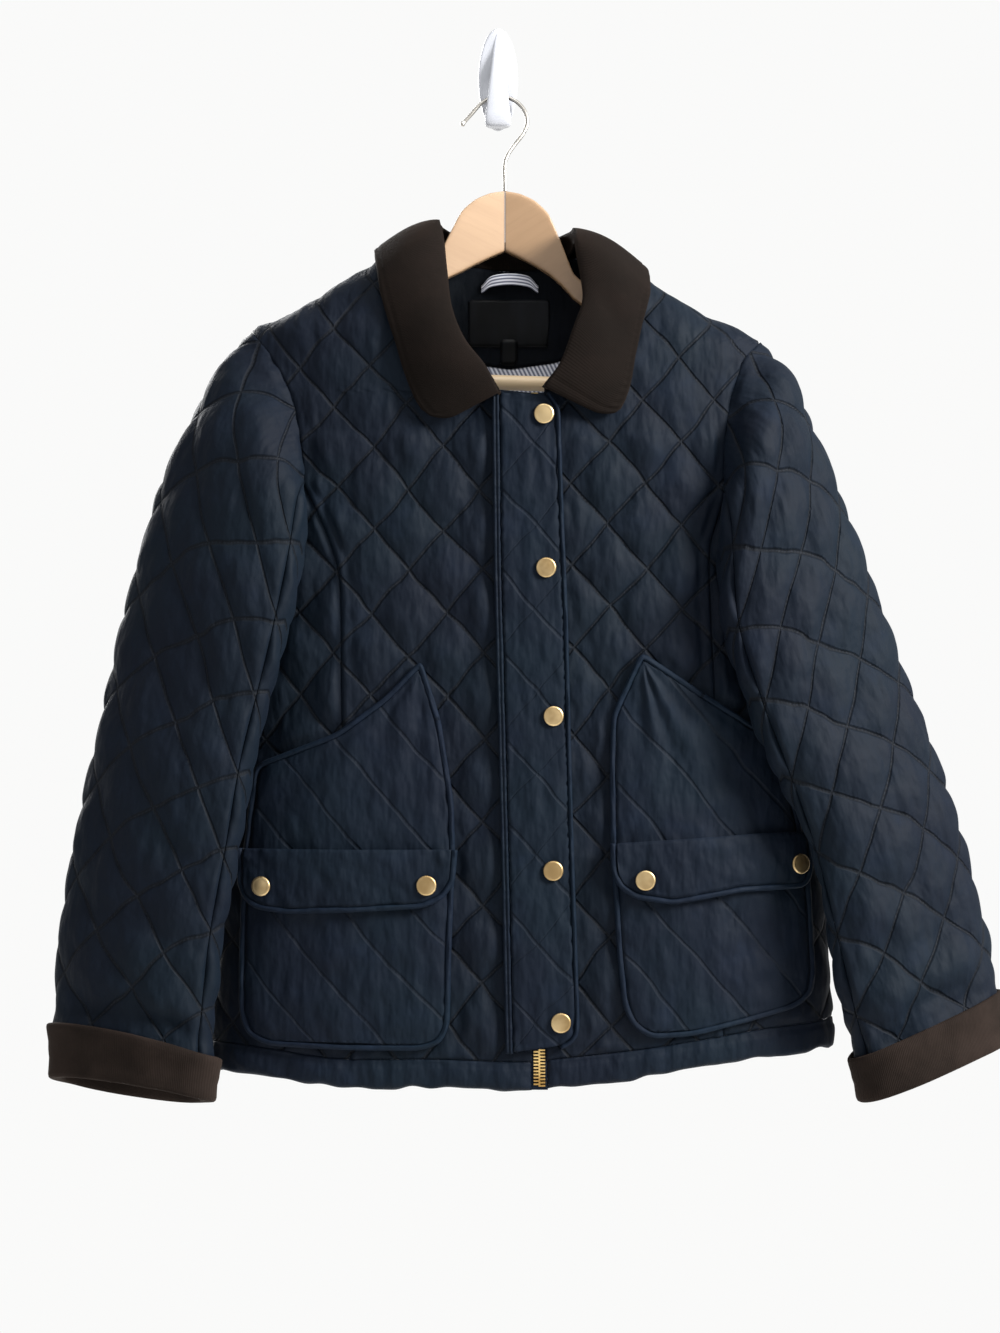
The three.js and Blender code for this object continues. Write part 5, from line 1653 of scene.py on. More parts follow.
    def hem_band(
        self, name: str, side: Side, left: Optional[float], right: Optional[float], seed: int
    ) -> None:
        """A length of the hem band with soft upright puckers and a wavy lower edge.

        Args:
            name: the node that it stands for.
            side: front or back.
            left: x of its left end at the hem, or nothing for the side seam.
            right: x of its right end, or nothing for the side seam.
            seed: which puckers.
        """
        body = self.body
        middle = np.array([-790.0])
        sides = body.ends(side, middle)
        start = sides[0][0] + 1.2 if left is None else body.length_at(side, np.array([left]), middle)[0]
        end = sides[1][0] - 1.2 if right is None else body.length_at(side, np.array([right]), middle)[0]
        columns = int((end - start) / 2.6)
        s = np.linspace(start, end, columns)[None, :] + np.zeros((13, 1))
        guess = body.at(side, s[:1], np.full((1, columns), -790.0))[..., 0]
        low = HEM[side].read("z", guess)
        v = np.linspace(0, 1, 13)[:, None]
        wave = noise(s / 16.0, 0 * s + seed, seed) * 0.9 + noise(s / 7.0, 0 * s + seed, seed + 1) * 0.5
        bottom = low + 0.8 + 1.6 * noise(s[:1] / 14.0, 0 * s[:1], seed + 2)
        z = bottom + (low + HEM_HEIGHT - SEAM_GAP - bottom) * v
        base = body.at(side, s, z)
        step = 1.5
        across = body.at(side, s + step, z) - body.at(side, s - step, z)
        up = body.at(side, s, z + step) - body.at(side, s, z - step)
        out = unit(np.cross(across, up))
        out = out * np.where((out[..., 1] * side.value).mean() < 0, -1.0, 1.0)
        round_edge = np.sqrt(np.clip(1 - (1 - np.clip(v / 0.14, 0, 1)) ** 2, 0, 1))
        crown = np.sin(np.pi * np.clip(v, 0, 1)) ** 0.6
        slanted = noise((s + 14 * v) / 9.0, 1.4 * v + 0 * s, seed + 3)
        height = 1.0 + (2.0 + 1.5 * crown) * round_edge + crown * (1.7 * wave + 1.0 * slanted)
        height = height - 0.9 * bell((v - 0.86) / 0.06)
        ends = np.minimum(np.abs(s - start), np.abs(end - s))
        height = 0.9 + (height - 0.9) * (0.35 + 0.65 * smooth(ends, 0, 3))
        outer = base + out * soft_limit(height, 0.9, 6.4)[..., None]
        made = wall(f"{name}_puckered", Sheets(outer, base, np.stack([s, z], -1)))
        flat, area = cut_size(base)
        finishes = self.shop.finishes
        self.shop.take(
            made, name, "navy", (finishes.plain, finishes.plain), flat, area,
            rests_on=(self.HEM_CARRIERS[name],),
        )

    def build(self) -> None:
        """Builds every panel of the body."""
        for arm in Arm:
            self.front(arm)
            self.side_front(arm)
        self.back()
        self.hem_band("hem_band_left", Side.FRONT, None, 26.0, 41)
        self.hem_band("hem_band_right", Side.FRONT, 38.0, None, 46)
        self.hem_band("hem_band_back", Side.BACK, None, None, 51)


@dataclass
class Sleeve:
    """A sleeve of two pieces, with its cuff.

    Attributes:
        arm: which arm.
        body: the body's form, for the armhole.
        shop: takes the pieces in.
        columns: cells of the quilting round the sleeve.
        upper_columns: cells of the upper piece.
        rows: cells along it.
        start: where the upper piece starts, as a share of the way round.
        length: the sleeve's length.
    """

    arm: Arm
    body: Body
    shop: Workshop
    columns: int = 10
    upper_columns: int = 6
    rows: int = 16
    start: float = -0.13
    length: float = 560.0

    RINGS = {
        Arm.LEFT: (
            (-214, -242, -55, -152, -352, -106, 34, 0), (-258, -329, -60, -155, -392, -117, 28, 0),
            (-285, -416, -64, -164, -440, -124, 24, 2), (-299, -480, -66, -176, -492, -126, 23, 4),
            (-312, -543, -68, -190, -548, -127, 23, 6), (-328, -612, -70, -202, -616, -127, 22, 8),
            (-338, -677, -72, -214, -680, -125, 22, 12), (-343, -734, -74, -222, -740, -121, 23, 16),
            (-341, -794, -76, -229, -803, -116, 24, 22),
        ),
        Arm.RIGHT: (
            (224, -249, -55, 177, -358, -106, 34, 0), (256, -324, -60, 176, -398, -118, 28, 0),
            (289, -408, -64, 178, -446, -125, 24, 2), (314, -478, -66, 194, -500, -127, 23, 3),
            (336, -540, -68, 214, -556, -128, 23, 4), (356, -600, -70, 234, -618, -127, 22, 5),
            (372, -660, -72, 252, -680, -124, 22, 5), (382, -712, -74, 268, -738, -120, 23, 4),
            (388, -765, -76, 287, -803, -114, 24, 2),
        ),
    }
    FOLDS = {
        Arm.LEFT: (
            (6.5, 0.3, 1.1, 0.16, -4), (9, 0.2, 0.9, 0.15, 3), (13.4, 0.26, 0.7, 0.2, 3.5),
            (8, 0.75, 1.2, 0.14, 3),
        ),
        Arm.RIGHT: (
            (7, 0.25, 1, 0.16, -3.5), (10.5, 0.3, 1, 0.15, 3), (14, 0.24, 0.6, 0.22, 5),
            (9, 0.75, 1.2, 0.14, 3),
        ),
    }
    CREASES = {
        Arm.LEFT: (
            (14.75, 0.25, 0.22, 0.3, -1.8), (14.1, 0.32, 0.25, 0.14, 1.6), (12.6, 0.2, 0.3, 0.1, -1.6),
            (5.2, 0.38, 0.5, 0.07, -1.8), (3.2, 0.36, 0.5, 0.06, -1.5), (10.6, 0.36, 0.4, 0.08, -1.5),
            (15.0, 0.5, 0.9, 0.1, 3.5), (15.1, 0.12, 0.16, 0.1, 2.6), (14.6, 0.4, 0.2, 0.09, -2.4),
            (15.2, 0.4, 0.16, 0.07, 2.6), (7.4, 0.24, 0.9, 0.05, -2.0), (11.4, 0.2, 0.9, 0.05, 2.0),
        ),
        Arm.RIGHT: (
            (14.9, 0.22, 0.2, 0.3, -2.0), (13.2, 0.18, 0.25, 0.12, -1.8), (12.4, 0.3, 0.3, 0.1, 1.5),
            (5.6, 0.4, 0.5, 0.07, -1.8), (3.4, 0.38, 0.5, 0.06, -1.5), (9.8, 0.5, 2.0, 0.09, -13.0),
            (15.1, 0.18, 0.26, 0.12, 4.6), (14.5, 0.28, 0.2, 0.1, -3.6), (15.3, 0.07, 0.2, 0.07, -3.0),
            (15.3, 0.36, 0.18, 0.08, 3.2),
        ),
    }

    def even_angle(self, fraction: Array) -> Array:
        """Angles that share a flat oval's outline evenly, from its summed small steps."""
        steps = 240
        a = 2 * np.pi * (np.arange(steps) + 0.5) / steps
        lengths = np.concatenate([[0], np.cumsum(np.hypot(np.sin(a), 0.36 * np.cos(a)))])
        whole = np.floor(fraction)
        shares = np.arange(steps + 1) / steps
        return 2 * np.pi * (whole + np.interp(fraction - whole, lengths / lengths[-1], shares))

    def armhole(self, angle: Array) -> Array:
        """The armhole seam's points by angle: tip, front, fold, underarm and back."""
        hole = ARMHOLES[self.arm]
        turn = np.mod(angle / (2 * np.pi), 1)
        tip, fold, low = hole["tip"], hole["fold"], hole["underarm"]
        front = tip + (fold - tip) * (1 - np.cos(turn * 2 * np.pi)) / 2
        under = fold + (low - fold) * np.sin((turn - 0.5) * 2 * np.pi)
        back = low + (tip - low) * (1 - np.cos((turn - 0.75) * 4 * np.pi)) / 2
        z = np.where(turn <= 0.5, front, np.where(turn <= 0.75, under, back))
        is_back = turn > 0.75
        x = np.where(is_back, hole[Side.BACK].read("x", z), hole[Side.FRONT].read("x", z))
        y = np.where(is_back, self.body.depth(Side.BACK, x, z), self.body.depth(Side.FRONT, x, z))
        return np.stack([x + self.arm.value * SEAM_GAP, y, z], -1)

    def rings(self, angle: Array) -> Array:
        """Points of every ring: middle + half way to the edge by cosine + front by sine."""
        data = np.array(self.RINGS[self.arm], float)
        outer = data[:, [0, 2, 1]]
        inner = data[:, [3, 5, 4]]
        half, middle = (outer - inner) / 2, (outer + inner) / 2
        tip = np.radians(data[:, 7])
        front = np.stack([0 * tip, -np.cos(tip), np.sin(tip)], -1)
        front = unit(front - half * ((front * half).sum(-1) / (half * half).sum(-1))[:, None])
        cosine, sine = signed_power(np.cos(angle), 0.9), signed_power(np.sin(angle), 0.9)
        return (
            middle[:, None]
            + half[:, None] * cosine[None, :, None]
            + front[:, None] * (data[:, 6][:, None, None] * sine[None, :, None])
        )

    def face(self, u: Array, v: Array) -> Array:
        """The sleeve's inner face on a grid, from its meridians.

        Args:
            u: cells round from the start, one for each column.
            v: cells along, one for each row.

        Returns:
            Rows by columns by 3.
        """
        angle = self.even_angle(self.start + u / self.columns)
        points = np.concatenate([self.armhole(angle)[None], self.rings(angle)])
        curve = catmull(points, 20)
        share = v / self.rows
        inside = evenly(curve, np.clip(share, 0, 1))
        tail = unit(curve[-1] - curve[-3])
        beyond = np.clip(share - 1, 0, None)[:, None, None] * self.length
        return inside + tail[None] * beyond

    def surface(self, u: Array, v: Array) -> tuple[Array, Array]:
        """The face with its folds, and its outward normals.

        Args:
            u: cells round.
            v: cells along.

        Returns:
            Points and normals, rows by columns by 3.
        """
        base = self.face(u, v)
        step = 0.08
        around = self.face(u + step, v) - self.face(u - step, v)
        along = self.face(u, v + step) - self.face(u, v - step)
        out = unit(np.cross(around, along)) * (-1.0 if self.arm is Arm.LEFT else 1.0)
        rise = np.zeros(base.shape[:2])
        place = (self.start + u / self.columns)[None, :]
        for row, centre, tall, wide, height in self.FOLDS[self.arm] + self.CREASES[self.arm]:
            away = place - centre
            away = away - np.round(away)
            rise += height * bell((v[:, None] - row) / tall) * bell(away / wide)
        return base + out * rise[..., None], out

    def piece(self, upper: bool) -> None:
        """The upper or under piece.

        Args:
            upper: whether it is the upper piece.
        """
        first = 0 if upper else self.upper_columns
        count = self.upper_columns if upper else self.columns - self.upper_columns
        edge = SEAM_GAP / 28.0
        u = first + np.linspace(edge, count - edge, count * 11 + 1)
        v = np.linspace(0, self.rows, self.rows * 13 + 1)
        base, out = self.surface(u, v)
        uu, vv = np.meshgrid(u, v)
        s, z = uu * 28.5, vv * 35.0
        waver = 0.07 * noise(s / 36.0, z / 50.0, 155) + 0.03 * noise(s / 14.0, z / 16.0, 156)
        lattice = np.stack([(uu + vv) / 2 + waver, (uu - vv) / 2 + waver], -1)
        from_cap = vv * 35.0
        from_seam = np.minimum(uu - u[0], u[-1] - uu) * 28.5
        share = smooth(from_cap, 1.0, 10.0) * smooth(from_seam, 0.0, 2.5)
        seed = 61 + self.arm.value + (4 if upper else 0)
        gathers = 0.9 * noise(s / 8.0, 0 * s, seed + 5) * bell(from_cap / 14.0)
        around = self.start + uu / self.columns
        full = 0.35 if self.arm is Arm.LEFT else 0.8
        free = full * (0.35 + 0.65 * (0.5 + 0.5 * np.cos(2 * np.pi * (around - 0.17))))
        height = CLOTH + share * quilt_relief(lattice, s, z, seed, 3.4 + 2.8 * free) + gathers
        outer = base + out * soft_limit(height, 0.9, 6.4 + 3.0 * free)[..., None]
        part = "upper" if upper else "under"
        arm = self.arm.name.lower()
        made = wall(f"sleeve_{part}_{arm}_quilted", Sheets(outer, base, np.stack([s, z], -1), lattice))
        flat, area = cut_size(base)
        finishes = self.shop.finishes
        self.shop.take(
            made, f"sleeve_{part}_{arm}", "navy", (finishes.quilt, finishes.lining), flat, area,
            rests_on=(f"front_{arm}_quilted", "back_quilted"),
        )

    def cuff(self) -> None:
        """The turned-back cuff: a rounded profile that wraps the sleeve's end, closed both ways."""
        row_step = self.rows / 540.0
        top_row = self.rows - 33.0 * row_step
        profile = np.array(
            [
                (0.0, 6.6), (0.0, 8.2), (0.6, 9.2), (2.2, 9.5), (6, 9.4), (12, 9.2), (18, 9.6), (24, 9.3),
                (30, 10.0), (35, 10.6), (37.4, 10.2), (38.6, 8.8), (39.0, 6.6), (39.0, 3.6), (38.8, 0.6),
                (38.0, -1.6), (35, -2.6), (30, -3.0), (22, -2.8), (16, -2.4), (15.2, -1.6), (16, -0.9),
                (24, -0.8), (31, -0.8), (34.2, 0.2), (35.2, 2.6), (35.2, 5.0), (33, 6.4), (24, 6.7), (12, 6.6),
            ]
        )
        around = 132
        u = np.arange(around) * self.columns / around
        rows = top_row + profile[:, 0] * row_step
        order = np.argsort(rows, kind="stable")
        base, out = self.surface(u, rows[order])
        back = np.argsort(order, kind="stable")
        base, out = base[back], out[back]
        wobble = noise(u * 28.5 / 22.0, 0 * u, 71 + self.arm.value)[None, :]
        wide = np.clip(profile[:, 1], 0, None)[:, None] / 9.0
        off = profile[:, 1][:, None] + 0.8 * wobble * wide
        points = base + out * off[..., None]
        # wales run along the sleeve, so the wale coordinate goes round
        shape = points.shape[:2]
        uv = np.stack(
            [np.broadcast_to(u * 28.5, shape), np.broadcast_to(rows[:, None] * 33, shape)], -1
        )
        arm = self.arm.name.lower()
        made = ring_skin(f"cuff_{arm}_corduroy", points, uv)
        girth = float(np.linalg.norm(np.diff(points[4], axis=0), axis=-1).sum())
        self.shop.take(
            made, f"cuff_{arm}", "corduroy", (self.shop.finishes.cuff,), (girth, CUFF_DEPTH), None,
            held="folded", rests_on=(f"sleeve_upper_{arm}_quilted",),
        )

    def build(self) -> None:
        """Builds the sleeve's pieces and cuff."""
        self.piece(True)
        self.piece(False)
        self.cuff()


@dataclass
class Collar:
    """The corduroy collar: its fall, and the stand inside it.

    Attributes:
        body: the body's form.
        shop: takes the pieces in.
        thickness: the folded collar's thickness.
    """

    body: Body
    shop: Workshop
    thickness: float = 3.4

    ROUNDING = 12.0
    # roll x y z, edge x y z (y 0 is taken from the body), 1 front -1 back 0 own depth, lift
    STATIONS = (
        (1, -121, -266, -46, 0, -290, 1, 1), (-10, -120, -247, -60, 0, -276, 1, 4),
        (-27, -117, -226, -70, 0, -254, 1, 6), (-38, -108, -200, -80, 0, -222, 1, 7),
        (-42, -92, -172, -90, 0, -190, 1, 8), (-45, -70, -143, -94, 0, -168, 1, 8),
        (-47, -46, -125, -97, -44, -149, 0, 5), (-42, -20, -126, -88, 0, -178, -1, 2),
        (-22, -7.5, -131, -48, 0, -197, -1, 0), (6, -6, -133, 6, 0, -203, -1, 0),
        (34, -7.5, -133, 62, 0, -200, -1, 0), (54, -20, -130, 104, 0, -188, -1, 2),
        (60, -46, -131, 116, -44, -163, 0, 5), (62, -72, -146, 118, 0, -186, 1, 8),
        (66, -94, -172, 112, 0, -208, 1, 8), (67, -107, -194, 106, 0, -234, 1, 7),
        (60, -116, -214, 101, 0, -260, 1, 6), (49, -120, -243, 95, 0, -276, 1, 4),
        (35, -121, -262, 87, 0, -286, 1, 1),
    )
    # the neck seam under each station: x, z, 1 front -1 back 0 shoulder
    NECK = (
        (3, -266, 1), (-13, -251, 1), (-31, -231, 1), (-43, -206, 1), (-48, -184, 1), (-52, -162, 1),
        (-54, -141, 0), (-49, -141, -1), (-28, -152, -1), (5, -157, -1), (37, -155, -1), (57, -147, -1),
        (63, -141, 0), (68, -160, 1), (74, -182, 1), (72, -206, 1), (62, -232, 1), (50, -251, 1),
        (37, -264, 1),
    )

    def curves(self) -> tuple[Array, Array, Array]:
        """The roll line, the outer edge and the lift of the fall at even steps of the stations."""
        data = np.array(self.STATIONS, float)
        edge = data[:, 3:6].copy()
        front = self.body.depth(Side.FRONT, edge[:, 0], edge[:, 2]) - LAY_INNER - 0.8
        back = self.body.depth(Side.BACK, edge[:, 0], edge[:, 2]) + LAY_INNER + 0.8
        edge[:, 1] = np.where(data[:, 6] > 0, front, np.where(data[:, 6] < 0, back, edge[:, 1]))
        lift = Table("k lift", tuple((k, row[7]) for k, row in enumerate(self.STATIONS)))
        steps = 14
        k = np.linspace(0, len(data) - 1, (len(data) - 1) * steps + 1)
        return catmull(data[:, :3], steps), catmull(edge, steps), lift.read("lift", k)

    def build(self) -> None:
        """Builds the fall and the stand."""
        roll, edge, lift = self.curves()
        rows = 34
        w = np.linspace(0, 1, rows)[:, None]
        # Both ends draw in towards the edge, which rounds the collar's points
        drawn = self.ROUNDING * (1 - np.sqrt(1 - np.clip((w - 0.7) / 0.3, 0, 1) ** 2))
        last = len(roll) - 1
        at = drawn + (last - 2 * drawn) * np.linspace(0, 1, len(roll))[None, :]
        low = np.clip(at.astype(int), 0, last - 1)
        part = (at - low)[..., None]
        base = (roll[low] * (1 - part) + roll[low + 1] * part) * (1 - w[..., None])
        base = base + (edge[low] * (1 - part) + edge[low + 1] * part) * w[..., None]
        along = unit(np.gradient(edge, axis=0) + np.gradient(roll, axis=0))
        out = unit(np.cross(along, edge - roll))[None]
        base = base + out * (lift[None] * np.sin(np.pi * w**0.7))[..., None]
        columns = base.shape[1]
        t = np.arange(columns)[None, :]
        length = np.concatenate([[0], np.cumsum(np.linalg.norm(np.diff(edge, axis=0), axis=-1))])
        fall = np.linalg.norm(edge - roll, axis=-1)[None]
        dents = (
            -2.2 * bell((t - 205) / 9.0) * bell((w - 0.35) / 0.3)
            + 1.6 * bell((t - 190) / 8.0) * bell((w - 0.4) / 0.4)
            + 1.0 * bell((t - 60) / 12.0) * bell((w - 0.6) / 0.3)
            + 0.5 * noise(length[None] / 30.0, fall * w / 30.0, 81)
        )
        normals = grid_normals(base)
        normals = normals * np.sign((normals * out).sum(-1, keepdims=True))
        base = base + normals * np.clip(dents, -2.2, 2.0)[..., None]
        from_edge = (1 - w) * fall
        from_end = np.minimum(length[None], length[-1] - length[None])
        near = np.minimum(from_edge + 0 * from_end, from_end + 0 * from_edge)
        round_share = np.sqrt(np.clip(1 - (1 - np.clip(near / 2.4, 0, 1)) ** 2, 0.02, 1))
        stitched = 1 - 0.34 * bell((near - 5.5) / 1.0)
        ribs = np.sin(2 * np.pi * length[None] / 5.4) * bell((from_edge - 4.5) / 4.0) * smooth(t, 165, 200)
        half = self.thickness / 2 * round_share
        middle = self.thickness / 2
        rise = middle + half * stitched + 0.35 * smooth(near, 1, 6) + 0.5 * ribs
        outer = base + normals * rise[..., None]
        inner = base + normals * (middle - half)[..., None]
        uv = np.stack([length[None] + 0 * w, fall * w], -1)
        made = wall("collar_fall", Sheets(outer, inner, uv))
        flat, area = cut_size(base)
        finishes = self.shop.finishes
        self.shop.take(
            made, "collar", "corduroy", (finishes.corduroy, finishes.corduroy), flat, area,
            held="folded", rests_on=("front_left_quilted", "front_right_quilted", "back_quilted"),
        )
        self.stand(roll)

    def stand(self, roll: Array) -> None:
        """The stand: a band from the neck seam up to just inside the roll line."""
        data = np.array(self.NECK, float)
        front = self.body.depth(Side.FRONT, data[:, 0], data[:, 1])
        back = self.body.depth(Side.BACK, data[:, 0], data[:, 1])
        y = np.where(data[:, 2] > 0, front, np.where(data[:, 2] < 0, back, SEAM_PLANE))
        neck = catmull(np.stack([data[:, 0], y, data[:, 1]], -1), 14)
        centre = np.array([8.0, -60.0, 0.0])
        inward = unit((centre - roll) * np.array([1, 1, 0]))
        top = roll + inward * 0.9
        low = neck + inward * 0.9
        w = np.linspace(0, 1, 14)[:, None, None]
        base = top[None] * (1 - w) + low[None] * w
        base = base - inward[None] * (2.2 * np.sin(np.pi * w))
        normals = grid_normals(base)
        normals = normals * np.sign((normals * inward[None]).sum(-1, keepdims=True))
        length = np.concatenate([[0], np.cumsum(np.linalg.norm(np.diff(roll, axis=0), axis=-1))])
        uv = np.stack([length[None] + 0 * w[..., 0], 26 * w[..., 0] + 0 * length[None]], -1)
        made = wall("collar_stand", Sheets(base + normals * 1.4, base, uv))
        flat, area = cut_size(base)
        finishes = self.shop.finishes
        self.shop.take(
            made, "", "corduroy", (finishes.corduroy, finishes.corduroy), flat, area,
            held="folded", rests_on=("collar_fall",),
        )


# What lies on the fronts


def resample(line: Array, step: float, closed: bool = True) -> Array:
    """A line of points at even steps.

    Args:
        line: points by 2.
        step: wanted distance between points.
        closed: whether the line closes on itself.

    Returns:
        The new points.
    """
    full = np.concatenate([line, line[:1]]) if closed else line
    length = np.concatenate([[0], np.cumsum(np.linalg.norm(np.diff(full, axis=0), axis=-1))])
    count = max(4, int(length[-1] / step))
    at = np.linspace(0, length[-1], count, endpoint=not closed)
    return np.stack([np.interp(at, length, full[:, k]) for k in range(2)], -1)


def rounded(line: Array, times: int, closed: bool = True) -> Array:
    """A line with softened corners: each point moves to the mean of its neighbours."""
    for _ in range(times):
        if closed:
            line = (np.roll(line, 1, axis=0) + 2 * line + np.roll(line, -1, axis=0)) / 4
        else:
            line = line.copy()
            line[1:-1] = (line[:-2] + 2 * line[1:-1] + line[2:]) / 4
    return line


def inset(line: Array, distance: float, closed: bool = True) -> Array:
    """A line moved to its right by a distance, seen with x to the right and z up."""
    if closed:
        run = np.roll(line, -1, axis=0) - np.roll(line, 1, axis=0)
    else:
        run = np.gradient(line, axis=0)
    run = unit(run)
    return line + np.stack([run[:, 1], -run[:, 0]], -1) * distance


def clockwise(line: Array) -> Array:
    """A closed line that runs clockwise, so that its inside is on the right."""
    nxt = np.roll(line, -1, axis=0)
    area = (line[:, 0] * nxt[:, 1] - nxt[:, 0] * line[:, 1]).sum()
    return line[::-1] if area > 0 else line


def chains(line: Array, key: int) -> tuple[Array, Array, Array, Array]:
    """The two chains of a closed line from its highest to its lowest place along a key.

    Args:
        line: points by 2.
        key: 0 to part it along x, 1 along z.

    Returns:
        For each chain its rising key and the other coordinate.
    """
    top, low = int(np.argmax(line[:, key])), int(np.argmin(line[:, key]))
    turned = np.roll(line, -top, axis=0)
    cut = (low - top) % len(line)
    first, second = turned[: cut + 1], np.concatenate([turned[cut:], turned[:1]])

    def rising(part: Array) -> tuple[Array, Array]:
        """A chain sorted so that its key rises."""
        order = np.argsort(part[:, key], kind="stable")
        keys = part[order, key] + np.arange(len(part)) * 1e-5
        return keys, part[order, 1 - key]

    return (*rising(first), *rising(second))


@dataclass
class Laid:
    """Base of the pieces that lie on the fronts.

    Attributes:
        body: the body's form.
        shop: takes the pieces in.
        step: distance between points.
    """

    body: Body
    shop: Workshop
    step: float = 2.6

    def grid(self, outline: Array, upright: bool) -> tuple[Array, Array]:
        """A grid that fills an outline: even lines between its two chains.

        Args:
            outline: closed line, x and z.
            upright: whether the lines run across, at even heights.

        Returns:
            x and z, rows by columns.
        """
        key = 1 if upright else 0
        keys_a, a, keys_b, b = chains(outline, key)
        low, high = max(keys_a[0], keys_b[0]) + 0.2, min(keys_a[-1], keys_b[-1]) - 0.2
        span = high - low
        wide = max(np.ptp(a), np.ptp(b), np.abs(a.mean() - b.mean()))
        t = (1 - np.cos(np.pi * np.linspace(0, 1, int(span / self.step)))) / 2
        t = 0.35 * t + 0.65 * np.linspace(0, 1, len(t))
        at = low + span * t
        first, second = np.interp(at, keys_a, a), np.interp(at, keys_b, b)
        w = np.linspace(0, 1, max(4, int(wide / self.step)))[None, :]
        other = first[:, None] + (second - first)[:, None] * w
        along = at[:, None] + 0 * other
        return (other, along) if upright else (along, other)

    def sheets(
        self, x: Array, z: Array, inner: float, height: Callable[[Array, Array], Array], quilting: Quilting
    ) -> tuple[Sheets, Array]:
        """Sheets on the front at two heights.

        Args:
            x: places across.
            z: places up.
            inner: how far the inner sheet lies above the body's face.
            height: the outer sheet's height above the inner one.
            quilting: the lattice that faint stitch lines follow.

        Returns:
            The sheets, and the points the cut is measured on.
        """
        base, out = self.body.under(x, z, inner + CLOTH)
        rise = height(x, z)
        s = self.body.length_at(Side.FRONT, x, z)
        low = base + out * inner
        outer = low + out * rise[..., None]
        return Sheets(outer, low, np.stack([s, z], -1), quilting.lattice(s, z)), low

    def border(self, x: Array, z: Array, line: Array) -> Array:
        """Distance of places from a closed line."""
        points = np.stack([x, z], -1).reshape(-1, 2)
        nearest = np.full(len(points), 1e9)
        for start in range(0, len(line), 64):
            part = line[start : start + 64]
            nearest = np.minimum(nearest, np.linalg.norm(points[:, None] - part[None], axis=-1).min(1))
        return nearest.reshape(x.shape)

    def strip(
        self, name: str, node: str, line: Array, width: float, inner: float, rise: float,
        closed: bool, side: float = 1.0, twist: float = 0.0,
    ) -> None:
        """A bound edge: a half-round profile carried along a line on the front.

        Args:
            name: the piece's name.
            node: the node that it stands for.
            line: its outer edge, x and z.
            width: its width.
            inner: how far its base lies above the body's face.
            rise: its height at the middle.
            closed: whether the line closes on itself.
            side: 1 where the width goes to the right of the line, -1 to its left.
            twist: how uneven the height is.
        """
        around = np.roll(line, -1, axis=0) - np.roll(line, 1, axis=0)
        run = unit(around if closed else np.gradient(line, axis=0))
        right = np.stack([run[:, 1], -run[:, 0]], -1) * side
        w = np.linspace(0, 1, 9)[:, None]
        places = line[None] + right[None] * (w * width)[..., None]
        x, z = places[..., 0], places[..., 1]
        base, out = self.body.under(x, z, inner + rise / 2)
        length = np.concatenate([[0], np.cumsum(np.linalg.norm(np.diff(line, axis=0), axis=-1))])
        bow = np.sqrt(np.clip(1 - (2 * w - 1) ** 2, 0.0, 1)) * 0.8 + 0.2
        uneven = 1 + twist * noise(length[None] / 7.0, 3 * w, 91)
        outer = base + out * (inner + rise * bow * uneven)[..., None]
        uv = np.stack([length[None] + 0 * w, width * w + 0 * length[None]], -1)
        made = wall(name, Sheets(outer, base + out * inner, uv, closed=closed))
        binding = self.shop.finishes.binding
        # The tape arches over the edge: what shows is about half as wide again as the strip
        shown = float(length[-1]) * ARCH_SHARE * width
        self.shop.take(
            made, node, "binding", (binding, binding), (float(length[-1]), TAPE_FLAT), shown, held="stretched"
        )


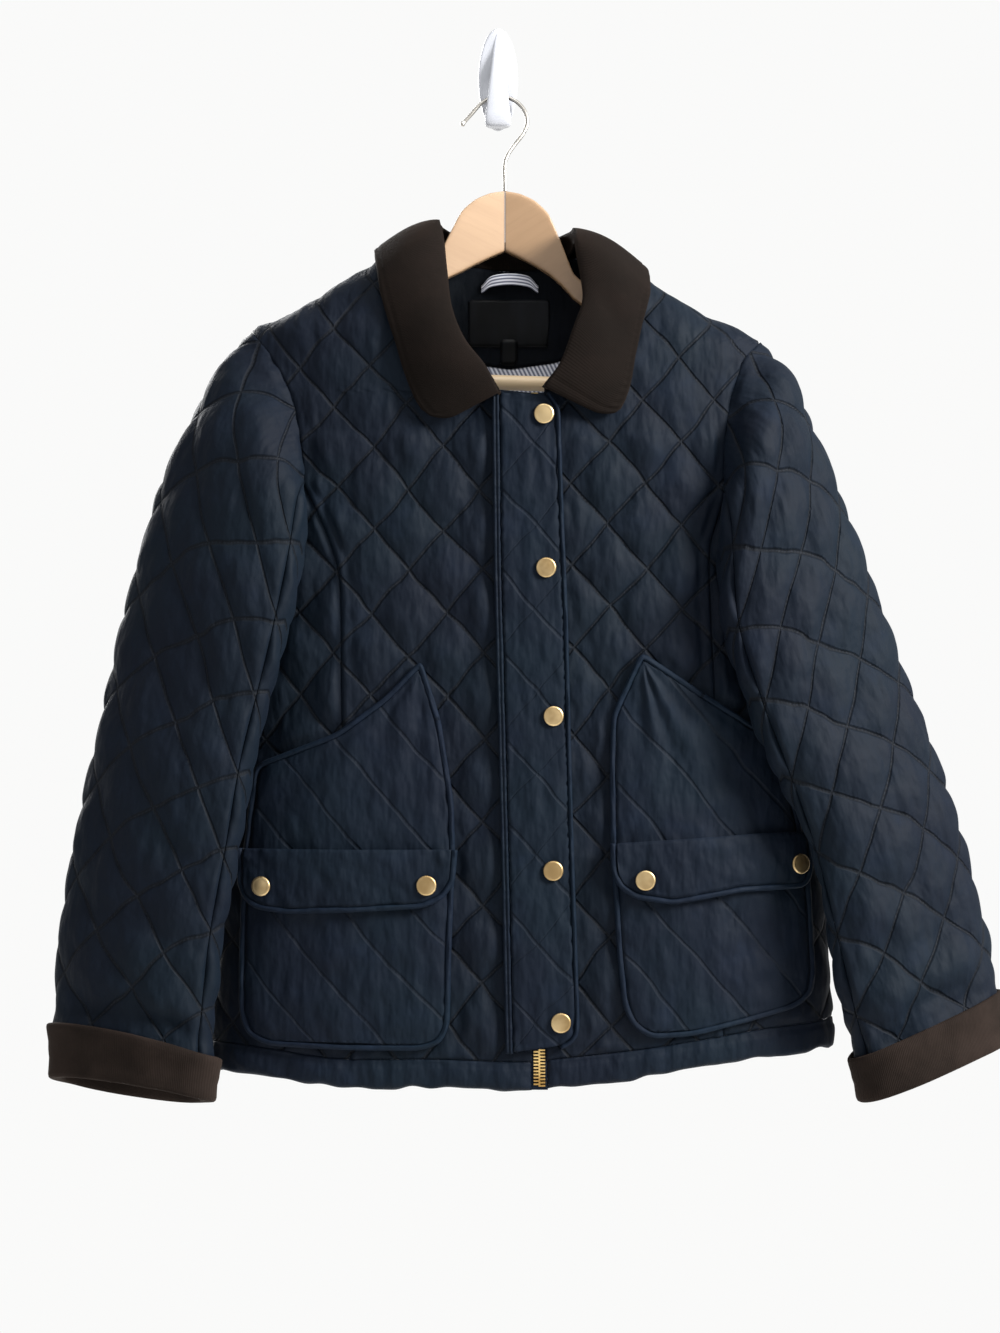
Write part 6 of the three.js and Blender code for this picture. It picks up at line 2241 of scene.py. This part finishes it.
@dataclass
class Placket(Laid):
    """The placket with its binding and the welt on its left."""

    LEFT = ((1.5, -264), (3, -400), (6, -514), (9, -633), (12, -774))
    RIGHT = ((40, -264), (48, -275), (50, -340), (54, -440), (58, -600), (63, -752))
    BOTTOM = ((62, -760), (57, -767), (49, -771))

    def build(self) -> None:
        """Builds the placket, its binding and its welt."""
        right = np.array(self.RIGHT + self.BOTTOM, float)
        edge = rounded(resample(right, 2.6, closed=False), 3, closed=False)
        inner_edge = inset(edge, BINDING_WIDTH + 0.2, closed=False)
        left_edge = np.array(self.LEFT[::-1][1:], float)
        outline = np.concatenate([inner_edge, [(12.0, -773.7)], left_edge])
        outline = clockwise(outline)
        outline = rounded(resample(outline, 2.2), 1)
        x, z = self.grid(outline, True)
        border = self.border(x, z, outline)

        def height(px: Array, pz: Array) -> Array:
            """Faint pillows, an upright soft fold, dents round the snaps and a rolled edge."""
            s = self.body.length_at(Side.FRONT, px, pz)
            lattice = RIGHT_QUILT.lattice(s, pz)
            soft = 0.7 * pillows(lattice, 0.5) + crumples(px, pz, 95, 0.8)
            centre = np.interp(-pz, [264, 774], [20, 33])
            fold = 0.9 * bell((px - centre) / 5.0) * (0.5 + 0.5 * noise(pz / 60.0, 0 * pz, 97))
            dent = np.zeros_like(px)
            for _, snap_x, snap_z, flap in SNAPS:
                if not flap:
                    dent -= 1.1 * bell(np.hypot(px - snap_x, pz - snap_z) / 12.0)
            stitch = -0.7 * bell((border - 5.5) / 0.9)
            roll = np.sqrt(np.clip(1 - (1 - np.clip(border / 1.6, 0, 1)) ** 2, 0.05, 1))
            return roll * soft_limit(CLOTH + soft + fold + dent + stitch, 1.0, 5.0)

        sheets, base = self.sheets(x, z, LAY_INNER, height, RIGHT_QUILT)
        made = wall("placket_cloth", sheets)
        flat, area = cut_size(base)
        finishes = self.shop.finishes
        self.shop.take(
            made, "placket", "navy", (finishes.placket, finishes.plain), flat, area,
            rests_on=("front_left_quilted", "front_right_quilted"),
        )
        self.strip("placket_edge", "placket_binding", edge, BINDING_WIDTH, LAY_INNER, 3.7, False, 1.0, 0.16)
        self.welt()

    def welt(self) -> None:
        """The welt beside the placket: a strip with two stitched ridges."""
        left = rounded(resample(np.array(self.LEFT, float), 2.6, closed=False), 3, closed=False)
        width = 6.0
        w = np.linspace(0, 1, 13)[:, None]
        x = left[None, :, 0] - SEAM_GAP - width * w
        z = left[None, :, 1] + 0 * w
        base, out = self.body.under(x, z, LAY_INNER + 1.5)
        ridge = 1.9 + 1.1 * np.abs(np.sin(2 * np.pi * w)) ** 0.7
        rise = ridge * np.sqrt(np.clip(1 - (2 * w - 1) ** 6, 0.1, 1)) + 0.25 * noise(z / 9.0, 3 * w, 99)
        uv = np.stack([z, width * w + 0 * z], -1)
        face = base + out * (LAY_INNER + rise)[..., None]
        made = wall("placket_welt_cloth", Sheets(face, base + out * LAY_INNER, uv))
        plain = self.shop.finishes.plain
        self.shop.take(
            made, "placket_welt", "navy", (plain, plain), (510.0, TAPE_FLAT), 510.0 * WELT_FACE,
            held="stretched",
        )


SNAPS = (
    ("snap_placket_1", 35.3, -282.0, False), ("snap_placket_2", 36.8, -400.0, False),
    ("snap_placket_3", 42.2, -514.0, False), ("snap_placket_4", 42.2, -633.0, False),
    ("snap_placket_5", 48.3, -750.0, False), ("snap_flap_left_1", -178.0, -646.0, True),
    ("snap_flap_left_2", -55.0, -644.0, True), ("snap_flap_right_1", 113.5, -640.0, True),
    ("snap_flap_right_2", 228.0, -630.0, True),
)


@dataclass
class Pockets(Laid):
    """The patch pockets and their flaps."""

    EDGE_WIDTH = 4.6

    OUTLINES = {
        Arm.LEFT: (
            (-59, -470), (-88, -500), (-125, -527), (-190, -552), (-199, -620), (-202, -700),
            (-202, -745), (-196, -762), (-180, -770), (-120, -772), (-60, -772), (-44, -767),
            (-37, -752), (-36, -700), (-33, -620), (-34, -580), (-44, -517),
        ),
        Arm.RIGHT: (
            (110, -464), (87, -514), (86, -560), (87, -620), (92, -700), (96, -738), (104, -754),
            (118, -763), (150, -761), (190, -752), (233, -741), (246, -731), (248, -715),
            (244, -640), (231, -570), (211, -528), (160, -497),
        ),
    }
    FLAPS = {
        Arm.LEFT: (
            (-203, -617), (-203, -645), (-198, -657), (-188, -664), (-165, -667), (-110, -665),
            (-58, -662), (-42, -655), (-33, -642), (-31, -617),
        ),
        Arm.RIGHT: (
            (86, -612), (87, -634), (93, -647), (106, -655), (135, -659), (188, -650), (238, -648),
            (243, -643), (246, -634), (246, -604), (200, -605),
        ),
    }

    def pocket(self, arm: Arm) -> None:
        """A pocket: faintly quilted cloth with gathers that spread from its highest point."""
        name = arm.name.lower()
        quilting = LEFT_QUILT if arm is Arm.LEFT else RIGHT_QUILT
        outline = clockwise(np.array(self.OUTLINES[arm], float))
        edge = rounded(resample(outline, 2.8), 6)
        inside = inset(edge, self.EDGE_WIDTH - 0.1)
        x, z = self.grid(inside, True)
        border = self.border(x, z, inside)
        apex = outline[np.argmax(outline[:, 1])]

        def height(px: Array, pz: Array) -> Array:
            """Soft pillows, rays from the apex, slack waves above the bottom, a rolled edge."""
            s = self.body.length_at(Side.FRONT, px, pz)
            lattice = quilting.lattice(s, pz)
            far = np.hypot(px - apex[0], pz - apex[1])
            turn = np.arctan2(px - apex[0], apex[1] - pz)
            rays = np.sin(turn * 17 + 2.0 * noise(far / 40.0, turn * 2, 105)) * bell((far - 45) / 75.0)
            slack = noise((px + 0.3 * pz) / 34.0, (pz - 0.2 * px) / 15.0, 107 + arm.value)
            puff = 0.7 + 1.0 * smooth(-pz, 600, 650)
            one = np.abs(np.sin(np.pi * lattice[..., 0])) ** 0.7
            other = 0.55 + 0.45 * np.abs(np.sin(np.pi * lattice[..., 1])) ** 0.7
            soft = puff * one * other + crumples(s, pz, 101 + arm.value, 0.9)
            fade = smooth(border, 1.0, 9.0)
            roll = np.sqrt(np.clip(1 - (1 - np.clip(border / 1.5, 0, 1)) ** 2, 0.3, 1))
            return soft_limit((CLOTH - 0.2) * roll + fade * (soft + 1.3 * rays + 1.1 * slack), 0.9, 5.9)

        sheets, base = self.sheets(x, z, LAY_INNER, height, quilting)
        made = wall(f"pocket_{name}_quilted", sheets)
        flat, area = cut_size(base)
        finishes = self.shop.finishes
        self.shop.take(
            made, f"pocket_{name}", "navy", (finishes.pocket, finishes.plain), flat, area,
            rests_on=(f"front_{name}_quilted", f"front_side_{name}_quilted"),
        )
        self.strip(
            f"pocket_edge_{name}", f"pocket_binding_{name}", edge, self.EDGE_WIDTH, LAY_INNER, 3.0, True,
            1.0, 0.2,
        )

    def flap(self, arm: Arm) -> None:
        """A flap: plain cloth with a bound lower edge, its top edge turned in."""
        name = arm.name.lower()
        quilting = LEFT_QUILT if arm is Arm.LEFT else RIGHT_QUILT
        outline = np.array(self.FLAPS[arm], float)
        last = len(outline) if arm is Arm.LEFT else len(outline) - 1
        lower = rounded(resample(outline[:last], 2.6, closed=False), 3, closed=False)
        inner_line = inset(lower, -(self.EDGE_WIDTH - 0.1), closed=False)
        cap = outline[last:][::1] if arm is Arm.RIGHT else np.zeros((0, 2))
        body_line = np.concatenate([inner_line, cap])
        body_line = resample(clockwise(body_line), 2.2)
        x, z = self.grid(body_line, False)
        border = self.border(x, z, inner_line)
        top_line = np.interp(x[:, :1], [outline[0, 0], outline[-1, 0]], [outline[0, 1], outline[-1, 1]])
        snaps = [(sx, sz) for _, sx, sz, flap in SNAPS if flap and (sx < 0) == (arm is Arm.LEFT)]

        def height(px: Array, pz: Array) -> Array:
            """Slack waves, pulled in round the snaps, thinner at the sewn top edge."""
            slack = noise(px / 22.0, pz / 18.0, 113 + arm.value)
            slack = slack + 0.6 * noise((px + pz) / 9.0, pz / 12.0, 117)
            dent = np.zeros_like(px)
            for snap_x, snap_z in snaps:
                dent -= 1.0 * bell(np.hypot(px - snap_x, pz - snap_z) / 11.0)
            sewn = smooth(top_line - pz, 0.0, 7.0)
            stitch = -0.5 * bell((border - 3.2) / 0.8)
            folds = crumples(px, pz, 121, 0.8)
            return soft_limit((CLOTH + slack + folds + dent + stitch) * (0.5 + 0.5 * sewn), 0.9, 4.6)

        sheets, base = self.sheets(x, z, FLAP_INNER, height, quilting)
        made = wall(f"flap_{name}_cloth", sheets)
        flat, area = cut_size(base)
        finishes = self.shop.finishes
        self.shop.take(
            made, f"flap_{name}", "navy", (finishes.plain, finishes.plain), flat, area,
            rests_on=(f"pocket_{name}_quilted",),
        )
        self.strip(
            f"flap_edge_{name}", f"flap_binding_{name}", lower, self.EDGE_WIDTH, FLAP_INNER, 3.3, False,
            -1.0, 0.2,
        )

    def build(self) -> None:
        """Builds both pockets and both flaps."""
        for arm in Arm:
            self.pocket(arm)
            self.flap(arm)


@dataclass
class Snaps:
    """The brass snap caps.

    Attributes:
        body: the body's form.
        shop: takes the pieces in.
        radius: a cap's radius; not used.
    """

    body: Body
    shop: Workshop
    radius: float = 7.8

    def build(self) -> None:
        """Builds each cap: a profile turned round its axis, rim, groove and soft dome."""
        profile = np.array(
            [
                (0.0, 0.0), (7.3, 0.0), (7.7, 0.35), (7.8, 0.8), (7.75, 1.2), (7.5, 1.6), (7.1, 1.9),
                (6.6, 2.1), (6.1, 2.15), (5.8, 2.12), (4.6, 2.25), (3.0, 2.38), (1.2, 2.46), (0.05, 2.48),
            ]
        )
        angle = np.linspace(0, 2 * np.pi, 40, endpoint=False)
        for name, x, z, flap in SNAPS:
            px, pz = np.array([x]), np.array([z])
            out = self.body.normal(Side.FRONT, px, pz, 4.0)[0]
            centre = np.array([x, self.body.depth(Side.FRONT, px, pz)[0], z])
            centre = centre + out * ((FLAP_OUTER if flap else POCKET_OUTER) + 0.65)
            right = unit(np.cross(out, np.array([0.0, 0.0, 1.0])))
            up = np.cross(right, out)
            ring = right[None] * np.cos(angle)[:, None] + up[None] * np.sin(angle)[:, None]
            points = centre + ring[None] * profile[1:, 0][:, None, None] + out * profile[1:, 1][:, None, None]
            made = loft(f"{name}_cap", points)
            self.shop.take(made, name, "brass", (self.shop.finishes.brass,))


@dataclass
class NeckInside:
    """What shows inside the neck: facing, lining strip, bare labels and hanging loop.

    Attributes:
        body: the body's form.
        shop: takes the pieces in.
    """

    body: Body
    shop: Workshop

    FACING = (
        (-58, -150), (-50, -145.5), (-30, -152.6), (5, -157.6), (38, -155.6), (58, -148), (78, -149.5),
        (88, -200), (74, -222), (46, -231), (10, -236), (-22, -232), (-46, -222), (-66, -200),
    )
    STRIP = (
        (-50, -206), (-22, -231), (10, -237), (42, -229), (64, -206), (66, -278), (-52, -278),
    )

    def patch(
        self, name: str, node: str, slot: str, outline: Array, inner: float, outer: float,
        material: bpy.types.Material, waves: float,
    ) -> None:
        """A patch on the back's inner face.

        Args:
            name: the piece's name.
            node: the node that it stands for.
            slot: its material slot.
            outline: closed line, x and z.
            inner: offset of the face towards the body, negative inwards.
            outer: offset of the seen face.
            material: its material.
            waves: how uneven the seen face is.
        """
        lay = Laid(self.body, self.shop, 2.4)
        x, z = lay.grid(rounded(resample(clockwise(outline), 2.0), 1), False)
        y = self.body.depth(Side.BACK, x, z)
        base = np.stack([x, y, z], -1)
        out = self.body.normal(Side.BACK, x, z)
        soft = waves * (noise(x / 12.0, z / 16.0, 131) + 0.4 * noise(x / 5.0, z / 9.0, 133))
        seen = base + out * (outer - np.abs(soft))[..., None]
        made = wall(name, Sheets(seen, base + out * inner, np.stack([x, z], -1)))
        flat, area = cut_size(base)
        self.shop.take(
            made, node, slot, (material, material), flat, area,
            held="laid", rests_on=("back_quilted",),
        )

    def build(self) -> None:
        """Builds the patches and the loop."""
        finishes = self.shop.finishes
        facing, strip = np.array(self.FACING, float), np.array(self.STRIP, float)
        self.patch(
            "neck_facing_cloth", "neck_facing", "navy", facing, -0.3, -1.5, finishes.facing, 0.05
        )
        self.patch(
            "lining_strip_cloth", "lining_strip", "lining", strip, -0.3, -0.9, finishes.lining, 0.05
        )
        label = np.array([(-24, -180), (42, -180), (42, -218), (-24, -218)], float)
        self.patch("neck_label_satin", "neck_label", "label", label, -1.6, -2.1, finishes.satin, 0.35)
        tab = np.array([(1.5, -212), (16, -212), (16, -233), (1.5, -233)], float)
        self.patch("size_tab_satin", "size_tab", "label", tab, -2.6, -3.0, finishes.satin, 0.1)
        self.loop()

    def loop(self) -> None:
        """The hanging loop: a strap bowed off the facing, its ends gathered."""
        u = np.linspace(0, 1, 60)[None, :]
        v = np.linspace(-0.5, 0.5, 11)[:, None]
        pinch = 1 - 0.35 * bell(u / 0.12) - 0.35 * bell((1 - u) / 0.12)
        x = -13 + 45 * u + 0 * v
        z = -166 - 1.5 + 3 * np.sin(np.pi * u) + 9 * v * pinch - 4.5 * (bell(u / 0.1) + bell((1 - u) / 0.1))
        bow = 6 * np.sin(np.pi * u) ** 0.8 + 0.7 * np.sin(2 * np.pi * v * 1.5) * (1 - pinch)
        y = self.body.depth(Side.BACK, x, z) - 2.9 - bow
        base = np.stack([x, y, z + 0 * x], -1)
        normals = grid_normals(base)
        normals = normals * np.where(normals[..., 1:2] > 0, -1.0, 1.0)
        uv = np.stack([9 * v + 0 * u, 50 * u + 0 * v], -1)
        made = wall("hanging_loop_strap", Sheets(base + normals * 1.1, base, uv))
        loop = self.shop.finishes.loop
        self.shop.take(
            made, "hanging_loop", "lining", (loop, loop), LOOP_SIZE, None,
            held="stretched", rests_on=("neck_facing_cloth",),
        )


@dataclass
class Zip:
    """The closed zip: its tape and interlocked teeth.

    Attributes:
        body: the body's form.
        shop: takes the pieces in.
        pitch: distance between the teeth of one side.
    """

    body: Body
    shop: Workshop
    pitch: float = 2.5

    def build(self) -> None:
        """Builds the tape as a thin wall and the teeth as one joined mesh from arrays."""
        z = np.linspace(-264.5, -802.5, 182)[None, :] + np.zeros((9, 1))
        w = np.linspace(-1, 1, 9)[:, None]
        x = self.body.zip_line.read("x", z) + 6.5 * w
        base, out = self.body.under(x, z, 1.2)
        rise = 1.0 + 0.25 * noise(z / 6.0, 2 * w, 141)
        uv = np.stack([x, z], -1)
        tape = wall("zip_tape", Sheets(base + out * (0.5 + rise)[..., None], base + out * 0.5, uv))
        binding = self.shop.finishes.binding
        self.shop.take(tape, "zip", "navy", (binding, binding), ZIP_TAPE_SIZE, None, held="stretched")
        count = int(536 / self.pitch)
        rows = np.arange(2 * count)
        place_z = -265.5 - rows * self.pitch / 2
        side = np.where(rows % 2 == 0, -1.0, 1.0)
        centre_x = self.body.zip_line.read("x", place_z) + side * 1.9
        centre, normal = self.body.under(centre_x, place_z, 2.2)
        centre = centre + normal * 2.2
        right = unit(np.cross(normal, np.array([0.0, 0.0, 1.0])))
        up = np.cross(right, normal)
        box = np.array([(a, b, c) for a in (-1, 1) for b in (-1, 1) for c in (-1, 1)], float)
        size = np.array([2.9, 0.85, 0.75])
        scaled = box[None] * size
        scaled = scaled * np.where(box[None, :, 2:3] > 0, np.array([0.86, 0.7, 1.0]), 1.0)
        points = (
            centre[:, None]
            + right[:, None] * scaled[..., 0:1] * 1.0
            + up[:, None] * scaled[..., 1:2]
            + normal[:, None] * scaled[..., 2:3]
        )
        quads = np.array([(0, 1, 3, 2), (4, 6, 7, 5), (0, 4, 5, 1), (2, 3, 7, 6), (0, 2, 6, 4), (1, 5, 7, 3)])
        faces = (quads[None] + 8 * np.arange(len(rows))[:, None, None]).reshape(-1, 4)
        flat = points.reshape(-1, 3)
        corner = flat[faces]
        facing = np.cross(corner[:, 2] - corner[:, 0], corner[:, 3] - corner[:, 1])
        away = corner.mean(1) - np.repeat(points.mean(1), 6, axis=0)
        wrong = (facing * away).sum(-1) < 0
        faces[wrong] = faces[wrong][:, ::-1]
        made = mesh_object("zip_teeth", flat, [faces], sharp=len(faces))
        self.shop.take(made, "", "brass", (self.shop.finishes.teeth,))


@dataclass
class Hanger:
    """The two-piece wooden hanger, its bar and its wire hook.

    Attributes:
        shop: takes the pieces in.
        joint: x of the joint.
        thickness: the arms' thickness.
    """

    shop: Workshop
    joint: float = 5.6
    thickness: float = 12.0

    EDGE = (
        (0.15, -94.4, -142.7, 0), (12, -96.5, -148, 0.5), (24, -102, -154, 1), (35, -112, -160, 2),
        (45, -131, -165, 6), (55, -151, -171, 11), (68, -160, -179, 13), (100, -177, -200, 15),
        (140, -199, -223, 14), (157.5, -210, -240, 12), (157.8, -210.2, -258, 12), (172, -221, -259, 11),
        (178, -231, -250, 11),
    )
    WIRE = (
        (5.6, -20.5, -93.6), (5.6, -19.5, -71), (8, -18.4, -64), (14, -16.4, -55), (20.2, -14.6, -46.5),
        (23.6, -12.6, -37), (21, -10.6, -26.5), (13.8, -9, -18.8), (4.8, -8.2, -15.4),
        (-4.9, -8.4, -16.2), (-14, -9.6, -21.5), (-22, -11, -30.5), (-30, -12, -39.5),
    )

    def arm(self, arm: Arm) -> None:
        """An arm: sections of a rounded box carried outwards along the curved outline."""
        data = np.array(self.EDGE, float)
        out = np.unique(np.concatenate([np.linspace(0.15, 178, 110), [0.4, 0.7, 1.1], data[:, 0]]))
        drop = np.interp(out, data[:, 0], data[:, 3]) if arm is Arm.RIGHT else 0 * out
        upper = Table("out z", tuple((row[0], row[1]) for row in self.EDGE if row[0] != 157.8))
        top = np.interp(out, data[:, 0], data[:, 1]) * 0.35 + upper.read("z", out) * 0.65 - drop
        low = np.interp(out, data[:, 0], data[:, 2]) - drop
        taper = np.sqrt(np.clip(1 - (np.clip(out - 170, 0, None) / 9.5) ** 2, 0.12, 1))
        middle, half = (top + low) / 2, (top - low) / 2
        sweep = -21 + (-52 + 21) * np.clip(out / 188, 0, 1)
        angle = np.linspace(0, 2 * np.pi, 48, endpoint=False)
        cosine, sine = signed_power(np.cos(angle), 0.22), signed_power(np.sin(angle), 0.22)
        x = self.joint + arm.value * out
        points = np.stack(
            [
                np.broadcast_to(x[:, None], (len(out), len(angle))),
                sweep[:, None] + self.thickness / 2 * cosine[None] * taper[:, None],
                middle[:, None] + half[:, None] * sine[None],
            ],
            -1,
        )
        name = arm.name.lower()
        made = loft(f"hanger_{name}_wood", points)
        finishes = self.shop.finishes
        material = finishes.maple_left if arm is Arm.LEFT else finishes.maple_right
        self.shop.take(made, f"hanger_arm_{name}", "wood", (material,))

    def bar(self) -> None:
        """The bar: a round rod with softly rounded ends, tilted a little."""
        t = np.linspace(-1, 1, 60)
        along = 157.2 * np.sign(t) * (1 - (1 - np.abs(t)) ** 1.6)
        radius = 6.0 * np.sqrt(np.clip(1 - (np.clip(np.abs(along) - 155.6, 0, None) / 1.7) ** 2, 0.3, 1))
        angle = np.linspace(0, 2 * np.pi, 28, endpoint=False)
        x = self.joint + along
        z = -250.5 - 0.03 * along
        points = np.stack(
            [
                np.broadcast_to(x[:, None], (60, 28)),
                -46 + radius[:, None] * np.cos(angle)[None],
                z[:, None] + radius[:, None] * np.sin(angle)[None],
            ],
            -1,
        )
        made = loft("hanger_bar_wood", points)
        self.shop.take(made, "hanger_bar", "wood", (self.shop.finishes.bar,))

    def wire(self) -> None:
        """The wire hook: a round tube along its route, with a small ball at the tip."""
        path = evenly(catmull(np.array(self.WIRE, float), 24), np.linspace(0, 1, 170))
        tangent = unit(np.gradient(path, axis=0))
        across = unit(np.cross(tangent, np.array([0.0, 1.0, 0.0])))
        other = np.cross(tangent, across)
        length = np.concatenate([[0], np.cumsum(np.linalg.norm(np.diff(path, axis=0), axis=-1))])
        left = length[-1] - length
        ball = np.sqrt(np.clip(1 - ((left - 2.1) / 2.1) ** 2, 0, 1)) * 2.2
        radius = np.maximum(np.where(left < 0.2, 0.4, 1.6), ball)
        radius = np.where(left < 2.1, ball + 0.15, radius)
        angle = np.linspace(0, 2 * np.pi, 20, endpoint=False)
        ring = across[:, None] * np.cos(angle)[None, :, None] + other[:, None] * np.sin(angle)[None, :, None]
        made = loft("hanger_hook_wire", path[:, None] + ring * radius[:, None, None])
        self.shop.take(made, "hanger_wire", "steel", (self.shop.finishes.steel,))

    def build(self) -> None:
        """Builds the hanger."""
        for arm in Arm:
            self.arm(arm)
        self.bar()
        self.wire()


@dataclass
class WallHook:
    """The white wall hook: a long oval plate and the tongue in front of it.

    Attributes:
        shop: takes the pieces in.
    """

    shop: Workshop

    def build(self) -> None:
        """Builds the plate and the tongue.

        The plate is an oval whose height falls off with a steep power of the radius, and a
        ridge along its middle. The tongue is an oval section carried up a side profile.
        """
        angle = np.linspace(0, 2 * np.pi, 72, endpoint=False)
        radii = np.array([1.0, 1.0, 0.995, 0.98, 0.95, 0.9, 0.8, 0.65, 0.5, 0.35, 0.2, 0.08, 0.01])
        heights = np.array([0.0, 1.6, 2.4, 3.1, 3.6, 3.8, 3.9, 3.95, 4.0, 4.0, 4.0, 4.0, 4.0])
        x = radii[:, None] * 16.0 * np.cos(angle)[None]
        z = radii[:, None] * 41.5 * np.sin(angle)[None]
        ridge = 1.6 * bell(x / 6.0) * bell((z - 12) / 26.0) * smooth(1 - radii[:, None], 0.02, 0.4)
        plate = loft("wall_hook_plate", np.stack([x, -(heights[:, None] + ridge), z], -1))
        plastic = self.shop.finishes.plastic
        self.shop.take(plate, "wall_hook", "plastic", (plastic,))
        side = np.array(
            [
                (-2.5, -36.5, 5.5, 2.2), (-5.0, -38.0, 8.0, 2.6), (-9.0, -38.6, 9.8, 2.6), (-12.4, -37.6, 10.4, 2.6),
                (-14.0, -33.0, 10.2, 2.3), (-14.2, -26.0, 9.4, 2.0), (-14.1, -18.0, 8.4, 1.8),
                (-13.4, -10.0, 7.6, 1.8), (-12.0, -2.0, 6.8, 2.0), (-9.8, 6.0, 6.0, 2.2), (-7.2, 14.0, 5.2, 2.2),
                (-5.2, 22.0, 4.2, 1.6), (-4.3, 30.0, 3.0, 0.9), (-3.9, 36.0, 1.4, 0.4),
            ],
            float,
        )
        path = catmull(side, 6)
        centre = np.stack([0 * path[:, 0], path[:, 0], path[:, 1]], -1)
        tangent = unit(np.gradient(centre, axis=0))
        normal = np.cross(tangent, np.array([1.0, 0.0, 0.0]))
        cosine, sine = signed_power(np.cos(angle), 0.8), signed_power(np.sin(angle), 0.8)
        points = (
            centre[:, None]
            + np.array([1.0, 0.0, 0.0]) * (path[:, 2:3] * cosine[None])[..., None]
            + normal[:, None] * (path[:, 3:4] * sine[None])[..., None]
        )
        tongue = loft("wall_hook_tongue", points)
        self.shop.take(tongue, "", "plastic", (plastic,))


@dataclass
class Studio:
    """Camera, light and floor.

    Attributes:
        distance: how far the camera stands from the wall, in metres.
        lens: the lens in millimetres, for a 36 mm long side.
    """

    distance: float = 2.2
    lens: float = 73.2

    def light(self, name: str, place: tuple, turn: tuple, size: float, power: float, tint: tuple) -> None:
        """An area light.

        Args:
            name: its name.
            place: where it is, in metres.
            turn: its rotation in degrees.
            size: its side in metres.
            power: its power in watts.
            tint: its colour.
        """
        data = bpy.data.lights.new(name, "AREA")
        data.shape = "SQUARE"
        data.size = size
        data.energy = power
        data.color = tint
        lamp = bpy.data.objects.new(name, data)
        lamp.location = place
        lamp.rotation_euler = tuple(np.radians(turn))
        bpy.context.scene.collection.objects.link(lamp)

    def build(self, finishes: Finishes) -> None:
        """Sets up camera, world, lights and floor.

        Args:
            finishes: the materials.
        """
        data = bpy.data.cameras.new("camera")
        data.lens = self.lens
        data.sensor_width = 36.0
        data.sensor_fit = "AUTO"
        data.clip_start, data.clip_end = 0.01, 100.0
        camera = bpy.data.objects.new("camera", data)
        camera.location = (0.0016, -self.distance, -0.476)
        camera.rotation_euler = (np.pi / 2, 0.0, 0.0)
        scene = bpy.context.scene
        scene.collection.objects.link(camera)
        scene.camera = camera
        world = bpy.data.worlds.new("studio")
        world.use_nodes = True
        background = world.node_tree.nodes["Background"]
        background.inputs["Color"].default_value = (0.955, 0.955, 0.95, 1.0)
        background.inputs["Strength"].default_value = 1.0
        scene.world = world
        scene.view_settings.view_transform = "Standard"
        scene.view_settings.look = "None"
        scene.view_settings.exposure = 0.0
        self.light("key", (2.1, -1.2, 0.75), (60, 0, 61), 0.9, 330.0, (1.0, 0.985, 0.96))
        self.light("fill", (-1.6, -1.9, 0.1), (80, 0, -40), 1.8, 9.0, (0.93, 0.96, 1.0))
        self.light("behind", (-1.2, 2.1, 0.6), (-66, 0, 30), 1.4, 110.0, (1.0, 1.0, 1.0))
        self.light("top", (0.1, -0.9, 1.5), (22, 0, 0), 1.2, 26.0, (1.0, 1.0, 1.0))
        half = 3.0
        corners = np.array([(-half, -half, 0), (half, -half, 0), (half, half, 0), (-half, half, 0)]) * 1000
        corners[:, 2] = -1900.0
        floor = mesh_object("floor", corners, [np.array([[0, 1, 2, 3]])])
        floor.data.materials.append(finishes.floor)


def main() -> None:
    """Builds the jacket, the hanger and the hook in order, then the studio."""
    logging.basicConfig(level=logging.INFO, format="%(name)s: %(message)s")
    finishes = Finishes()
    shop = Workshop(finishes)
    body = Body()
    Panels(body, shop).build()
    for arm in Arm:
        Sleeve(arm, body, shop).build()
    Collar(body, shop).build()
    Placket(body, shop).build()
    Pockets(body, shop).build()
    Snaps(body, shop).build()
    NeckInside(body, shop).build()
    Zip(body, shop).build()
    Hanger(shop).build()
    WallHook(shop).build()
    Studio().build(finishes)


if __name__ == "__main__":
    main()
